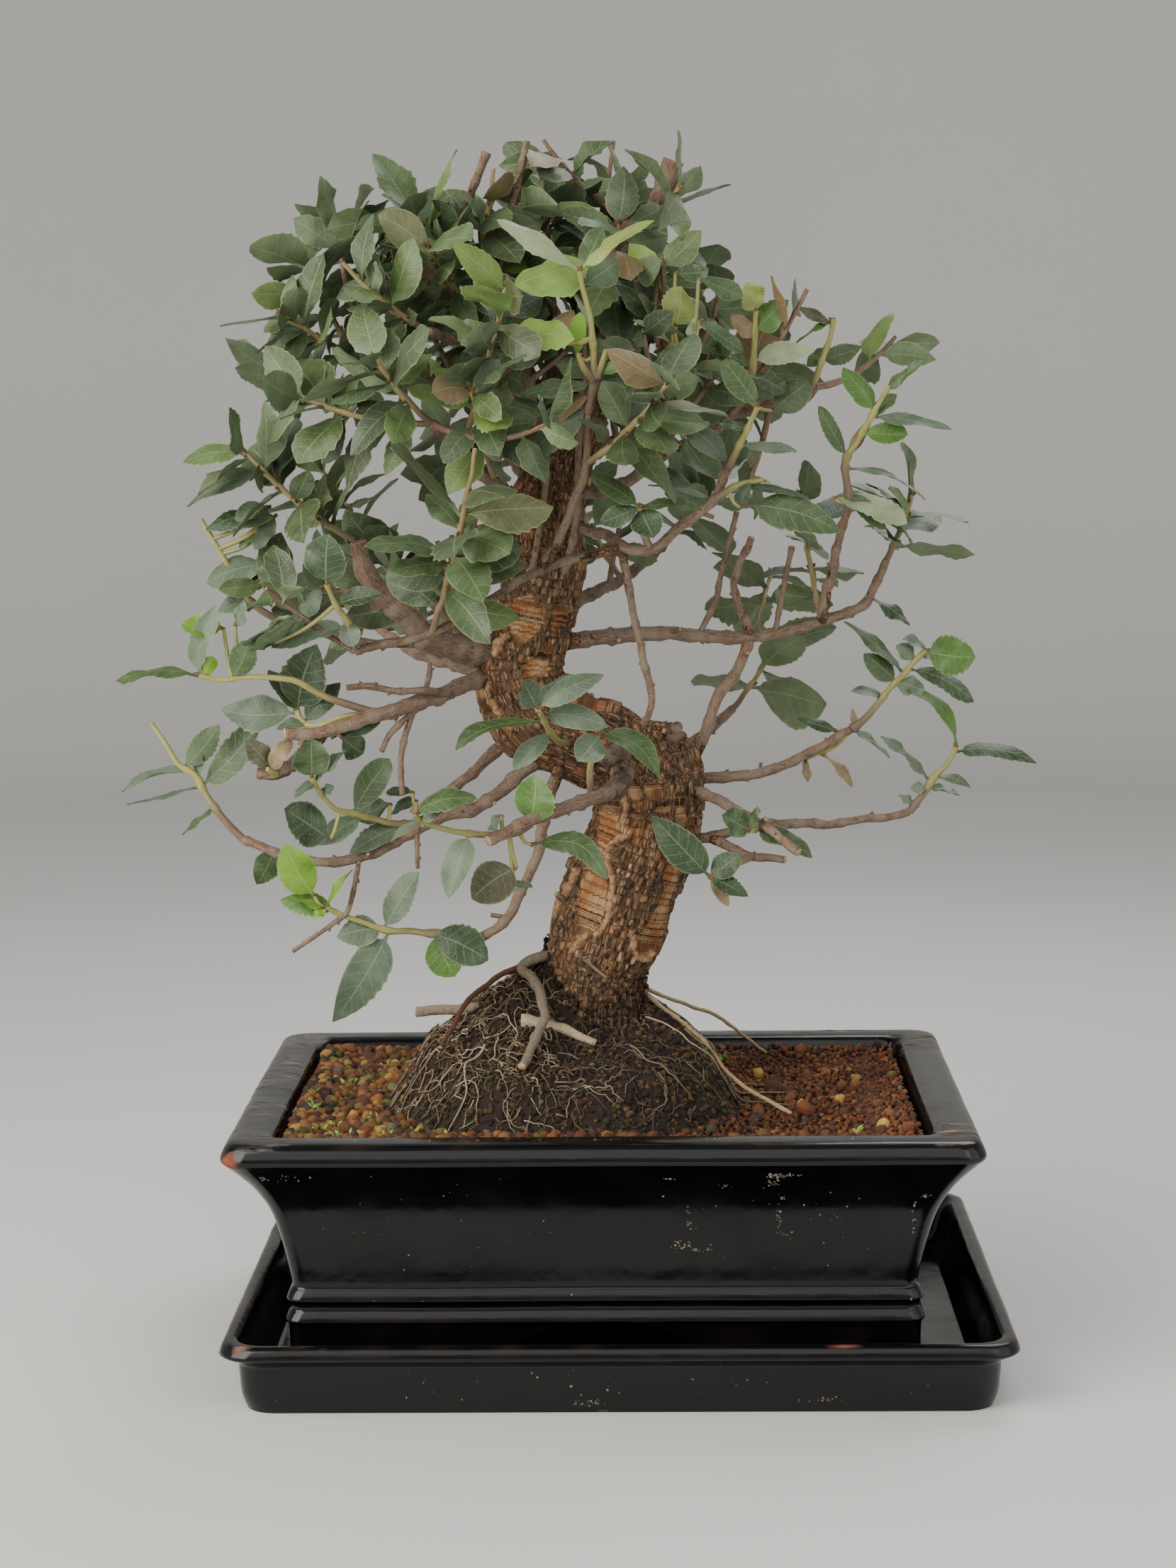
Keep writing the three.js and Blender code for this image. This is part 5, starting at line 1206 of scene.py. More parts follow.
def make_root_ball():
    draws = np.random.default_rng(7)
    sides = 120
    turn = turns(sides)
    rings = []
    middle_x, middle_y = mound_centre(0.6)
    for z, half_length, half_depth in BALL_BELOW:
        x = middle_x + half_length * np.cos(turn)
        rings.append(np.stack([x, middle_y + half_depth * np.sin(turn), z + 0 * turn], -1))
    for share in np.linspace(1, 0.2, 34):
        x, y = mound_places(share, turn)
        rings.append(np.stack([x, y, mound_surface(x, y) - 0.6], -1))
    points = np.vstack(rings)
    shape = Shape()
    shape.add(points, ring_faces(len(rings), sides), tint=tint_of(0x2e241b))
    shape.piece("root_ball_peat", ["peat_matted"], "peat", ["root_ball"])

    # Crumbs of peat, with moss most of all on the right and a few warmer, paler flecks
    count = PEAT_CRUMBS
    angle = draws.uniform(0, 2 * math.pi, count)
    share = np.sqrt(draws.uniform(0.05, 1.02, count))
    x, y = mound_places(share, angle)
    sizes = draws.uniform(1.1, 2.7, count) * draws.uniform(0.7, 1.2, count)
    tints = palette(draws, (0x3a2c20, 0x2b211a, 0x4a3726, 0x5c432b, 0x1f1915), count)
    flecks = draws.random(count)
    green = smooth(0.1, 0.6, noise(in_plan(x, y), 16, 90) + 0.3 * smooth(0, 20, x))
    moss = flecks < 0.35 * green
    tints[moss] = palette(draws, (0x3f431f, 0x2f351c, 0x565426), count)[moss]
    warm = flecks > 0.94
    tints[warm] = palette(draws, (0x5f3a26, 0x6b452c, 0x77603f, 0x665a4c), count)[warm]
    places = np.stack([x, y, mound_surface(x, y) - 0.4], -1)

    # Some of it clings to the foot of the trunk, most of all on the right
    cling = CLINGING_CRUMBS
    turn = draws.uniform(0, 2 * math.pi, cling)
    around = np.stack([LOWER_TRUNK[2][0] + 18.6 * np.cos(turn), 18.6 * np.sin(turn)], -1)
    climb = draws.random(cling) ** 2 * (11 + 5 * np.cos(turn))
    foot = np.column_stack([around, mound_surface(*around.T) + climb - 1])
    places = np.vstack([places, foot])
    sizes = np.append(sizes, draws.uniform(0.8, 2.1, cling))
    tints = np.vstack([tints, palette(draws, (0x2b211a, 0x3a2c20, 0x1f1915, 0x4a3726), cling)])
    grains("root_ball_crumbs", places, sizes, tints, 0, draws, "peat_matted", "peat")


def downhill(x, y):
    """The way water runs off the root ball."""
    step = 1.5
    slope_x = mound_surface(x + step, y) - mound_surface(x - step, y)
    slope_y = mound_surface(x, y + step) - mound_surface(x, y - step)
    return -np.stack([slope_x, slope_y], -1) / (2 * step)


FINE_ROOTS = 900
FINE_ROOT_STEPS = 15
FINE_ROOT_TINTS = (0xa08c6c, 0x8b7658, 0xb8a888, 0x6e5a42, 0x55452f, 0xc4b699)


def make_fine_roots():
    """Hair roots wander down the root ball, pale and matted on the left, few and dark on the right."""
    draws = np.random.default_rng(23)
    angle = draws.uniform(0, 2 * math.pi, FINE_ROOTS)
    share = np.sqrt(draws.uniform(0.06, 0.85, FINE_ROOTS))
    x, y = mound_places(share, angle)
    left = smooth(5, -35, x)
    kept = draws.random(FINE_ROOTS) < 0.3 + 0.7 * left
    x, y, left = x[kept], y[kept], left[kept]
    heading = draws.uniform(0, 2 * math.pi, len(x))
    path = []
    lift = draws.uniform(0.2, 1.3, len(x)) + 0.8 * left * draws.random(len(x))
    for step in range(FINE_ROOT_STEPS):
        float_up = lift * (0.5 + 0.5 * np.sin(step * 0.9 + heading * 3))
        path.append(np.stack([x, y, mound_surface(x, y) + float_up], -1))
        slope = downhill(x, y)
        heading = heading + draws.normal(0, 0.75, len(x))
        stride = np.stack([np.cos(heading), np.sin(heading)], -1) + 0.55 * slope
        stride = stride / np.linalg.norm(stride, axis=-1, keepdims=True) * 1.9
        x, y = x + stride[:, 0], y + stride[:, 1]
    paths = np.stack(path, 1)
    colours = np.array([tint_of(value) for value in FINE_ROOT_TINTS])
    shape = Shape()
    for i, line in enumerate(paths):
        length = int(draws.integers(5, FINE_ROOT_STEPS + 1))
        thick = draws.uniform(0.15, 0.34) * (1.8 if draws.random() < 0.08 else 1)
        points, _, _ = tube(line[:length], np.linspace(thick, thick * 0.45, length), 5)
        dark = 0.4 + 0.6 * left[i] * draws.random() ** 0.5
        tint = colours[draws.integers(0, len(colours))] * dark * draws.uniform(0.7, 1.15)
        shape.add(points, ring_faces(length, 5), tint=tint)
    # Longer ones run out over the substrate on the right and at the front left
    runs = [((14, -3), (60, -4), 0.5), ((24, -10), (64, -23), 0.42), ((10, -12), (42, -22), 0.4),
            ((8, 8), (58, 12), 0.45), ((-60, -20), (-84, -44), 0.45), ((-48, -34), (-58, -62), 0.5),
            ((-66, 2), (-96, 6), 0.4), ((4, -30), (26, -48), 0.4)]
    for index, (start, end, thick) in enumerate(runs):
        line = np.linspace(start, end, 22)
        sway = noise(in_plan(*line.T), 9, 300 + index)
        across = unit(np.array((line[-1] - line[0])[::-1] * (-1, 1)))
        line = line + sway[:, None] * across * 2.4
        z = np.maximum(mound_surface(*line.T), soil_top(*line.T)) + thick + 0.9
        points, _, _ = tube(np.column_stack([line, z]), np.linspace(thick, thick * 0.4, 22), 6)
        shape.add(points, ring_faces(22, 6), tint=colours[index % 3] * 0.8)
    shape.piece("fine_roots", ["root_bark_dry"], "peat")


ROOT_TINTS = {"pale_stub": 0x9a8a74, "bent_front": 0x7c6e5e, "pale_chunk": 0xb0a084, "red_brown": 0x5e3424,
              "far_right": 0xa8926e, "main_right": 0xa8906a, "back": 0x7c6a54}


def make_main_roots():
    shape = Shape()
    for index, (name, (start, end, places)) in enumerate((ROOTS | BALL_ROOTS).items()):
        given = np.array(places, float)
        knots = [given[0]]
        for before, knot in zip(given, given[1:]):
            knots += [(before + knot) / 2, knot]
        knots = np.array(knots)
        radii = np.linspace(start, end, len(knots))
        if name in ROOTS:
            lifted = mound_height(knots[:, 0], knots[:, 1])[0] + radii + ROOT_LIFT - 1
            knots[:, 2] = np.maximum(knots[:, 2], lifted)
        line = spline(np.column_stack([knots, radii]), 1.6)
        line[1:-1, :3] += 0.35 * noise_vectors(line[1:-1, :3], 6, 40 + index)
        rings, grain, out = tube(line[:, :3], line[:, 3], 10)
        rings += out * (0.16 * line[:, 3].mean() * noise(grain, 2.4, 60 + index, 2))[:, None]
        tint = tint_of(ROOT_TINTS[name])
        slots = [0] * (10 * (len(line) - 1)) + [1, 1]
        shape.add(rings, ring_faces(len(line), 10), slots, tint=tint, grain=grain)
    shape.piece("main_roots", ["root_bark_dry", "wood_cut_dry"], "cork_bark")


def make_sprouts():
    """Tiny seedlings and moss tufts on the substrate, most of them on the left."""
    draws = np.random.default_rng(88)
    shape = Shape()
    places = [(-104, -58), (-99, -50), (-92, -62), (-108, -30), (-86, -40), (-80, -66), (-70, -58),
              (-101, 20), (-90, 48), (-60, -70), (-96, -68), (-112, -8), (40, 60), (84, -60)]
    for x, y in places:
        z = soil_top(np.array([x]), np.array([y]))[0]
        for _ in range(int(draws.integers(3, 7))):
            lean = draws.uniform(-1, 1, 2)
            root = np.array((x, y, z)) + (*draws.uniform(-1.6, 1.6, 2), 0)
            top = root + (*(lean * 1.6), draws.uniform(1.4, 3.2))
            line = np.linspace(root, top, 4)
            line[:, :2] += np.outer(np.linspace(0, 1, 4) ** 2, lean)
            points, _, _ = tube(line, [0.3, 0.55, 0.7, 0.15], 5)
            tint = palette(draws, (0x6c9a35, 0x8ab544, 0x9fae4a, 0x5c7c33), 1)[0]
            shape.add(points, ring_faces(4, 5), tint=tint, grain=points)
    shape.piece("sprouts", ["young_stem_green"], "leaf")


# Trunk and limbs

SKIN_VOXEL = 0.84
SKIN_PASSES = 4
TRUNK_SIDES = 28
COLLAR_SIDES = 14
KNEE_SIDES = 20
LIMB_SIDES = 10
PLATE_SIZE = 3.2
PLATE_WARP = 1.8
PLATE_STRETCH = (1, 1, 0.4)
# Bare faces where cork came away, in front or at the back: outlines in x and z
CORK_FACES = [
    # Lower trunk, left of the middle, and two small ones below it
    (False, [
        (-6.5, 198), (-2.5, 199), (1.5, 199), (0.5, 193), (1.5, 188), (-1.5, 185), (-4.5, 183), (-5.5, 180),
        (-4, 173.5), (-3.5, 167), (-4, 161), (-7, 153), (-10, 151), (-13.5, 152.5), (-15, 161),
        (-13.5, 170), (-11, 177), (-8, 182.5), (-7, 189), (-7.5, 193)]),
    (False, [(-14, 153), (-11.5, 152.5), (-12.5, 150), (-14, 148), (-16, 149.5)]),
    (False, [(-19, 149.5), (-15.5, 149), (-16.5, 146), (-18.5, 146.5)]),
    # Lower trunk, along the right side
    (False, [
        (21, 202), (24.5, 201.5), (25, 192), (24.5, 178), (23, 168), (20.5, 161), (19.5, 152),
        (16.5, 147.5), (13.5, 143.5), (10, 141.5), (7.5, 142.5), (6, 145.5), (6.5, 149.5), (9.5, 153),
        (12.5, 157.5), (15, 161), (17, 171.5), (19, 181.5), (21, 190.5), (21, 195)]),
    # The knee
    (False, [(10, 205.5), (16, 205.5), (16.5, 202.5), (15, 199.5), (13, 199), (10.5, 201)]),
    (False, [(4, 205), (8, 205.5), (9, 202.5), (8.5, 199), (5, 200), (4, 202.5)]),
    (False, [(14.5, 197), (16.5, 199), (19, 197.5), (19, 195.5), (16.5, 194.5), (14.5, 195.5)]),
    (False, [
        (-22, 236), (-19, 237), (-14, 239.5), (-8, 238.5), (-1.5, 234.5), (2.5, 231.5), (-3, 230.5),
        (-15.5, 232.5), (-18.5, 232), (-21.5, 232.5)]),
    # Upper trunk
    (False, [
        (-38.5, 268.5), (-35, 272.5), (-30, 273), (-25, 268), (-25, 264.5), (-27, 259.5), (-30.5, 256.5),
        (-35.5, 254.5), (-37, 257), (-38.5, 261.5)]),
    (False, [
        (-21.5, 268.5), (-17, 268.5), (-16.5, 265.5), (-17, 261.5), (-19.5, 261), (-21, 257.5),
        (-22, 257.5)]),
    (False, [(-33, 248.5), (-29, 250.5), (-24, 249.5), (-23, 248.5), (-24, 244), (-32, 243)]),
    (False, [(-28.5, 250.5), (-25, 256), (-22, 255), (-21.5, 252.5), (-22, 249.5), (-24.5, 250)]),
    (False, [
        (-51, 238.5), (-48, 239.5), (-45, 233), (-41.5, 230), (-44, 229), (-47.5, 231), (-50.5, 235.5)]),
    # The back
    (True, [(-4, 190), (6, 194), (9, 176), (4, 158), (-3, 150), (-8, 160), (-7, 176)]),
    (True, [(-34, 262), (-26, 266), (-20, 250), (-24, 236), (-33, 240)]),
    (True, [(-14, 232), (-2, 230), (0, 222), (-12, 222)]),
]

# Raised edges of broken cork beside the bare faces, as lines in x and z
CORK_LIPS = [
    [(2.5, 199.5), (3.5, 196.5), (2, 193), (2.5, 189.5), (4.5, 187.5), (1, 186), (-2, 184), (-4, 181),
     (-3.5, 177.5), (-2.5, 174), (-1.5, 170), (-2, 165.5), (-3, 161), (-3.5, 157), (-6, 152.5),
     (-8, 151.5)],
    [(-11, 151.5), (-13, 149), (-14.5, 147), (-16, 145.5)],
    [(5.5, 150.5), (5.5, 145.5), (7, 142.5), (10, 141), (13, 143)],
    [(-14.5, 173), (-16.5, 169), (-18.5, 165), (-20, 162), (-21.5, 159), (-22, 156)],
    [(-45.5, 241), (-46.5, 238), (-45.5, 235.5), (-43.5, 232.5), (-41, 230.5)],
    [(-39, 258.5), (-42, 255.5), (-43, 251.5)],
]

# Stubs of sawn limbs in front of the knee, broken twigs lower down, and bare twigs inside the crown:
# a radius, then the places of the line
STUBS = [
    (3.1, (5, -10, 217), (-1, -22, 216.5), (-3, -29, 216)),
    (3.0, (6, -12, 211), (2, -25, 207.5), (0, -33, 204.5)),
    (0.55, (-15, -16, 145), (-9, -22.5, 140.5), (-4, -26, 137)),
    (0.4, (-12.5, -20, 143), (-10.5, -23, 143.5), (-9.5, -25, 141.5)),
    (1.1, (-16, -8, 161), (-19, -10, 162.3), (-22, -12, 165)),
    (2.2, (20, -10, 220), (21, -15, 223), (22, -18.5, 226)),
    (1.0, (-52, -6, 253), (-60, -9, 272), (-70, -12, 291)),
    (0.9, (-50, -5, 253), (-57, -8, 272), (-63, -9, 292)),
    (0.9, (-47, -4, 252), (-54, -6, 270), (-58, -8, 294)),
    (1.0, (-44, -3, 251), (-50, -5, 268), (-50, -6, 299)),
    (1.1, (-30, -12, 278), (-27, -17, 292), (-23, -18, 316)),
    (1.2, (-18, -12, 280), (-13, -18, 300), (-12, -20, 327), (-9, -20, 347)),
    (1.0, (30, 10, 256), (36, 8, 268), (38.4, 4, 279), (44, 2, 301)),
    (1.0, (58, 14, 256), (60, 12, 268), (64, 10, 288)),
    (1.5, (-47, -16, 388), (-52, -17, 402), (-43, -18, 427)),
    (1.3, (-45, -14, 386), (-36, -14, 405), (-29, -14, 431)),
    (1.1, (-58, -26, 239), (-65.6, -40, 241.6), (-75.7, -40, 241.4), (-85.6, -40, 243.2),
        (-93.3, -40, 242.8)),
    (0.9, (-65.9, -39, 241.2), (-64.6, -36, 247.1), (-64.5, -36, 251.1)),
    (1.0, (-66, -32, 237), (-76.9, -44, 228.2), (-81.2, -44, 220.8)),
    (1.0, (-70, -36, 236), (-74.1, -44, 220.7), (-74.3, -44, 205.3)),
    (0.8, (-91, -28, 181), (-93.8, -40, 165.5), (-98.4, -40, 160.5), (-114.1, -40, 149.7)),
    (0.8, (-70.4, -24, 192), (-70.4, -30, 186), (-70.4, -30, 177.4)),
    (2.0, (-104, -56, 227), (-110.3, -52, 218.7), (-117, -52, 214.1), (-123.6, -52, 214.6)),
]

# The shoulder of the knee: centres with a radius each
KNEE = [(5, -2, 219, 9), (14, -3, 217, 9.5), (20, -3, 212, 10), (23, -2, 206, 8)]


def wood_lines():
    """Each length of wood: its knots with a radius each, as numpy rows of four."""
    lines = [np.array(LOWER_TRUNK, float), np.array(UPPER_TRUNK, float)]
    for start, end, places in LIMBS.values():
        knots = np.array(places, float)
        lines.append(np.column_stack([knots, np.linspace(start, end, len(knots))]))
    return lines


def edge_distance(x, z, corners):
    """Distance from each place to a broken line in x and z."""
    nearest = np.full(len(x), 1e9)
    for (ax, az), (bx, bz) in zip(corners, corners[1:]):
        length = (bx - ax) ** 2 + (bz - az) ** 2
        share = np.clip(((x - ax) * (bx - ax) + (z - az) * (bz - az)) / length, 0, 1)
        nearest = np.minimum(nearest, np.hypot(x - ax - share * (bx - ax), z - az - share * (bz - az)))
    return nearest


def outline_depth(x, z, outline):
    """How far inside a closed outline each place lies. It is negative outside."""
    is_inside = np.zeros(len(x), bool)
    closed = [*outline, outline[0]]
    for (ax, az), (bx, bz) in zip(closed, closed[1:]):
        with np.errstate(divide="ignore", invalid="ignore"):
            is_inside ^= ((az > z) != (bz > z)) & (x < (bx - ax) * (z - az) / (bz - az) + ax)
    return np.where(is_inside, 1, -1) * edge_distance(x, z, closed)


def skeleton_grain(points, lines):
    """Each place in the wood's own coordinates: round, round and along, from the nearest length of wood."""
    best = np.full(len(points), 1e9)
    grain = np.zeros((len(points), 3))
    for number, line in enumerate(lines):
        fine = spline(line, 3)
        _, across, other = carried_frames(fine[:, :3])
        lengths = distances(fine[:, :3])
        for i in range(len(fine) - 1):
            step = fine[i + 1, :3] - fine[i, :3]
            share = np.clip((points - fine[i, :3]) @ step / step.dot(step), 0, 1)
            away = points - fine[i, :3] - share[:, None] * step
            gap = np.linalg.norm(away, axis=1) - fine[i, 3]
            closer = gap < best
            best = np.where(closer, gap, best)
            along = lengths[i] + share * (lengths[i + 1] - lengths[i]) + 40 * number
            own = np.stack([away @ across[i], away @ other[i], along], -1)
            grain = np.where(closer[:, None], own, grain)
    return grain


def remeshed(points, faces):
    """One closed skin round overlapping closed meshes, smoothed a little."""
    body = solid_piece(points, faces)
    remesh = body.modifiers.new("skin", "REMESH")
    remesh.mode = "VOXEL"
    remesh.voxel_size = SKIN_VOXEL * MM
    relax = body.modifiers.new("relax", "SMOOTH")
    relax.factor = 0.5
    relax.iterations = SKIN_PASSES
    return evaluated_mesh(body)


def make_trunk(settings):
    lines = wood_lines()
    points = []
    faces = []
    count = 0
    for number, line in enumerate(lines):
        fine = spline(line, 2.0)
        if number > 1:
            # Only the limb's collar belongs to the trunk's skin
            lengths = distances(fine[:, :3])
            if line[0, 3] > 6.5:
                reach = lengths[-1] * 0.55
            else:
                reach = min(lengths[-1] * 0.6, 24 if number < 20 else 26)
            kept = max(3, int((lengths < reach).sum()))
            fine = fine[:kept]
            taper = np.linspace(1.35, 0.8, kept)
            fine[:, 3] *= taper
        sides = TRUNK_SIDES if number < 2 else COLLAR_SIDES
        rings, _, _ = tube(fine[:, :3], fine[:, 3], sides)
        points.append(rings)
        faces += [[corner + count for corner in face] for face in ring_faces(len(fine), sides)]
        count += len(rings)
    # The knee has a broad shoulder where limbs were sawn off
    knee = np.array(KNEE, float)
    rings, _, _ = tube(knee[:, :3], knee[:, 3], KNEE_SIDES)
    points.append(rings)
    faces += [[corner + count for corner in face] for face in ring_faces(len(KNEE), KNEE_SIDES)]
    mesh = remeshed(np.vstack(points), faces)
    places = points_of(mesh)
    normals = vectors_of(mesh.vertex_normals, "vector")
    grain = skeleton_grain(places, lines)
    fissure = settings.fissure / MM
    reach = np.hypot(grain[:, 0], grain[:, 1])
    thick = smooth(6, 12, reach)

    # Plates of cork, longer along the trunk than round it, on broad ridges
    warp = noise_vectors(grain, 6, 500)
    near_plate, second_plate, owner = cells((grain + warp * PLATE_WARP) * PLATE_STRETCH, PLATE_SIZE, 4)
    crack = second_plate - near_plate
    height = 0.8 * fissure * (smooth(0, 0.36, crack) - 0.7) + 0.55 * fissure * (owner - 0.5)
    height += 0.45 * noise(grain * (1, 1, 0.5), 1.7, 77, 2) + 1.2 * noise(grain * (1, 1, 0.35), 9, 3)
    height += 0.8 * smooth(120, 100, places[:, 2]) * noise(places, 3, 44, 2)

    # Bare cork lies lower, with lines across the growth, and broken cork stands up beside it
    bare = np.zeros(len(places))
    ragged = 0.5 * noise(places, 2.6, 15, 2)
    front = smooth(-0.05, 0.25, -normals[:, 1])
    back = smooth(-0.05, 0.25, normals[:, 1])
    for is_back, outline in CORK_FACES:
        depth = outline_depth(places[:, 0], places[:, 2], outline) + ragged
        bare = np.maximum(bare, smooth(-0.2, 0.4, depth) * (back if is_back else front))
    lip = np.zeros(len(places))
    for line in CORK_LIPS:
        away = edge_distance(places[:, 0], places[:, 2], line) + 0.9 * ragged
        lip = np.maximum(lip, smooth(1.2, 0.5, away) * smooth(-0.3, 0.1, -normals[:, 1]))
    bare = bare * (1 - lip)
    growth = noise(grain * (0.12, 0.12, 1), 1.5, 33, 2)
    hollow = -1.3 + 0.4 * noise(grain * (0.4, 0.4, 1), 4, 61) - 0.4 * smooth(0.35, 0.6, growth)
    rough = height * (0.12 + 0.88 * thick) * (1 - bare) * (1 - lip) + hollow * bare * (0.2 + 0.8 * thick)
    rough += lip * (0.9 + 0.8 * noise(places, 1.5, 19, 2))
    mesh.vertices.foreach_set("co", ((places + normals * rough[:, None]) * MM).ravel())
    mesh.update()
    # Wear's second channel: painted shade in the cracks between plates
    painted_shade_and_soil = smooth(0.14, 0.0, crack) * (1 - bare) * (1 - lip)
    # Darker towards the foot of the trunk: partly soil, partly painted shade
    foot_soil_and_shade = smooth(142, 122, places[:, 2] + 5 * noise(places, 7, 91))
    painted_shade_and_soil = np.maximum(painted_shade_and_soil, 0.75 * foot_soil_and_shade * (1 - bare))
    set_vectors(mesh, "grain", grain)
    set_vectors(mesh, "wear", np.stack([bare, painted_shade_and_soil, lip], -1))
    dress(mesh, "cork_bark_weathered")
    placed("trunk_bark", mesh, [TRUNK_NODE])


def add_wood(shape, draws, line, tint, cut_end, salt):
    """One round length of wood with knots, ring scars and buds. Its end may be a cut face."""
    sides = LIMB_SIDES
    count = len(line)
    lengths = distances(line[:, :3])
    swell = np.zeros(count)
    at = draws.uniform(3, 9)
    while at < lengths[-1]:
        swell += draws.uniform(0.12, 0.34) * np.exp(-((lengths - at) / draws.uniform(0.9, 1.6)) ** 2)
        at += draws.uniform(6, 13)
    rings, grain, out = tube(line[:, :3], line[:, 3] * (1 + swell), sides)
    rough = 0.12 * line[:, 3].repeat(sides) * noise(grain * (1, 1, 0.4) + 50 * salt, 1.9, 700, 2)
    rings = rings + out * rough[:, None]
    grain[:, 2] += 60 * salt
    slots = [0] * (sides * (count - 1) + 1) + [int(cut_end)]
    tints = np.broadcast_to(tint, (count, 3))
    shape.add(rings, ring_faces(count, sides), slots, grain=grain, tint=tints.repeat(sides, 0))
    # Buds and the stubs of shed twigs
    for i in range(3, count - 2, 4):
        if draws.random() < 0.4:
            continue
        corner = int(draws.integers(0, sides))
        seat = rings[i * sides + corner]
        way = unit(out[i * sides + corner] + 0.6 * unit(line[i + 1, :3] - line[i, :3]))
        is_stub = draws.random() < 0.2 and line[i, 3] > 1.6
        reach = draws.uniform(1.5, 4) if is_stub else draws.uniform(0.5, 1.1)
        thick = draws.uniform(0.6, 1) if is_stub else draws.uniform(0.5, 0.85)
        stem = np.linspace(seat - way * 0.8, seat + way * reach, 4)
        radii = np.full(4, thick) if is_stub else thick * np.array([1, 1, 0.75, 0.1])
        points, own, _ = tube(stem, radii, 6)
        shape.add(
            points, ring_faces(4, 6), [0] * 19 + [1 if is_stub else 0], grain=own, tint=tints[i] * 0.85)


def make_limbs(settings):
    draws = np.random.default_rng(3)
    shape = Shape()
    base = np.array(settings.limb[:3])
    for number, line in enumerate(wood_lines()[2:]):
        fine = spline(line, 1.7)
        sway = noise_vectors(fine[:, :3], 7, 900)
        fine[2:-2, :3] += 0.6 * sway[2:-2]
        share = np.linspace(0, 1, len(fine))[:, None]
        tint = base * (1 - share) + base * (1.06, 0.9, 0.8) * share
        add_wood(shape, draws, fine, tint * draws.uniform(0.8, 1.25), True, number)
    for number, (radius, *places) in enumerate(STUBS):
        knots = np.column_stack([np.array(places, float), radius * np.linspace(1.1, 0.96, len(places))])
        tint = tint_of(0x5b4a3e if radius > 1.5 else 0x7a6350)
        add_wood(shape, draws, spline(knots, 1.2), tint, radius < 2, 40 + number)
    shape.piece("limbs_bark", ["limb_bark_thin", "wood_cut_dry"], "cork_bark", [TRUNK_NODE])


# Leafy shoots

def capsule_rows(points, radii):
    points = np.asarray(points, float)
    return np.column_stack([points[:-1], points[1:], np.maximum(radii[:-1], radii[1:])])


def capsule_distances(places, rows):
    """Distance from each place to each capsule's skin."""
    start = rows[:, :3]
    step = rows[:, 3:6] - start
    away = places[:, None] - start[None]
    share = np.clip(np.einsum("nij,ij->ni", away, step) / np.einsum("ij,ij->i", step, step), 0, 1)
    return np.linalg.norm(away - share[..., None] * step[None], axis=-1) - rows[:, 6]


class Shoot:
    """A stem that leaves the wood at a knot and turns up towards its tip, as in the part's source."""

    def __init__(self, index, row, knots):
        wanted, tip, self.leaves, self.leaf_length, self.bare, self.first_side = row
        self.index = index
        self.root = knots[np.argmin(np.linalg.norm(knots - wanted, axis=1))]
        self.tip = np.array(tip, float)
        self.length = np.linalg.norm(self.tip - self.root)
        self.bend = (self.root + self.tip) / 2 - (0, 0, TWIG_SAG * self.length)
        self.across = unit(np.array((self.tip[1] - self.root[1], self.root[0] - self.tip[0], 0)))
        self.leafy_end = 1 - (self.bare + 1.5) / self.length

    def point(self, share):
        share = np.asarray(share, float)[..., None]
        return self.root * (1 - share) ** 2 + self.bend * 2 * share * (1 - share) + self.tip * share**2

    def radius(self, share):
        return TWIG_RADII[0] + (TWIG_RADII[1] - TWIG_RADII[0]) * share

    def clear_start(self, wood):
        for share in np.arange(0, 0.5, 0.005):
            point = self.point(share)
            along = unit(self.point(share + 0.01) - point)
            step = wood[:, 3:6] - wood[:, :3]
            part = np.clip(((point - wood[:, :3]) * step).sum(1) / (step * step).sum(1), 0, 1)
            away = point - wood[:, :3] - part[:, None] * step
            reach = np.linalg.norm(away, axis=1)
            sideways = np.linalg.norm(away - (away @ along)[:, None] * along, axis=1)
            sideways = sideways / np.maximum(reach, 1e-9)
            if np.all(reach - wood[:, 6] - self.radius(share) * sideways > GAP):
                return share
        raise RuntimeError(f"shoot {self.index + 1} never comes clear of the wood")

    def ring(self, share):
        along = unit(self.point(share + 0.01) - self.point(share - 0.01))
        upward = np.cross(along, self.across)
        turn = turns(STEM_SIDES)
        out = np.outer(np.cos(turn), self.across) + np.outer(np.sin(turn), upward)
        return self.point(share) + self.radius(share) * out

    def node_share(self, node):
        last = math.ceil(self.leaves / 2) - 1
        first = max(self.start + FIRST_LEAF_SHARE, self.leafy_end - last * NODE_SPACING / self.length)
        return first + (self.leafy_end - first) * node / last


class Leaf:
    """A blade: where it springs from, its direction, the way its upper face looks, and its size."""

    def __init__(self, origin, direction, face, length, width, curl, cup):
        self.origin = origin
        self.direction = direction
        self.face = face
        self.side = np.cross(direction, face)
        self.length = length
        self.width = width
        self.curl = curl
        self.cup = cup
        self.bow = 0

    def point(self, share, sideways, off=0):
        share = np.asarray(share, float)
        sideways = np.asarray(sideways, float)
        sink = self.length * self.curl * share**2 + self.width * self.cup * sideways**2
        middle = self.origin + (self.length * share)[..., None] * self.direction
        beside = middle + (self.width / 2 * sideways)[..., None] * self.side
        return beside + np.asarray(off - sink)[..., None] * self.face

    def samples(self, rows=7):
        shares = np.repeat(np.linspace(0.2, 1, rows), 5)
        half = np.sin(math.pi * shares**0.8).clip(0) ** 0.75
        return self.point(shares, half * np.tile(np.arange(-2, 3), rows) / 2)


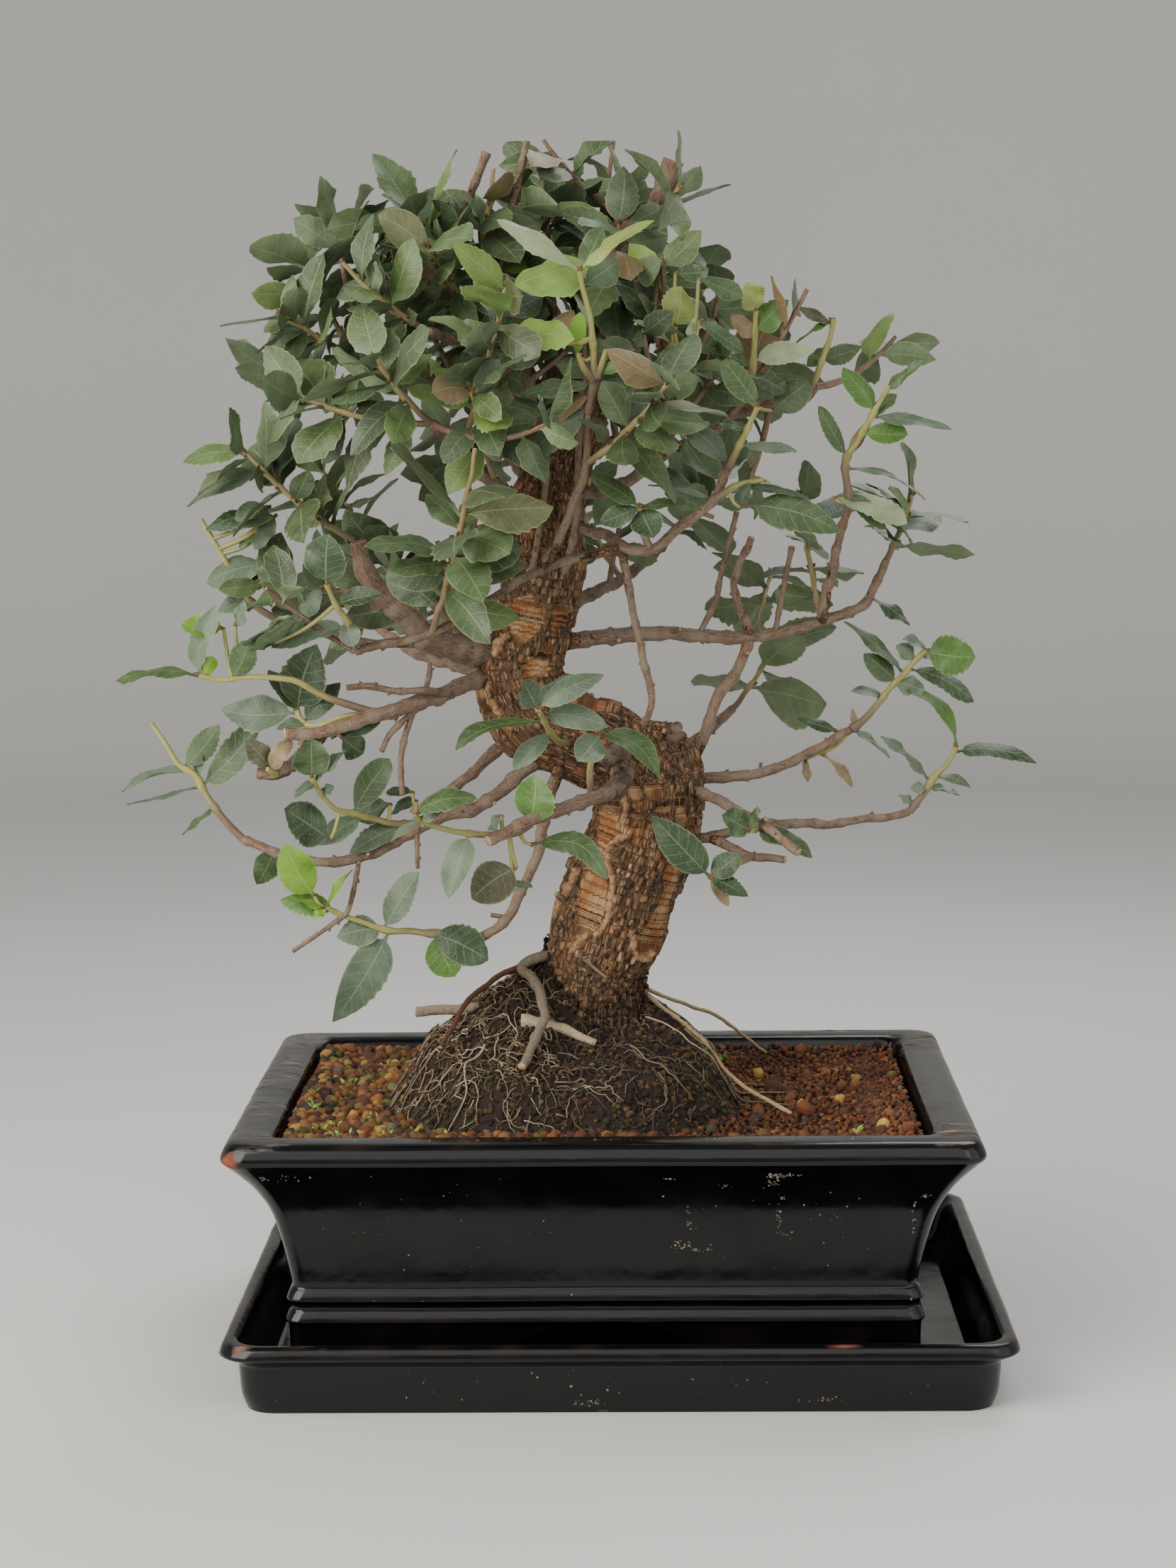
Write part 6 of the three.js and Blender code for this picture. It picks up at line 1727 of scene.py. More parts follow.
def aimed_leaf(side, azimuth, spread, wander, length, width, curl, cup):
    """A leaf on one side of a stem. Its upper face looks out of the crown and up."""
    along, outward, middle = side
    across = np.cross(along, outward)
    direction = along * math.cos(spread) + outward * math.sin(spread) * math.cos(azimuth)
    direction = direction + across * math.sin(spread) * math.sin(azimuth) - (0, 0, 0.12)
    direction = unit(direction)
    light = (middle - CROWN_AXIS) * (1, 1, 0)
    light = unit(light) * 0.6 + wander
    face = unit(light - direction * light.dot(direction))
    return Leaf(middle, direction, face, length, width, curl, cup)


def planned_leaf(shoot, number, attempt, side):
    def draw(low, high, channel):
        return between(low, high, shoot.index, number, attempt, channel)

    order = number // 2 / max(1, math.ceil(shoot.leaves / 2) - 1)
    azimuth = math.radians(draw(-34, 34, 1))
    spread = math.radians(76 - 36 * order + draw(-12, 12, 2))
    wander = np.array((draw(-0.45, 0.45, 3), draw(-0.45, 0.45, 4), draw(0.5, 1, 5)))
    length = shoot.leaf_length * draw(0.78, 1.14, 6) * (1 - 0.012 * attempt)
    width = length * LEAF_WIDTH * draw(0.88, 1.1, 7)
    return aimed_leaf(side, azimuth, spread, wander, length, width, draw(0.04, 0.2, 8), draw(0.06, 0.16, 9))


class Clearance:
    """Keeps blades clear of the wood, of the stems and of each other."""

    def __init__(self, wood):
        self.wood = wood
        self.middles = (wood[:, :3] + wood[:, 3:6]) / 2
        self.reaches = np.linalg.norm(wood[:, 3:6] - wood[:, :3], axis=1) / 2 + wood[:, 6]
        self.taken = np.zeros((0, 3))

    def is_free(self, samples, wood_spacing=WOOD_SPACING, leaf_spacing=LEAF_SPACING):
        if len(self.taken):
            low = samples.min(0) - leaf_spacing
            high = samples.max(0) + leaf_spacing
            close = self.taken[np.all((self.taken > low) & (self.taken < high), axis=1)]
            if len(close):
                away = np.linalg.norm(samples[:, None] - close[None], axis=-1)
                if away.min() < leaf_spacing:
                    return False
        middle = samples.mean(0)
        radius = np.linalg.norm(samples - middle, axis=1).max() + wood_spacing
        beside = self.wood[np.linalg.norm(self.middles - middle, axis=1) < self.reaches + radius]
        return not len(beside) or capsule_distances(samples, beside).min() >= wood_spacing

    def take(self, samples):
        self.taken = np.vstack([self.taken, samples])


def planned_shoots():
    """The shoots of the table, each with the leaves that the part's source gives it."""
    lines = wood_lines()
    knots = np.vstack([line[:, :3] for line in lines])
    wood = np.vstack([capsule_rows(line[:, :3], line[:, 3]) for line in lines])
    shoots = [Shoot(index, row, knots) for index, row in enumerate(SHOOTS)]
    shares = np.array((0, 0.2, 0.4, 0.6, 0.8, 1))
    twigs = np.vstack([capsule_rows(shoot.point(shares), shoot.radius(shares)) for shoot in shoots])
    clearance = Clearance(np.vstack([wood, twigs]))
    for shoot in shoots:
        shoot.start = shoot.clear_start(wood)
        shoot.grown = []
        taken = set()
        half = STALK_HALF / shoot.length
        for number in range(shoot.leaves):
            share = shoot.node_share(number // 2)
            lower = shoot.ring(share - half)
            upper = shoot.ring(share + half)
            for attempt in range(LEAF_TRIES):
                side_number = (2 * number + shoot.first_side + attempt // 5) % STEM_SIDES
                if (number // 2, side_number) in taken:
                    continue
                following = (side_number + 1) % STEM_SIDES
                corners = [lower[side_number], lower[following], upper[following], upper[side_number]]
                outward = unit(np.cross(corners[1] - corners[0], corners[3] - corners[0]))
                side = (unit(corners[3] - corners[0]), outward, sum(corners) / 4)
                leaf = planned_leaf(shoot, number, attempt, side)
                samples = leaf.samples()
                if clearance.is_free(samples):
                    clearance.take(samples)
                    taken.add((number // 2, side_number))
                    leaf.share = share
                    shoot.grown.append(leaf)
                    break
    return shoots, clearance


# Leaves that stand alone, as seen from the front. Each stem has the number of its shoot, the depth of the
# plane in which its places are given, its own depths at both ends, its line in x and z, and its leaves. A leaf
# has the x and z of its base and of its tip, its width, how far its tip lies behind its base, how far its face
# turns up from the viewer in degrees, its tint and how far its middle arches up
SEEN_STEMS = [
    (13, -72, -64, -76, [(-5.5, 347), (-5.5, 352), (-6, 362), (-7, 370), (-9, 378), (-10, 384)], [
        (-11, 385, -36, 403, 9, -6, 35, 7, 0), (-10, 386, -2, 399, 9, 2, 10, 1, 0),
        (-9, 385, 14, 402, 7, -2, 30, 8, 1.5), (-3.5, 361, -15, 385, 3.5, -3, 50, 7, 2),
        (-11, 356, -10, 371, 6, -4, 0, 3, 0), (-20, 361, -12, 372, 8, 2, 20, 4, 0),
        (-14, 361, -28, 356.5, 3, -3, 50, 0, 2), (-2, 351, 9, 355, 3, -3, 45, 6, 0),
        (-9, 348, -30, 345, 6, -4, 40, 1, 0), (-8, 340, -29, 323, 14, -4, 20, 0, 1),
        (-8, 343, -27, 333, 8, 3, 30, 4, 0), (-4, 344, 15, 341, 5, -3, 50, 0, 0),
        (-3, 346, 12, 349, 8, 3, 30, 1, 0)]),
    (13, -72, -66, -70, [(-6, 348), (-9, 352), (-11, 357)], []),
    (13, -72, -66, -68, [(-4.5, 348.5), (-3, 353), (-1.5, 358)], []),
    (20, -40, -30, -44, [(20, 352), (20, 359), (24, 359.5), (28, 359.5)], [
        (22, 366, 24, 380, 13, -4, 10, 8, 0), (20.5, 361, 8, 369.5, 5, -4, 40, 7, 0),
        (27.5, 360, 28, 369.5, 3, -2, 20, 7, 1), (24, 359, 13, 352, 5, -3, 40, 1, 0),
        (30, 368, 46, 357, 6, 3, 30, 1, 0), (22, 384, 34, 385, 8, 4, 30, 1, 0),
        (30, 382, 46, 376, 7, 6, 30, 1, 0)]),
    (28, -40, -24, -30, [(47, 346), (48.5, 354), (49, 362), (49.5, 371)], [
        (49.5, 371, 46.5, 381, 9, -2, 10, 8, 0), (50, 364, 61, 375, 10, 2, 15, 6, 0),
        (48, 362, 41, 370, 6, -3, 25, 4, 0), (51, 353, 70, 358, 10, -3, 25, 7, 0),
        (46, 345, 36, 356, 9, -4, 20, 1, 0), (55, 337, 68, 347, 12, 3, 15, 1, 0),
        (47, 352, 30, 361, 7, 3, 35, 1, 0), (52, 349, 60, 343, 6, 0, 30, 2, 0)]),
    (29, -40, 0, 2, [(67, 341), (70, 348), (72, 354), (75, 362), (76, 368)], [
        (76, 367, 63, 373, 4, -2, 30, 5, 0), (73, 353, 86, 359, 7.5, -2, 15, 1, 0),
        (72, 369, 62, 361, 3, -2, 40, 6, 0), (74, 357, 66, 352, 5, 2, 30, 1, 0)]),
    (21, -40, -52, -66, [(40, 318), (43, 324), (46.5, 331), (50, 338.5)], [
        (40, 319, 25, 334, 9, -3, 15, 0, 0), (40, 319, 47, 325, 6, -2, 20, 0, 0),
        (46, 324, 64, 323, 5, -2, 50, 0, 0), (49.5, 339, 38, 355, 9, -4, 20, 1, 0),
        (48, 330, 36, 334, 5, 2, 40, 1, 0)]),
    (22, -40, -54, -52, [(38, 309), (44, 312), (52, 313.5)], [
        (33, 307, 13, 315, 6, -4, 55, 0, 2), (41, 313, 68, 308, 4, -3, 50, 2, 1),
        (46, 305, 79, 297, 12, -6, 20, 1, 1.5), (44, 304, 47, 313, 6, -2, 20, 2, 0)]),
    (19, -40, -56, -70, [(9.5, 298), (9, 304.5)], [
        (8, 305, -8, 316, 9, -4, 30, 1, 1), (11, 305, 31, 305, 6, -4, 40, 1, 1),
        (9, 304, 14, 294, 11, -6, 10, 2, 0), (10, 306, -5, 300, 7, -4, 30, 2, 0)]),
    (30, -40, -18, -30, [(80, 319), (84, 326), (88, 333), (92, 340), (95, 345)], [
        (81, 321, 71, 339, 6.5, -3, 15, 1, 0), (90, 337, 79, 352, 9, -2, 15, 6, 0),
        (92, 344, 107, 354, 4, -2, 30, 1, 0), (88, 336, 98, 343, 7, 2, 25, 1, 0),
        (92, 333, 117, 330, 6, -4, 45, 0, 1), (90, 328, 102, 329, 9, -2, 20, 6, 0),
        (82, 318, 109, 310, 3.5, -4, 55, 0, 3), (76, 307, 102, 299, 12, -6, 35, 7, 2),
        (78, 308, 95, 296, 6, -2, 35, 1, 0), (80, 321, 89, 334, 5, 2, 20, 4, 0)]),
    (27, -45, -34, -38, [(-118, 268), (-125, 273), (-130, 280), (-134, 288), (-138, 295), (-142, 302)], [
        (-118, 303, -141, 301, 8, -4, 65, 2, 1), (-117, 286, -141, 280, 10, -6, 45, 0, 2),
        (-118, 306, -131, 299, 9, -4, 10, 1, 0), (-119, 298, -130, 293, 7, -2, 50, 1, 1),
        (-116, 303, -124, 291, 8, -6, 40, 0, 0), (-129, 278, -119, 283, 8, 2, 20, 1, 0),
        (-112, 266, -113, 282, 10, -4, 5, 1, 0), (-101, 278, -110, 267, 8, -6, 35, 0, 0),
        (-124, 273, -138, 270, 9, -3, 35, 0, 1)]),
    (44, -45, -62, -74, [(-91, 260), (-92, 266), (-96, 272), (-99, 279)], [
        (-91, 265, -119, 259, 10, -8, 30, 0, 1), (-98, 272, -80, 277, 8, -4, 40, 2, 0),
        (-88, 266, -90, 257, 7, -3, 10, 0, 0), (-99, 279, -98, 297, 14, -6, 0, 2, 0),
        (-117, 259, -127, 256, 6, -2, 50, 1, 0)]),
    (41, -45, -50, -56, [(-100, 240), (-110, 245.5), (-120, 247), (-130, 247), (-137, 246), (-144, 248)], [
        (-145, 248, -173, 250, 8, -4, 66, 1, 2), (-135, 264, -150, 266, 10, -4, 20, 3, 0),
        (-146, 250, -140, 272, 9, -6, 35, 0, 1), (-143, 247, -139, 255, 6, -2, 10, 3, 0),
        (-133, 247, -126, 260.5, 10, -5, 0, 1, 0), (-131, 265, -128, 274, 8, -3, 40, 0, 0)]),
    (40, -45, -50, -40, [(-94, 233), (-103, 230), (-108, 231), (-110, 235)], [
        (-110, 235, -103, 258, 16, -4, 0, 2, 0), (-110, 235, -119, 251, 11, 2, 30, 1, 0),
        (-111, 234, -138, 238.5, 13, 6, 30, 0, -3), (-107, 232, -95, 246, 10, 4, 20, 2, 0),
        (-98, 226, -80, 237, 9, 8, 30, 2, 0), (-95, 226, -86, 220, 9, 6, 20, 2, 0),
        (-107, 230, -118, 229, 6, -3, 30, 0, 1)]),
    (42, -45, -22, -22, [(-137, 198), (-143, 207), (-146, 213), (-152, 217), (-156, 224), (-161, 231.5)], [
        (-149, 215, -137, 231, 9, -4, 10, 1, 0), (-140, 211, -123.5, 231, 11, -5, 5, 1, 0),
        (-148, 214.5, -173, 209.5, 9, -4, 60, 0, 4), (-145, 210, -171, 203, 8, 0, 68, 0, 1),
        (-139.5, 201.5, -152.5, 193, 6, -2, 55, 1, 0), (-142, 212, -144, 224, 6, 0, 45, 0, 0),
        (-119, 187, -126, 174, 9, -3, 5, 1, 0)]),
    (45, -45, -55, -60, [(-118, 213), (-121, 215)], [
        (-117, 214, -128, 226, 8, -3, 30, 5, 0), (-119, 217, -113, 226, 6, -2, 20, 4, 0)]),
    (46, -50, -26, -54, [(-75, 196), (-84, 198), (-91, 200), (-97, 201.5), (-102, 207), (-105, 212.5)], [
        (-105, 212, -105, 226, 13, -6, 0, 1, 0), (-103, 212, -93, 223, 7, -2, 55, 0, 0),
        (-91, 201, -78, 219, 10, -4, 5, 1, 0), (-99, 191, -115, 202, 14, -8, 5, 2, 0),
        (-103, 211, -112, 206, 6, -3, 40, 0, 0), (-102, 206, -97, 209.5, 4, -2, 30, 0, 0),
        (-78, 203, -91, 199, 9, 4, 30, 2, 0), (-69, 204, -79, 200, 7, 3, 35, 2, 0),
        (-88, 197, -104, 189.5, 9, -6, 30, 0, 0), (-73, 198, -93, 187, 10, -8, 30, 0, 0),
        (-70, 207, -80, 208, 6, 2, 45, 2, 0)]),
    (47, -60, -60, -84, [(-33, 194.5), (-42, 193.5), (-50, 194), (-58, 195.5), (-66, 198), (-69, 201)], [
        (-68, 204, -48, 208, 10, -4, 35, 1, 2), (-68, 199, -58, 203, 5, -2, 30, 0, 0),
        (-68, 198, -78, 192, 5, -4, 40, 0, 0), (-50, 192, -58, 171, 11, -6, 20, 0, 0),
        (-34, 182, -50, 171, 15, -4, 0, 5, 0), (-30, 197.5, -27, 215, 13, 2, 0, 6, 0),
        (-39, 200, -45, 195.5, 6, 2, 40, 0, 0), (-29, 190, -2, 180, 10, -6, 35, 1, 6),
        (-35, 177, -28, 175, 4, -2, 30, 0, 0)]),
    (43, -50, -32, -42, [(-57, 157.5), (-65, 157.5), (-72, 158.5), (-79, 158.5), (-88, 161.5), (-96, 164.5),
        (-101, 167)], [
        (-80, 160, -68, 179.5, 11, -5, 10, 0, 0), (-81, 161, -98, 156.5, 13, -3, 15, 0, 1),
        (-79, 157, -100, 126, 16, -8, 5, 0, 0), (-65, 157.5, -45, 148, 15, -6, 0, 2, 0),
        (-62, 153, -56, 142, 13, -4, 15, 6, 0), (-105, 171, -115, 189.5, 13, -6, 0, 3, 0),
        (-97, 166, -117, 171, 10, -2, 25, 6, 0), (-104, 169, -114, 171, 4, -4, 55, 3, 0),
        (-101, 167, -93, 181, 5, -4, 50, 3, 0), (-101, 167, -106, 163, 4, -3, 30, 3, 0)]),
    (48, -60, -26, -66, [(-18, 225), (-22, 229), (-24, 233), (-26, 237)], [
        (-24, 239, -4, 249.5, 9, -3, 20, 0, 1), (-26.5, 237, -31, 247, 10, -3, 10, 2, 0),
        (-26, 238, -14, 250, 8, 4, 30, 0, 0), (-25, 232, -55, 223, 8, -2, 58, 1, 5),
        (-22, 229, -35, 216, 8, -6, 15, 0, 0), (-22, 236, -2, 232, 8, -4, 25, 0, 1)]),
    (48, -60, -34, -46, [(-8, 206), (-8.5, 215), (-7, 222), (-5.5, 228)], [
        (-6, 228.5, -13, 218.5, 11, -4, 5, 0, 0), (-4, 228, 16, 214, 10, -8, 30, 1, 5)]),
    (49, -30, -27, -30, [(48.5, 190.5), (47, 190)], [
        (47, 190.5, 37, 196, 9, -6, 25, 1, 0), (46, 191, 50, 199, 5, -3, 40, 1, 0),
        (52, 188, 70, 181, 8, -4, 40, 1, 2)]),
    (49, -30, -16, -34, [(48, 181), (43, 178.5), (37, 175.5), (33, 173.5)], [
        (31, 173, 13.5, 194.5, 14, -8, 0, 2, 0), (33, 174, 44, 182, 9, -3, 10, 2, 0),
        (33, 173, 47, 167, 8, -4, 20, 2, 0), (35, 170.5, 40, 162.5, 5, -2, 10, 4, 0)]),
    (50, 14, 15, 13, [(109, 193), (113, 198), (116, 203), (121, 208), (124, 214)], [
        (123, 214, 106, 236, 8, -4, 35, 6, 8), (123, 211, 154, 209, 9, -4, 40, 2, 4),
        (114, 202, 98, 220, 6, -2, 70, 0, 1), (117, 203, 130, 199, 5, -4, 40, 0, 2),
        (115, 199, 107, 199, 5, -2, 50, 0, 0), (115, 198.5, 126, 196.5, 5, -3, 50, 0, 0),
        (108, 195, 103, 197, 3, -2, 40, 0, 0)]),
    (51, 14, 14, 14, [(92, 226), (100, 236), (105, 241), (109, 246), (113, 249.5)], [
        (113, 249, 131, 247, 13, -6, 5, 6, 0), (104, 243, 83, 261, 9, -4, 50, 1, 2),
        (102, 237, 90, 249, 9, -5, 30, 1, 0), (109, 246, 102, 252, 6, -3, 40, 0, 1),
        (112, 250, 104, 254, 6, -3, 40, 0, 1), (110, 247, 118.5, 247, 6, 2, 45, 0, 0),
        (107, 241, 131, 230.5, 9, -6, 35, 2, 3), (103, 236, 113, 235, 8, -4, 40, 0, 0),
        (96, 233, 85, 235, 6, -2, 35, 2, 1), (81, 220, 66, 226, 5, 2, 50, 2, 0),
        (86, 221, 101, 211, 5, -4, 50, 0, 0), (88, 222, 86, 229, 2.5, -2, 20, 4, 0),
        (75, 212, 88, 201, 5, -3, 55, 4, 1), (69, 210, 70, 201, 4, -2, 30, 4, 0)]),
    (51, 14, 20, 20, [(91, 268), (92, 269.5)], [(92, 269, 108, 259.5, 7, -3, 62, 2, 0)]),
]
# The first tint, a pale grey-green, is a painted grazing sheen on dark leaves
SEEN_TINTS = (0x5e7059, 0x455d34, 0x33482a, 0x6b981e, 0x86704f, 0x4d4c33, 0x50762a, 0x8f9d76, 0x839348)


def along_sight(x, z, plane, depth):
    """The place at a depth that the camera sees where it sees the given place of a plane."""
    eye = np.array(CAMERA_PLACE)
    place = np.array((x, plane, z), float)
    return eye + (place - eye) * (depth - eye[1]) / (plane - eye[1])


def seen_leaf(line, plane, row):
    """A leaf as seen from the front. Its base is drawn onto the stem where that is near."""
    x0, z0, x1, z1, width, back, turn, tint, bow = row
    flat = np.array([along_sight(x0, z0, plane, place[1]) for place in line])
    nearest = np.argmin(np.linalg.norm((flat - line)[:, (0, 2)], axis=1))
    foot = line[nearest]
    seat = flat[nearest]
    base = foot if np.linalg.norm(seat - foot) < 5 else seat
    tip = along_sight(x1, z1, plane, base[1] + back)
    direction = unit(tip - base)
    toward = unit(np.array(CAMERA_PLACE) - base)
    toward = unit(toward - direction * toward.dot(direction))
    upward = np.cross(direction, toward)
    upward = upward * np.sign(upward[2])
    face = toward * math.cos(math.radians(turn)) + upward * math.sin(math.radians(turn))
    leaf = Leaf(base, direction, face, np.linalg.norm(tip - base), width, 0.03, 0.05)
    leaf.bow = bow * np.sign(leaf.side[2])
    leaf.tint = tint
    leaf.twig = None if base is foot else (foot, seat)
    return leaf


def seen_stem(shoot, is_first, plane, near_depth, far_depth, places):
    """The line of a stem whose places were seen in one plane. A shoot's first stem starts at its knot."""
    depths = np.linspace(near_depth, far_depth, len(places))
    line = [along_sight(x, z, plane, depth) for (x, z), depth in zip(places, depths)]
    if is_first:
        line.insert(0, shoot.root)
    return spline(line, 2.2)


def grow_leaves(draws, clearance, stem, wanted, length, spread, wood_spacing, leaf_spacing, tries):
    """Leaves at random places of a stem, which is a function that gives place, direction and radius."""
    grown = []
    for _ in range(wanted * tries):
        if len(grown) == wanted:
            break
        share = draws.random()
        place, along, radius = stem(share)
        outward = unit(np.cross(along, unit(draws.normal(size=3))))
        wander = np.array((*draws.uniform(-spread, spread, 2), draws.uniform(-0.2, 1.0)))
        size = length * draws.uniform(0.55, 1.05)
        side = (along, outward, place + outward * radius * 0.8)
        azimuth = draws.uniform(-0.6, 0.6)
        turned = math.radians(draws.uniform(34, 84))
        width = size * draws.uniform(0.44, 0.62)
        curl = draws.uniform(-0.05, 0.3)
        leaf = aimed_leaf(side, azimuth, turned, wander, size, width, curl, draws.uniform(0.02, 0.24))
        samples = leaf.samples(5)
        if clearance.is_free(samples, wood_spacing, leaf_spacing) and inside_box(samples):
            clearance.take(samples)
            leaf.share = share
            grown.append(leaf)
    return grown


def grow_fill(shoots, clearance, fill):
    """Smaller leaves that crowd the stems between the planned ones, packed closer."""
    draws = np.random.default_rng(11)
    for shoot in shoots:
        low = min(shoot.start + 0.12, 0.6)
        high = low + (shoot.leafy_end - low) * (0.8 if shoot.bare else 1)

        def stem(share):
            share = low + (high - low) * share
            along = unit(shoot.point(share + 0.01) - shoot.point(share - 0.01))
            return shoot.point(share), along, shoot.radius(share)

        on_left = smooth(215, 245, shoot.tip[2]) * smooth(-50, -75, shoot.tip[0])
        crowd = max(smooth(290, 325, shoot.tip[2]), 0.4 * on_left)
        wanted = round(fill * crowd * (3 + shoot.length / 8))
        leaves = grow_leaves(draws, clearance, stem, wanted, shoot.leaf_length * 0.92, 0.8, 1.3, 1.6, 6)
        for leaf in leaves:
            leaf.share = low + (high - low) * leaf.share
        shoot.grown += leaves


def inner_twigs(clearance, fill):
    """Twigs on the limbs inside the crown: each a line with radii and its leaves near the end."""
    draws = np.random.default_rng(29)
    twigs = []
    for line in wood_lines()[2:]:
        for place in spline(line, 7.0)[1:]:
            height = place[2]
            behind = smooth(20, 40, place[1]) * smooth(250, 280, height)
            on_left = smooth(-45, -60, place[0]) * smooth(235, 250, height)
            if draws.random() > fill * max(0.6 * smooth(305, 335, height) + 0.3 * behind, 0.25 * on_left):
                continue
            away = place[:3] - (CROWN_AXIS + (0, 0, 270))
            way = unit(unit(away) * 0.5 + draws.normal(size=3) * 0.7 + (0, 0, 0.45))
            reach = draws.uniform(20, 50)
            bend = draws.normal(size=3) * 0.12 * reach
            shares = np.linspace(0, 1, max(6, round(reach / 2.6)))[:, None]
            path = place[:3] + way * reach * shares + bend * shares * (1 - shares)
            path = path + (0, 0, 0.2) * shares**2 * reach
            if not inside_box(path):
                continue
            radii = np.linspace(min(1.3, place[3] * 0.8), 0.7, len(path))

            def stem(share):
                index = (0.5 + 0.5 * share) * (len(path) - 1)
                low = min(int(index), len(path) - 2)
                step = path[low + 1] - path[low]
                return path[low] + step * (index - low), unit(step), radii[low]

            wanted = int(draws.integers(3, 8))
            leaves = grow_leaves(draws, clearance, stem, wanted, 25, 1.0, 1.2, 1.4, 6)
            if leaves:
                twigs.append((np.column_stack([path, radii]), leaves))
    return twigs


def inside_box(places):
    low, high = (np.array(corner) / MM for corner in CAD_BOX)
    return bool(np.all(places > low + 1) and np.all(places < high - 1))


STALK_SHARE = 0.11
STALK_SINK = 0.6
BLADE_EDGE = 65
HALF_COLUMNS = 2
SHOOT_SIDES = 9


def blade_outline(shares, draws):
    """Half the blade's width along its length: rounded at the base, widest near the middle, and toothed."""
    inner = ((shares - STALK_SHARE) / (1 - STALK_SHARE)).clip(0, 1)
    base = draws.uniform(0.48, 0.85)
    tip = draws.uniform(0.55, 0.95)
    widest = base / (base + tip)
    half = (inner / widest) ** base * ((1 - inner) / (1 - widest)) ** tip
    # Teeth point forward: each rises slowly and drops back at once
    saw = (np.arange(len(shares)) % 2) * smooth(0.15, 0.35, inner) * smooth(1.02, 0.85, inner)
    depth = draws.uniform(0.0, 0.14) * draws.uniform(0.4, 1.4, len(shares))
    return half * (1 - depth * saw)


def add_leaf(shape, leaf, draws, tint, below, thickness, steps):
    """One leathery blade: an upper and a lower skin that meet in a thin edge, on a stalk."""
    shares = np.linspace(0, 1, steps + 1) ** 0.95
    shares[1::2] -= 0.25 / steps
    columns = np.arange(-HALF_COLUMNS, HALF_COLUMNS + 1) / HALF_COLUMNS
    across = columns[None]
    leaf.origin = leaf.origin - STALK_SINK * leaf.direction
    fat = draws.uniform(0.95, 1.15)
    stalk = 1.0 / leaf.width
    left = np.maximum(blade_outline(shares, draws) * fat, stalk)
    right = np.maximum(blade_outline(shares, draws) * fat * draws.uniform(0.9, 1.05), stalk)
    left[-1] = right[-1] = 0.03
    share = shares[:, None] + 0 * across
    sideways = np.where(across < 0, left[:, None], right[:, None]) * across
    half = np.abs(sideways)
    bow = leaf.bow * 2 / leaf.width if leaf.bow else draws.uniform(-0.18, 0.18)
    sideways = sideways + bow * np.sin(math.pi * share)
    # The edges wave, the halves fold up a little, the tip turns down and the whole blade may twist
    phase = draws.uniform(0, 6)
    wave = draws.uniform(0.2, 1.3) * np.sin(share * draws.uniform(7, 14) + phase + across * 1.8) * half**1.4
    fold = draws.uniform(-0.06, 0.22) * leaf.width * half
    quilt = 0.12 * np.cos(46 * (share - 0.16 * np.abs(across))) * np.abs(across)
    roll = draws.uniform(-0.35, 0.35) * leaf.width * share * sideways
    droop = draws.uniform(-0.16, 0.05) * leaf.length * smooth(0.4, 1.2, share)
    lift = wave + fold + quilt + roll + droop
    rib = np.exp(-((across / 0.2) ** 2))
    thick = thickness / 2 * (1 - 0.6 * across**2) * (1 + 1.2 * rib * (1 - 0.7 * share))
    thick = thick + 0.35 * smooth(STALK_SHARE + 0.06, 0.0, share)
    upper = leaf.point(share, sideways, lift + thick * 0.55)
    lower = leaf.point(share, sideways, lift - thick * (1 + 0.4 * rib))
    rows, width = share.shape
    points = np.concatenate([upper, lower[:, 1:-1]], 1)
    blade = np.stack([share, across + 0 * share, np.full_like(share, draws.random())], -1)
    blade = np.concatenate([blade, blade[:, 1:-1]], 1)
    # A row holds the upper points from edge to edge, then the lower ones between the edges
    across_count = points.shape[1]
    over = list(range(width))
    under = [0, *range(width, across_count), width - 1]
    faces = []
    slots = []
    for row in range(rows - 1):
        a = row * across_count
        b = a + across_count
        for i in range(width - 1):
            faces.append((a + over[i], a + over[i + 1], b + over[i + 1], b + over[i]))
            faces.append((a + under[i], b + under[i], b + under[i + 1], a + under[i + 1]))
            slots += [0, 1]
    rim = over + under[-2:0:-1]
    faces.append([*reversed(rim)])
    faces.append([(rows - 1) * across_count + i for i in rim])
    slots += [1, 1]
    shape.add(points.reshape(-1, 3), faces, slots, blade=blade.reshape(-1, 3), tint=tint, tint_below=below,
              grain=points.reshape(-1, 3))


SHOOT_MATERIALS = ["leaf_upper_waxy", "leaf_underside_felted", "young_stem_green", "wood_cut_dry"]
TWIG_MATERIALS = ["leaf_upper_waxy", "leaf_underside_felted", "limb_bark_thin", "wood_cut_dry"]
# Share of new growth at the tips of a few shoots
YOUNG_SHOOTS = {12: 0.6, 13: 1.0, 16: 0.5, 22: 0.3, 29: 0.7, 43: 0.3}
LEAF_TINTS = (0x3f5238, 0x47583e, 0x3a4c38, 0x4d5f3a, 0x44523f, 0x526b34, 0x565c46)


def leaf_tints(draws, tree, youth):
    """Upper and lower tints of a leaf. Young ones are yellow-green, and a few old ones bronzed or dry."""
    upper = tint_of(LEAF_TINTS[draws.integers(0, len(LEAF_TINTS))])
    upper = upper * 0.6 + np.array(tree.leaf[:3]) * 0.4
    young = np.array(tree.young_leaf[:3])
    below = np.array(tree.underside[:3])
    share = draws.uniform(0.6, 1) if draws.random() < youth else draws.uniform(0, 0.12)
    upper = upper * (1 - share) + young * share
    below = below * (1 - share * 0.6) + young * share * 0.6
    upper = upper * (1.04, 1, 1.06) * draws.uniform(0.8, 1.4)
    chance_dry = draws.random()
    if chance_dry < 0.025:
        upper = tint_of(0x7d6a4a)
        below = upper * 1.2
    elif chance_dry < 0.08:
        upper = upper * 0.55 + tint_of(0x6f6440) * 0.45
    return upper, below * draws.uniform(0.85, 1.12)


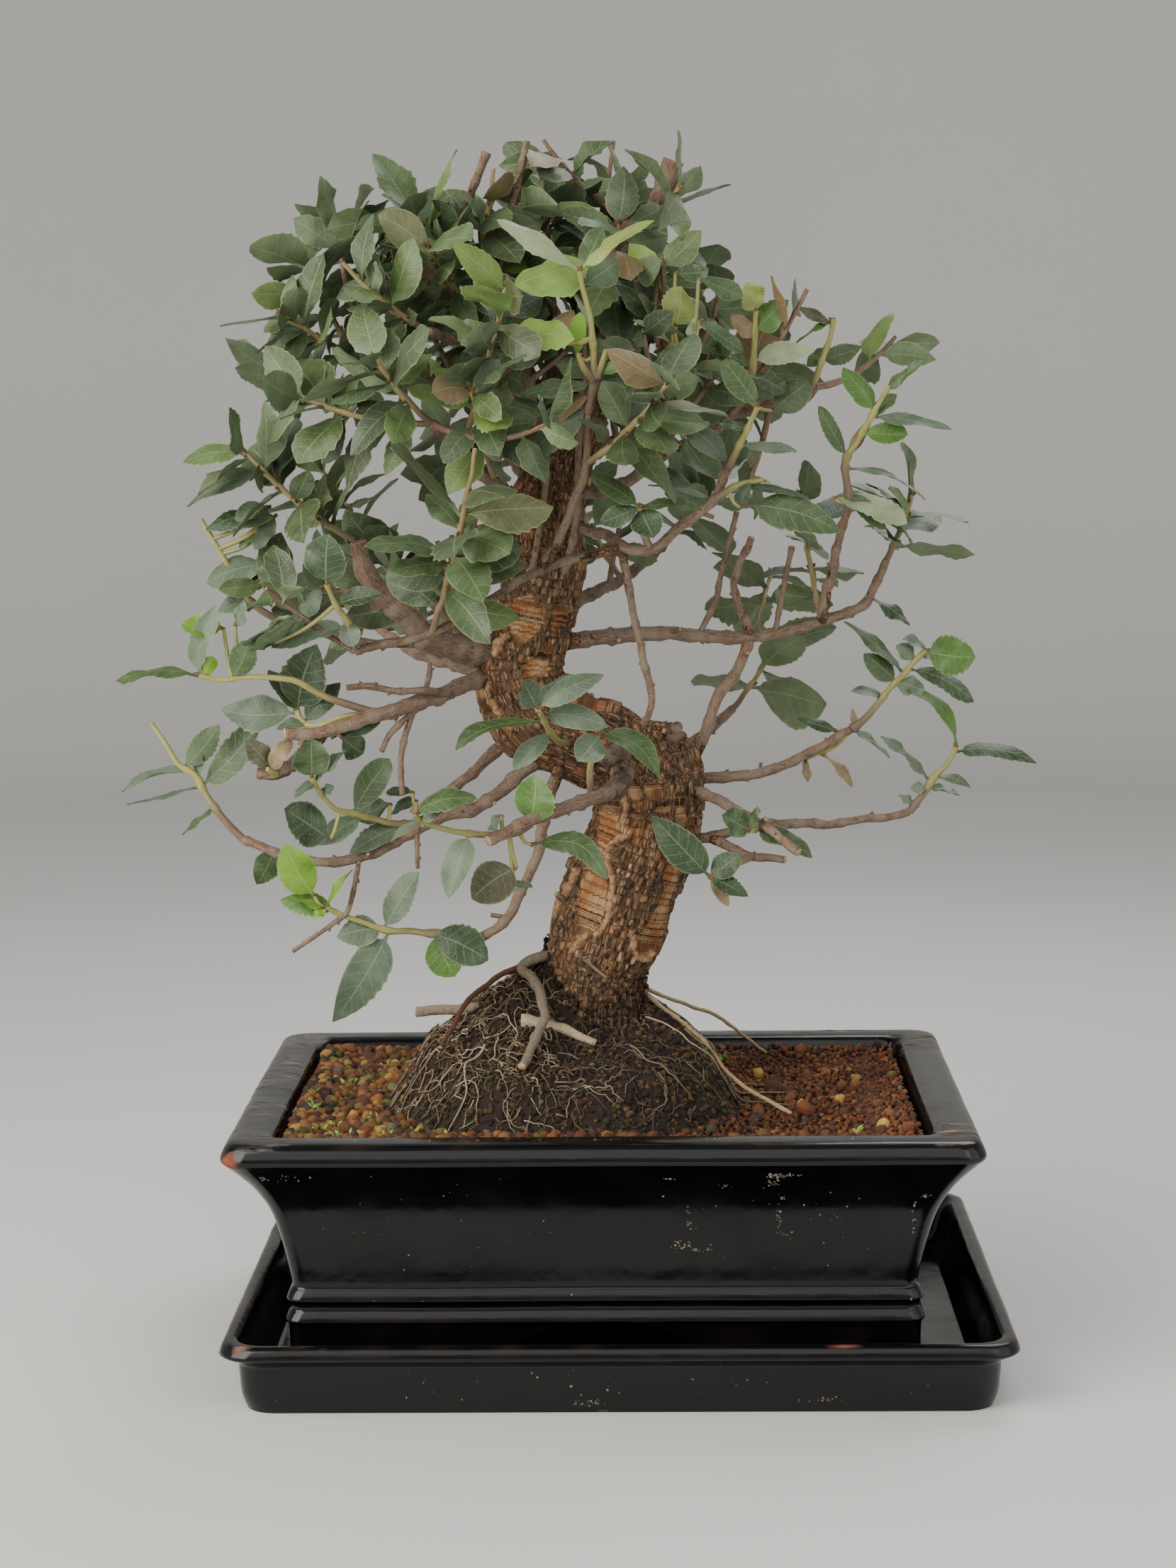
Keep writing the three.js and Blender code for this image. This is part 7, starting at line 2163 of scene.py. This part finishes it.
def seen_tints(draws, kind):
    colour = tint_of(SEEN_TINTS[kind]) * draws.uniform(0.85, 1.15)
    return colour, colour * 1.15


def make_seen_shoot(shoot, stems, tree):
    """A shoot that stands alone, with its stems and leaves as seen."""
    draws = np.random.default_rng(1000 + shoot.index)
    shape = Shape()
    old = np.array(tree.limb[:3]) * (1.0, 0.94, 0.88)
    new = np.array(tree.young_stem[:3]) * (0.9, 1.06, 0.8) * draws.uniform(0.9, 1.15)
    for order, (_, plane, near_depth, far_depth, places, rows) in enumerate(stems):
        line = seen_stem(shoot, order == 0, plane, near_depth, far_depth, places)
        shares = np.linspace(0, 1, len(line))
        leaves = [seen_leaf(line, plane, row) for row in rows]
        swell = sum(0.3 * np.exp(-((line - leaf.origin) ** 2).sum(1) / 1.5) for leaf in leaves)
        radii = (1.7 - 0.8 * shares) * (0.86 + np.minimum(swell, 0.4))
        age = smooth(0.1, 0.6, shares).repeat(SHOOT_SIDES)[:, None]
        add_stem(shape, line, radii, SHOOT_SIDES, old * (1 - age) + new * age, 3 if shoot.bare else 2)
        for leaf in leaves:
            upper, below = seen_tints(draws, leaf.tint)
            if leaf.twig:
                twig = spline([leaf.twig[0], sum(leaf.twig) / 2 - (0, 0, 1.5), leaf.twig[1]], 2)
                add_stem(shape, twig, np.linspace(0.8, 0.6, len(twig)), 6, new)
            add_leaf(shape, leaf, draws, upper, below, tree.leaf_thickness / MM, 20)
            add_bud(shape, leaf.origin + leaf.direction, unit(leaf.direction + (0, 0, 0.8)), 1.6, draws)
    name = f"leafy_shoot_{shoot.index + 1:02d}"
    shape.piece(f"{name}_leaves", SHOOT_MATERIALS, "leaf", [name], sharp=BLADE_EDGE)


def add_stem(shape, line, radii, sides, tint, tip=2, shift=0):
    """A round stem in the third material of a leafy piece. Its end face may have another."""
    rings, grain, _ = tube(line, radii, sides)
    slots = [2] * (sides * (len(line) - 1) + 1) + [tip]
    faces = ring_faces(len(line), sides)
    shape.add(rings, faces, slots, grain=grain + shift, tint=tint, tint_below=tint, blade=(0, 0, 0))


def add_bud(shape, base, way, reach, draws):
    line = np.linspace(base - way * 0.5, base + way * reach, 4)
    add_stem(shape, line, [0.55, 0.7, 0.5, 0.08], 6, tint_of(0x70522f) * draws.uniform(0.7, 1.2))


def make_shoot(shoot, tree):
    draws = np.random.default_rng(1000 + shoot.index)
    shape = Shape()
    begin = max(0.0, shoot.start - 3.0 / shoot.length)
    count = max(10, round(shoot.length / 2.2))
    shares = np.linspace(begin, 1, count)
    line = shoot.point(shares)
    sway = np.sin(shares * shoot.length / NODE_SPACING * math.pi + shoot.index) * 0.35
    line = line + (sway * smooth(0, 0.15, shares - begin))[:, None] * shoot.across
    swell = np.zeros(count)
    for leaf in shoot.grown:
        swell += 0.22 * np.exp(-(((shares - leaf.share) * shoot.length) / 1.1) ** 2)
    radii = shoot.radius(shares) * (0.86 + np.minimum(swell, 0.4))
    old = np.array(tree.limb[:3]) * (1.0, 0.9, 0.8)
    new = np.array(tree.young_stem[:3]) * draws.uniform(0.7, 1.1)
    age = smooth(0.05, 0.45, shares + draws.uniform(-0.1, 0.15)).repeat(SHOOT_SIDES)[:, None]
    add_stem(shape, line, radii, SHOOT_SIDES, old * (1 - age) + new * age, 3 if shoot.bare else 2)
    youth = YOUNG_SHOOTS.get(shoot.index + 1, 0.05)
    for number, leaf in enumerate(shoot.grown):
        is_planned = number < shoot.planned
        near_tip = smooth(0.5, 0.75, leaf.share) if is_planned else 0
        upper, below = leaf_tints(draws, tree, youth * near_tip)
        origin = leaf.origin
        add_leaf(shape, leaf, draws, upper, below, tree.leaf_thickness / MM, 18 if is_planned else 12)
        # A bud sits in the angle of each stalk
        stem = unit(shoot.tip - shoot.root)
        add_bud(shape, origin + stem * 1.1, unit(leaf.direction + stem * 1.2), draws.uniform(1.2, 2), draws)
    if not shoot.bare:
        for _ in range(3):
            way = unit(unit(shoot.tip - shoot.bend) + draws.uniform(-0.5, 0.5, 3))
            add_bud(shape, shoot.tip, way, draws.uniform(1.5, 2.6), draws)
    name = f"leafy_shoot_{shoot.index + 1:02d}"
    shape.piece(f"{name}_leaves", SHOOT_MATERIALS, "leaf", [name], sharp=BLADE_EDGE)


def make_inner_twigs(twigs, tree):
    """The inner twigs, in three pieces."""
    draws = np.random.default_rng(57)
    for part in range(3):
        shape = Shape()
        for number, (line, leaves) in enumerate(twigs[part::3]):
            radii = line[:, 3] * draws.uniform(0.9, 1.2, len(line))
            tint = np.array(tree.limb[:3]) * (1.05, 0.85, 0.74) * draws.uniform(0.8, 1.2)
            add_stem(shape, line[:, :3], radii, 6, tint, 3, 30 * number)
            for leaf in leaves:
                upper, below = leaf_tints(draws, tree, 0.04)
                add_leaf(shape, leaf, draws, upper, below, tree.leaf_thickness / MM, 10)
        shape.piece(f"inner_twigs_{part + 1}", TWIG_MATERIALS, "leaf", sharp=BLADE_EDGE)


def make_shoots(tree):
    shoots, clearance = planned_shoots()
    alone = {stem[0] for stem in SEEN_STEMS}
    for shoot in shoots:
        shoot.planned = len(shoot.grown)
    grow_fill([shoot for shoot in shoots if shoot.index + 1 not in alone], clearance, tree.fill)
    for shoot in shoots:
        stems = [stem for stem in SEEN_STEMS if stem[0] == shoot.index + 1]
        if stems:
            make_seen_shoot(shoot, stems, tree)
        else:
            make_shoot(shoot, tree)
    make_inner_twigs(inner_twigs(clearance, tree.fill), tree)


# Stage

def make_stage():
    """A round room of pale paper that sweeps up from the floor, soft lamps, and the camera."""
    room = 2000
    sweep = 400
    sides = 72
    bend = np.linspace(0, math.pi / 2, 10)
    profile = [(radius, 0) for radius in (10, 500, 1100)]
    profile += [(room - sweep + sweep * math.sin(a), sweep - sweep * math.cos(a)) for a in bend]
    profile.append((room, 1200))
    turn = turns(sides)
    rings = [np.stack([radius * np.cos(turn), radius * np.sin(turn), z + 0 * turn], 1)
             for radius, z in profile]
    faces = ring_faces(len(profile), sides, False)
    faces.append(tuple(range(sides)))
    mesh = mesh_of("backdrop", np.vstack(rings), faces)
    dress(mesh, "paper_backdrop")
    backdrop = in_scene("backdrop", mesh)

    lamps = [
        ("key_soft", (-760, -620, 640), (0.9, 0.9), 14, (1.0, 0.97, 0.92)),
        ("fill_soft", (900, -500, 520), (0.9, 0.9), 2.5, (0.93, 0.96, 1.0)),
        ("rim_soft", (300, 500, 900), (0.6, 0.6), 4, (1.0, 1.0, 1.0)),
        ("strip_soft", (0, -1150, 1000), (2.6, 0.8), 9, (1.0, 0.94, 0.86)),
    ]
    for name, place, (lamp_width, lamp_height), power, colour in lamps:
        lamp = bpy.data.lights.new(name, "AREA")
        lamp.shape = "RECTANGLE"
        lamp.size = lamp_width
        lamp.size_y = lamp_height
        lamp.energy = power
        lamp.color = colour
        holder = in_scene(name, lamp)
        holder.location = Vector(place) * MM
        aim = Vector((-10, 0, 220)) * MM - holder.location
        holder.rotation_euler = aim.to_track_quat("-Z", "Y").to_euler()
        holder.visible_camera = False

    world = bpy.data.worlds.new("studio_room")
    world.use_nodes = True
    sky = world.node_tree.nodes["Background"]
    sky.inputs["Color"].default_value = colour_of(0xc4c8cc)
    sky.inputs["Strength"].default_value = 0.43
    bpy.context.scene.world = world
    make_camera()


def make_camera():
    sin_yaw, cos_yaw = math.sin(CAMERA_YAW), math.cos(CAMERA_YAW)
    sin_pitch, cos_pitch = math.sin(CAMERA_PITCH), math.cos(CAMERA_PITCH)
    forward = Vector((-sin_yaw * cos_pitch, cos_yaw * cos_pitch, -sin_pitch))
    level = Vector((cos_yaw, sin_yaw, 0))
    upright = Vector((-sin_yaw * sin_pitch, cos_yaw * sin_pitch, cos_pitch))
    right = level * math.cos(CAMERA_ROLL) + upright * math.sin(CAMERA_ROLL)
    up = upright * math.cos(CAMERA_ROLL) - level * math.sin(CAMERA_ROLL)
    camera = bpy.data.cameras.new("camera")
    camera.sensor_width = SENSOR
    camera.lens = CAMERA_FOCAL / FRAME_HEIGHT * SENSOR
    camera.clip_start = 0.01
    camera.clip_end = 20
    holder = in_scene("camera", camera)
    turn = Matrix((right, up, -forward)).transposed().to_4x4()
    holder.matrix_world = Matrix.Translation(Vector(CAMERA_PLACE) * MM) @ turn
    bpy.context.scene.camera = holder


# Add-on

class BONSAI_OT_materials(bpy.types.Operator):
    """Makes the materials of the pot and the tree from the settings"""
    bl_idname = "bonsai.materials"
    bl_label = "Make Materials"

    def execute(self, context):
        make_materials(context.scene.bonsai_pot, context.scene.bonsai_tree)
        return {"FINISHED"}


class BONSAI_OT_pot(bpy.types.Operator):
    """Makes the glazed pot and its saucer, and dresses the drainage screens"""
    bl_idname = "bonsai.pot"
    bl_label = "Make Pot and Saucer"

    def execute(self, context):
        make_lime([make_pot(context.scene.bonsai_pot), make_saucer(context.scene.bonsai_pot)])
        dress_screens()
        return {"FINISHED"}


class BONSAI_OT_substrate(bpy.types.Operator):
    """Fills the pot with grains of baked clay"""
    bl_idname = "bonsai.substrate"
    bl_label = "Make Substrate"

    def execute(self, context):
        make_substrate(context.scene.bonsai_pot)
        make_sprouts()
        return {"FINISHED"}


class BONSAI_OT_root_ball(bpy.types.Operator):
    """Makes the mound of old soil with its roots"""
    bl_idname = "bonsai.root_ball"
    bl_label = "Make Root Ball"

    def execute(self, context):
        make_root_ball()
        make_main_roots()
        make_fine_roots()
        return {"FINISHED"}


class BONSAI_OT_trunk(bpy.types.Operator):
    """Makes the cork trunk, its bare faces and the limbs"""
    bl_idname = "bonsai.trunk"
    bl_label = "Make Trunk and Limbs"

    def execute(self, context):
        make_trunk(context.scene.bonsai_tree)
        make_limbs(context.scene.bonsai_tree)
        return {"FINISHED"}


class BONSAI_OT_shoots(bpy.types.Operator):
    """Makes the leafy shoots with their leaves, buds and stems"""
    bl_idname = "bonsai.shoots"
    bl_label = "Make Leafy Shoots"

    def execute(self, context):
        make_shoots(context.scene.bonsai_tree)
        return {"FINISHED"}


class BONSAI_OT_stage(bpy.types.Operator):
    """Makes the backdrop, the lights and the camera"""
    bl_idname = "bonsai.stage"
    bl_label = "Make Stage"

    def execute(self, context):
        make_stage()
        return {"FINISHED"}


OPERATORS = (
    BONSAI_OT_materials, BONSAI_OT_stage, BONSAI_OT_pot, BONSAI_OT_substrate, BONSAI_OT_root_ball,
    BONSAI_OT_trunk, BONSAI_OT_shoots,
)


class BONSAI_PT_panel(bpy.types.Panel):
    """Lists the settings and the steps"""
    bl_idname = "BONSAI_PT_panel"
    bl_label = "Cork Oak Bonsai"
    bl_space_type = "VIEW_3D"
    bl_region_type = "UI"
    bl_category = "Bonsai"

    def draw(self, context):
        for settings in (context.scene.bonsai_pot, context.scene.bonsai_tree):
            column = self.layout.column(align=True)
            for name in settings.__annotations__:
                column.prop(settings, name)
        for operator in OPERATORS:
            self.layout.operator(operator.bl_idname)


CLASSES = (BonsaiPotSettings, BonsaiTreeSettings, *OPERATORS, BONSAI_PT_panel)


def register():
    for cls in CLASSES:
        bpy.utils.register_class(cls)
    bpy.types.Scene.bonsai_pot = bpy.props.PointerProperty(type=BonsaiPotSettings)
    bpy.types.Scene.bonsai_tree = bpy.props.PointerProperty(type=BonsaiTreeSettings)


def unregister():
    del bpy.types.Scene.bonsai_pot
    del bpy.types.Scene.bonsai_tree
    for cls in reversed(CLASSES):
        bpy.utils.unregister_class(cls)


def main():
    register()
    bpy.ops.bonsai.materials()
    bpy.ops.bonsai.stage()
    bpy.ops.bonsai.pot()
    bpy.ops.bonsai.substrate()
    bpy.ops.bonsai.root_ball()
    bpy.ops.bonsai.trunk()
    bpy.ops.bonsai.shoots()


if __name__ == "__main__":
    main()
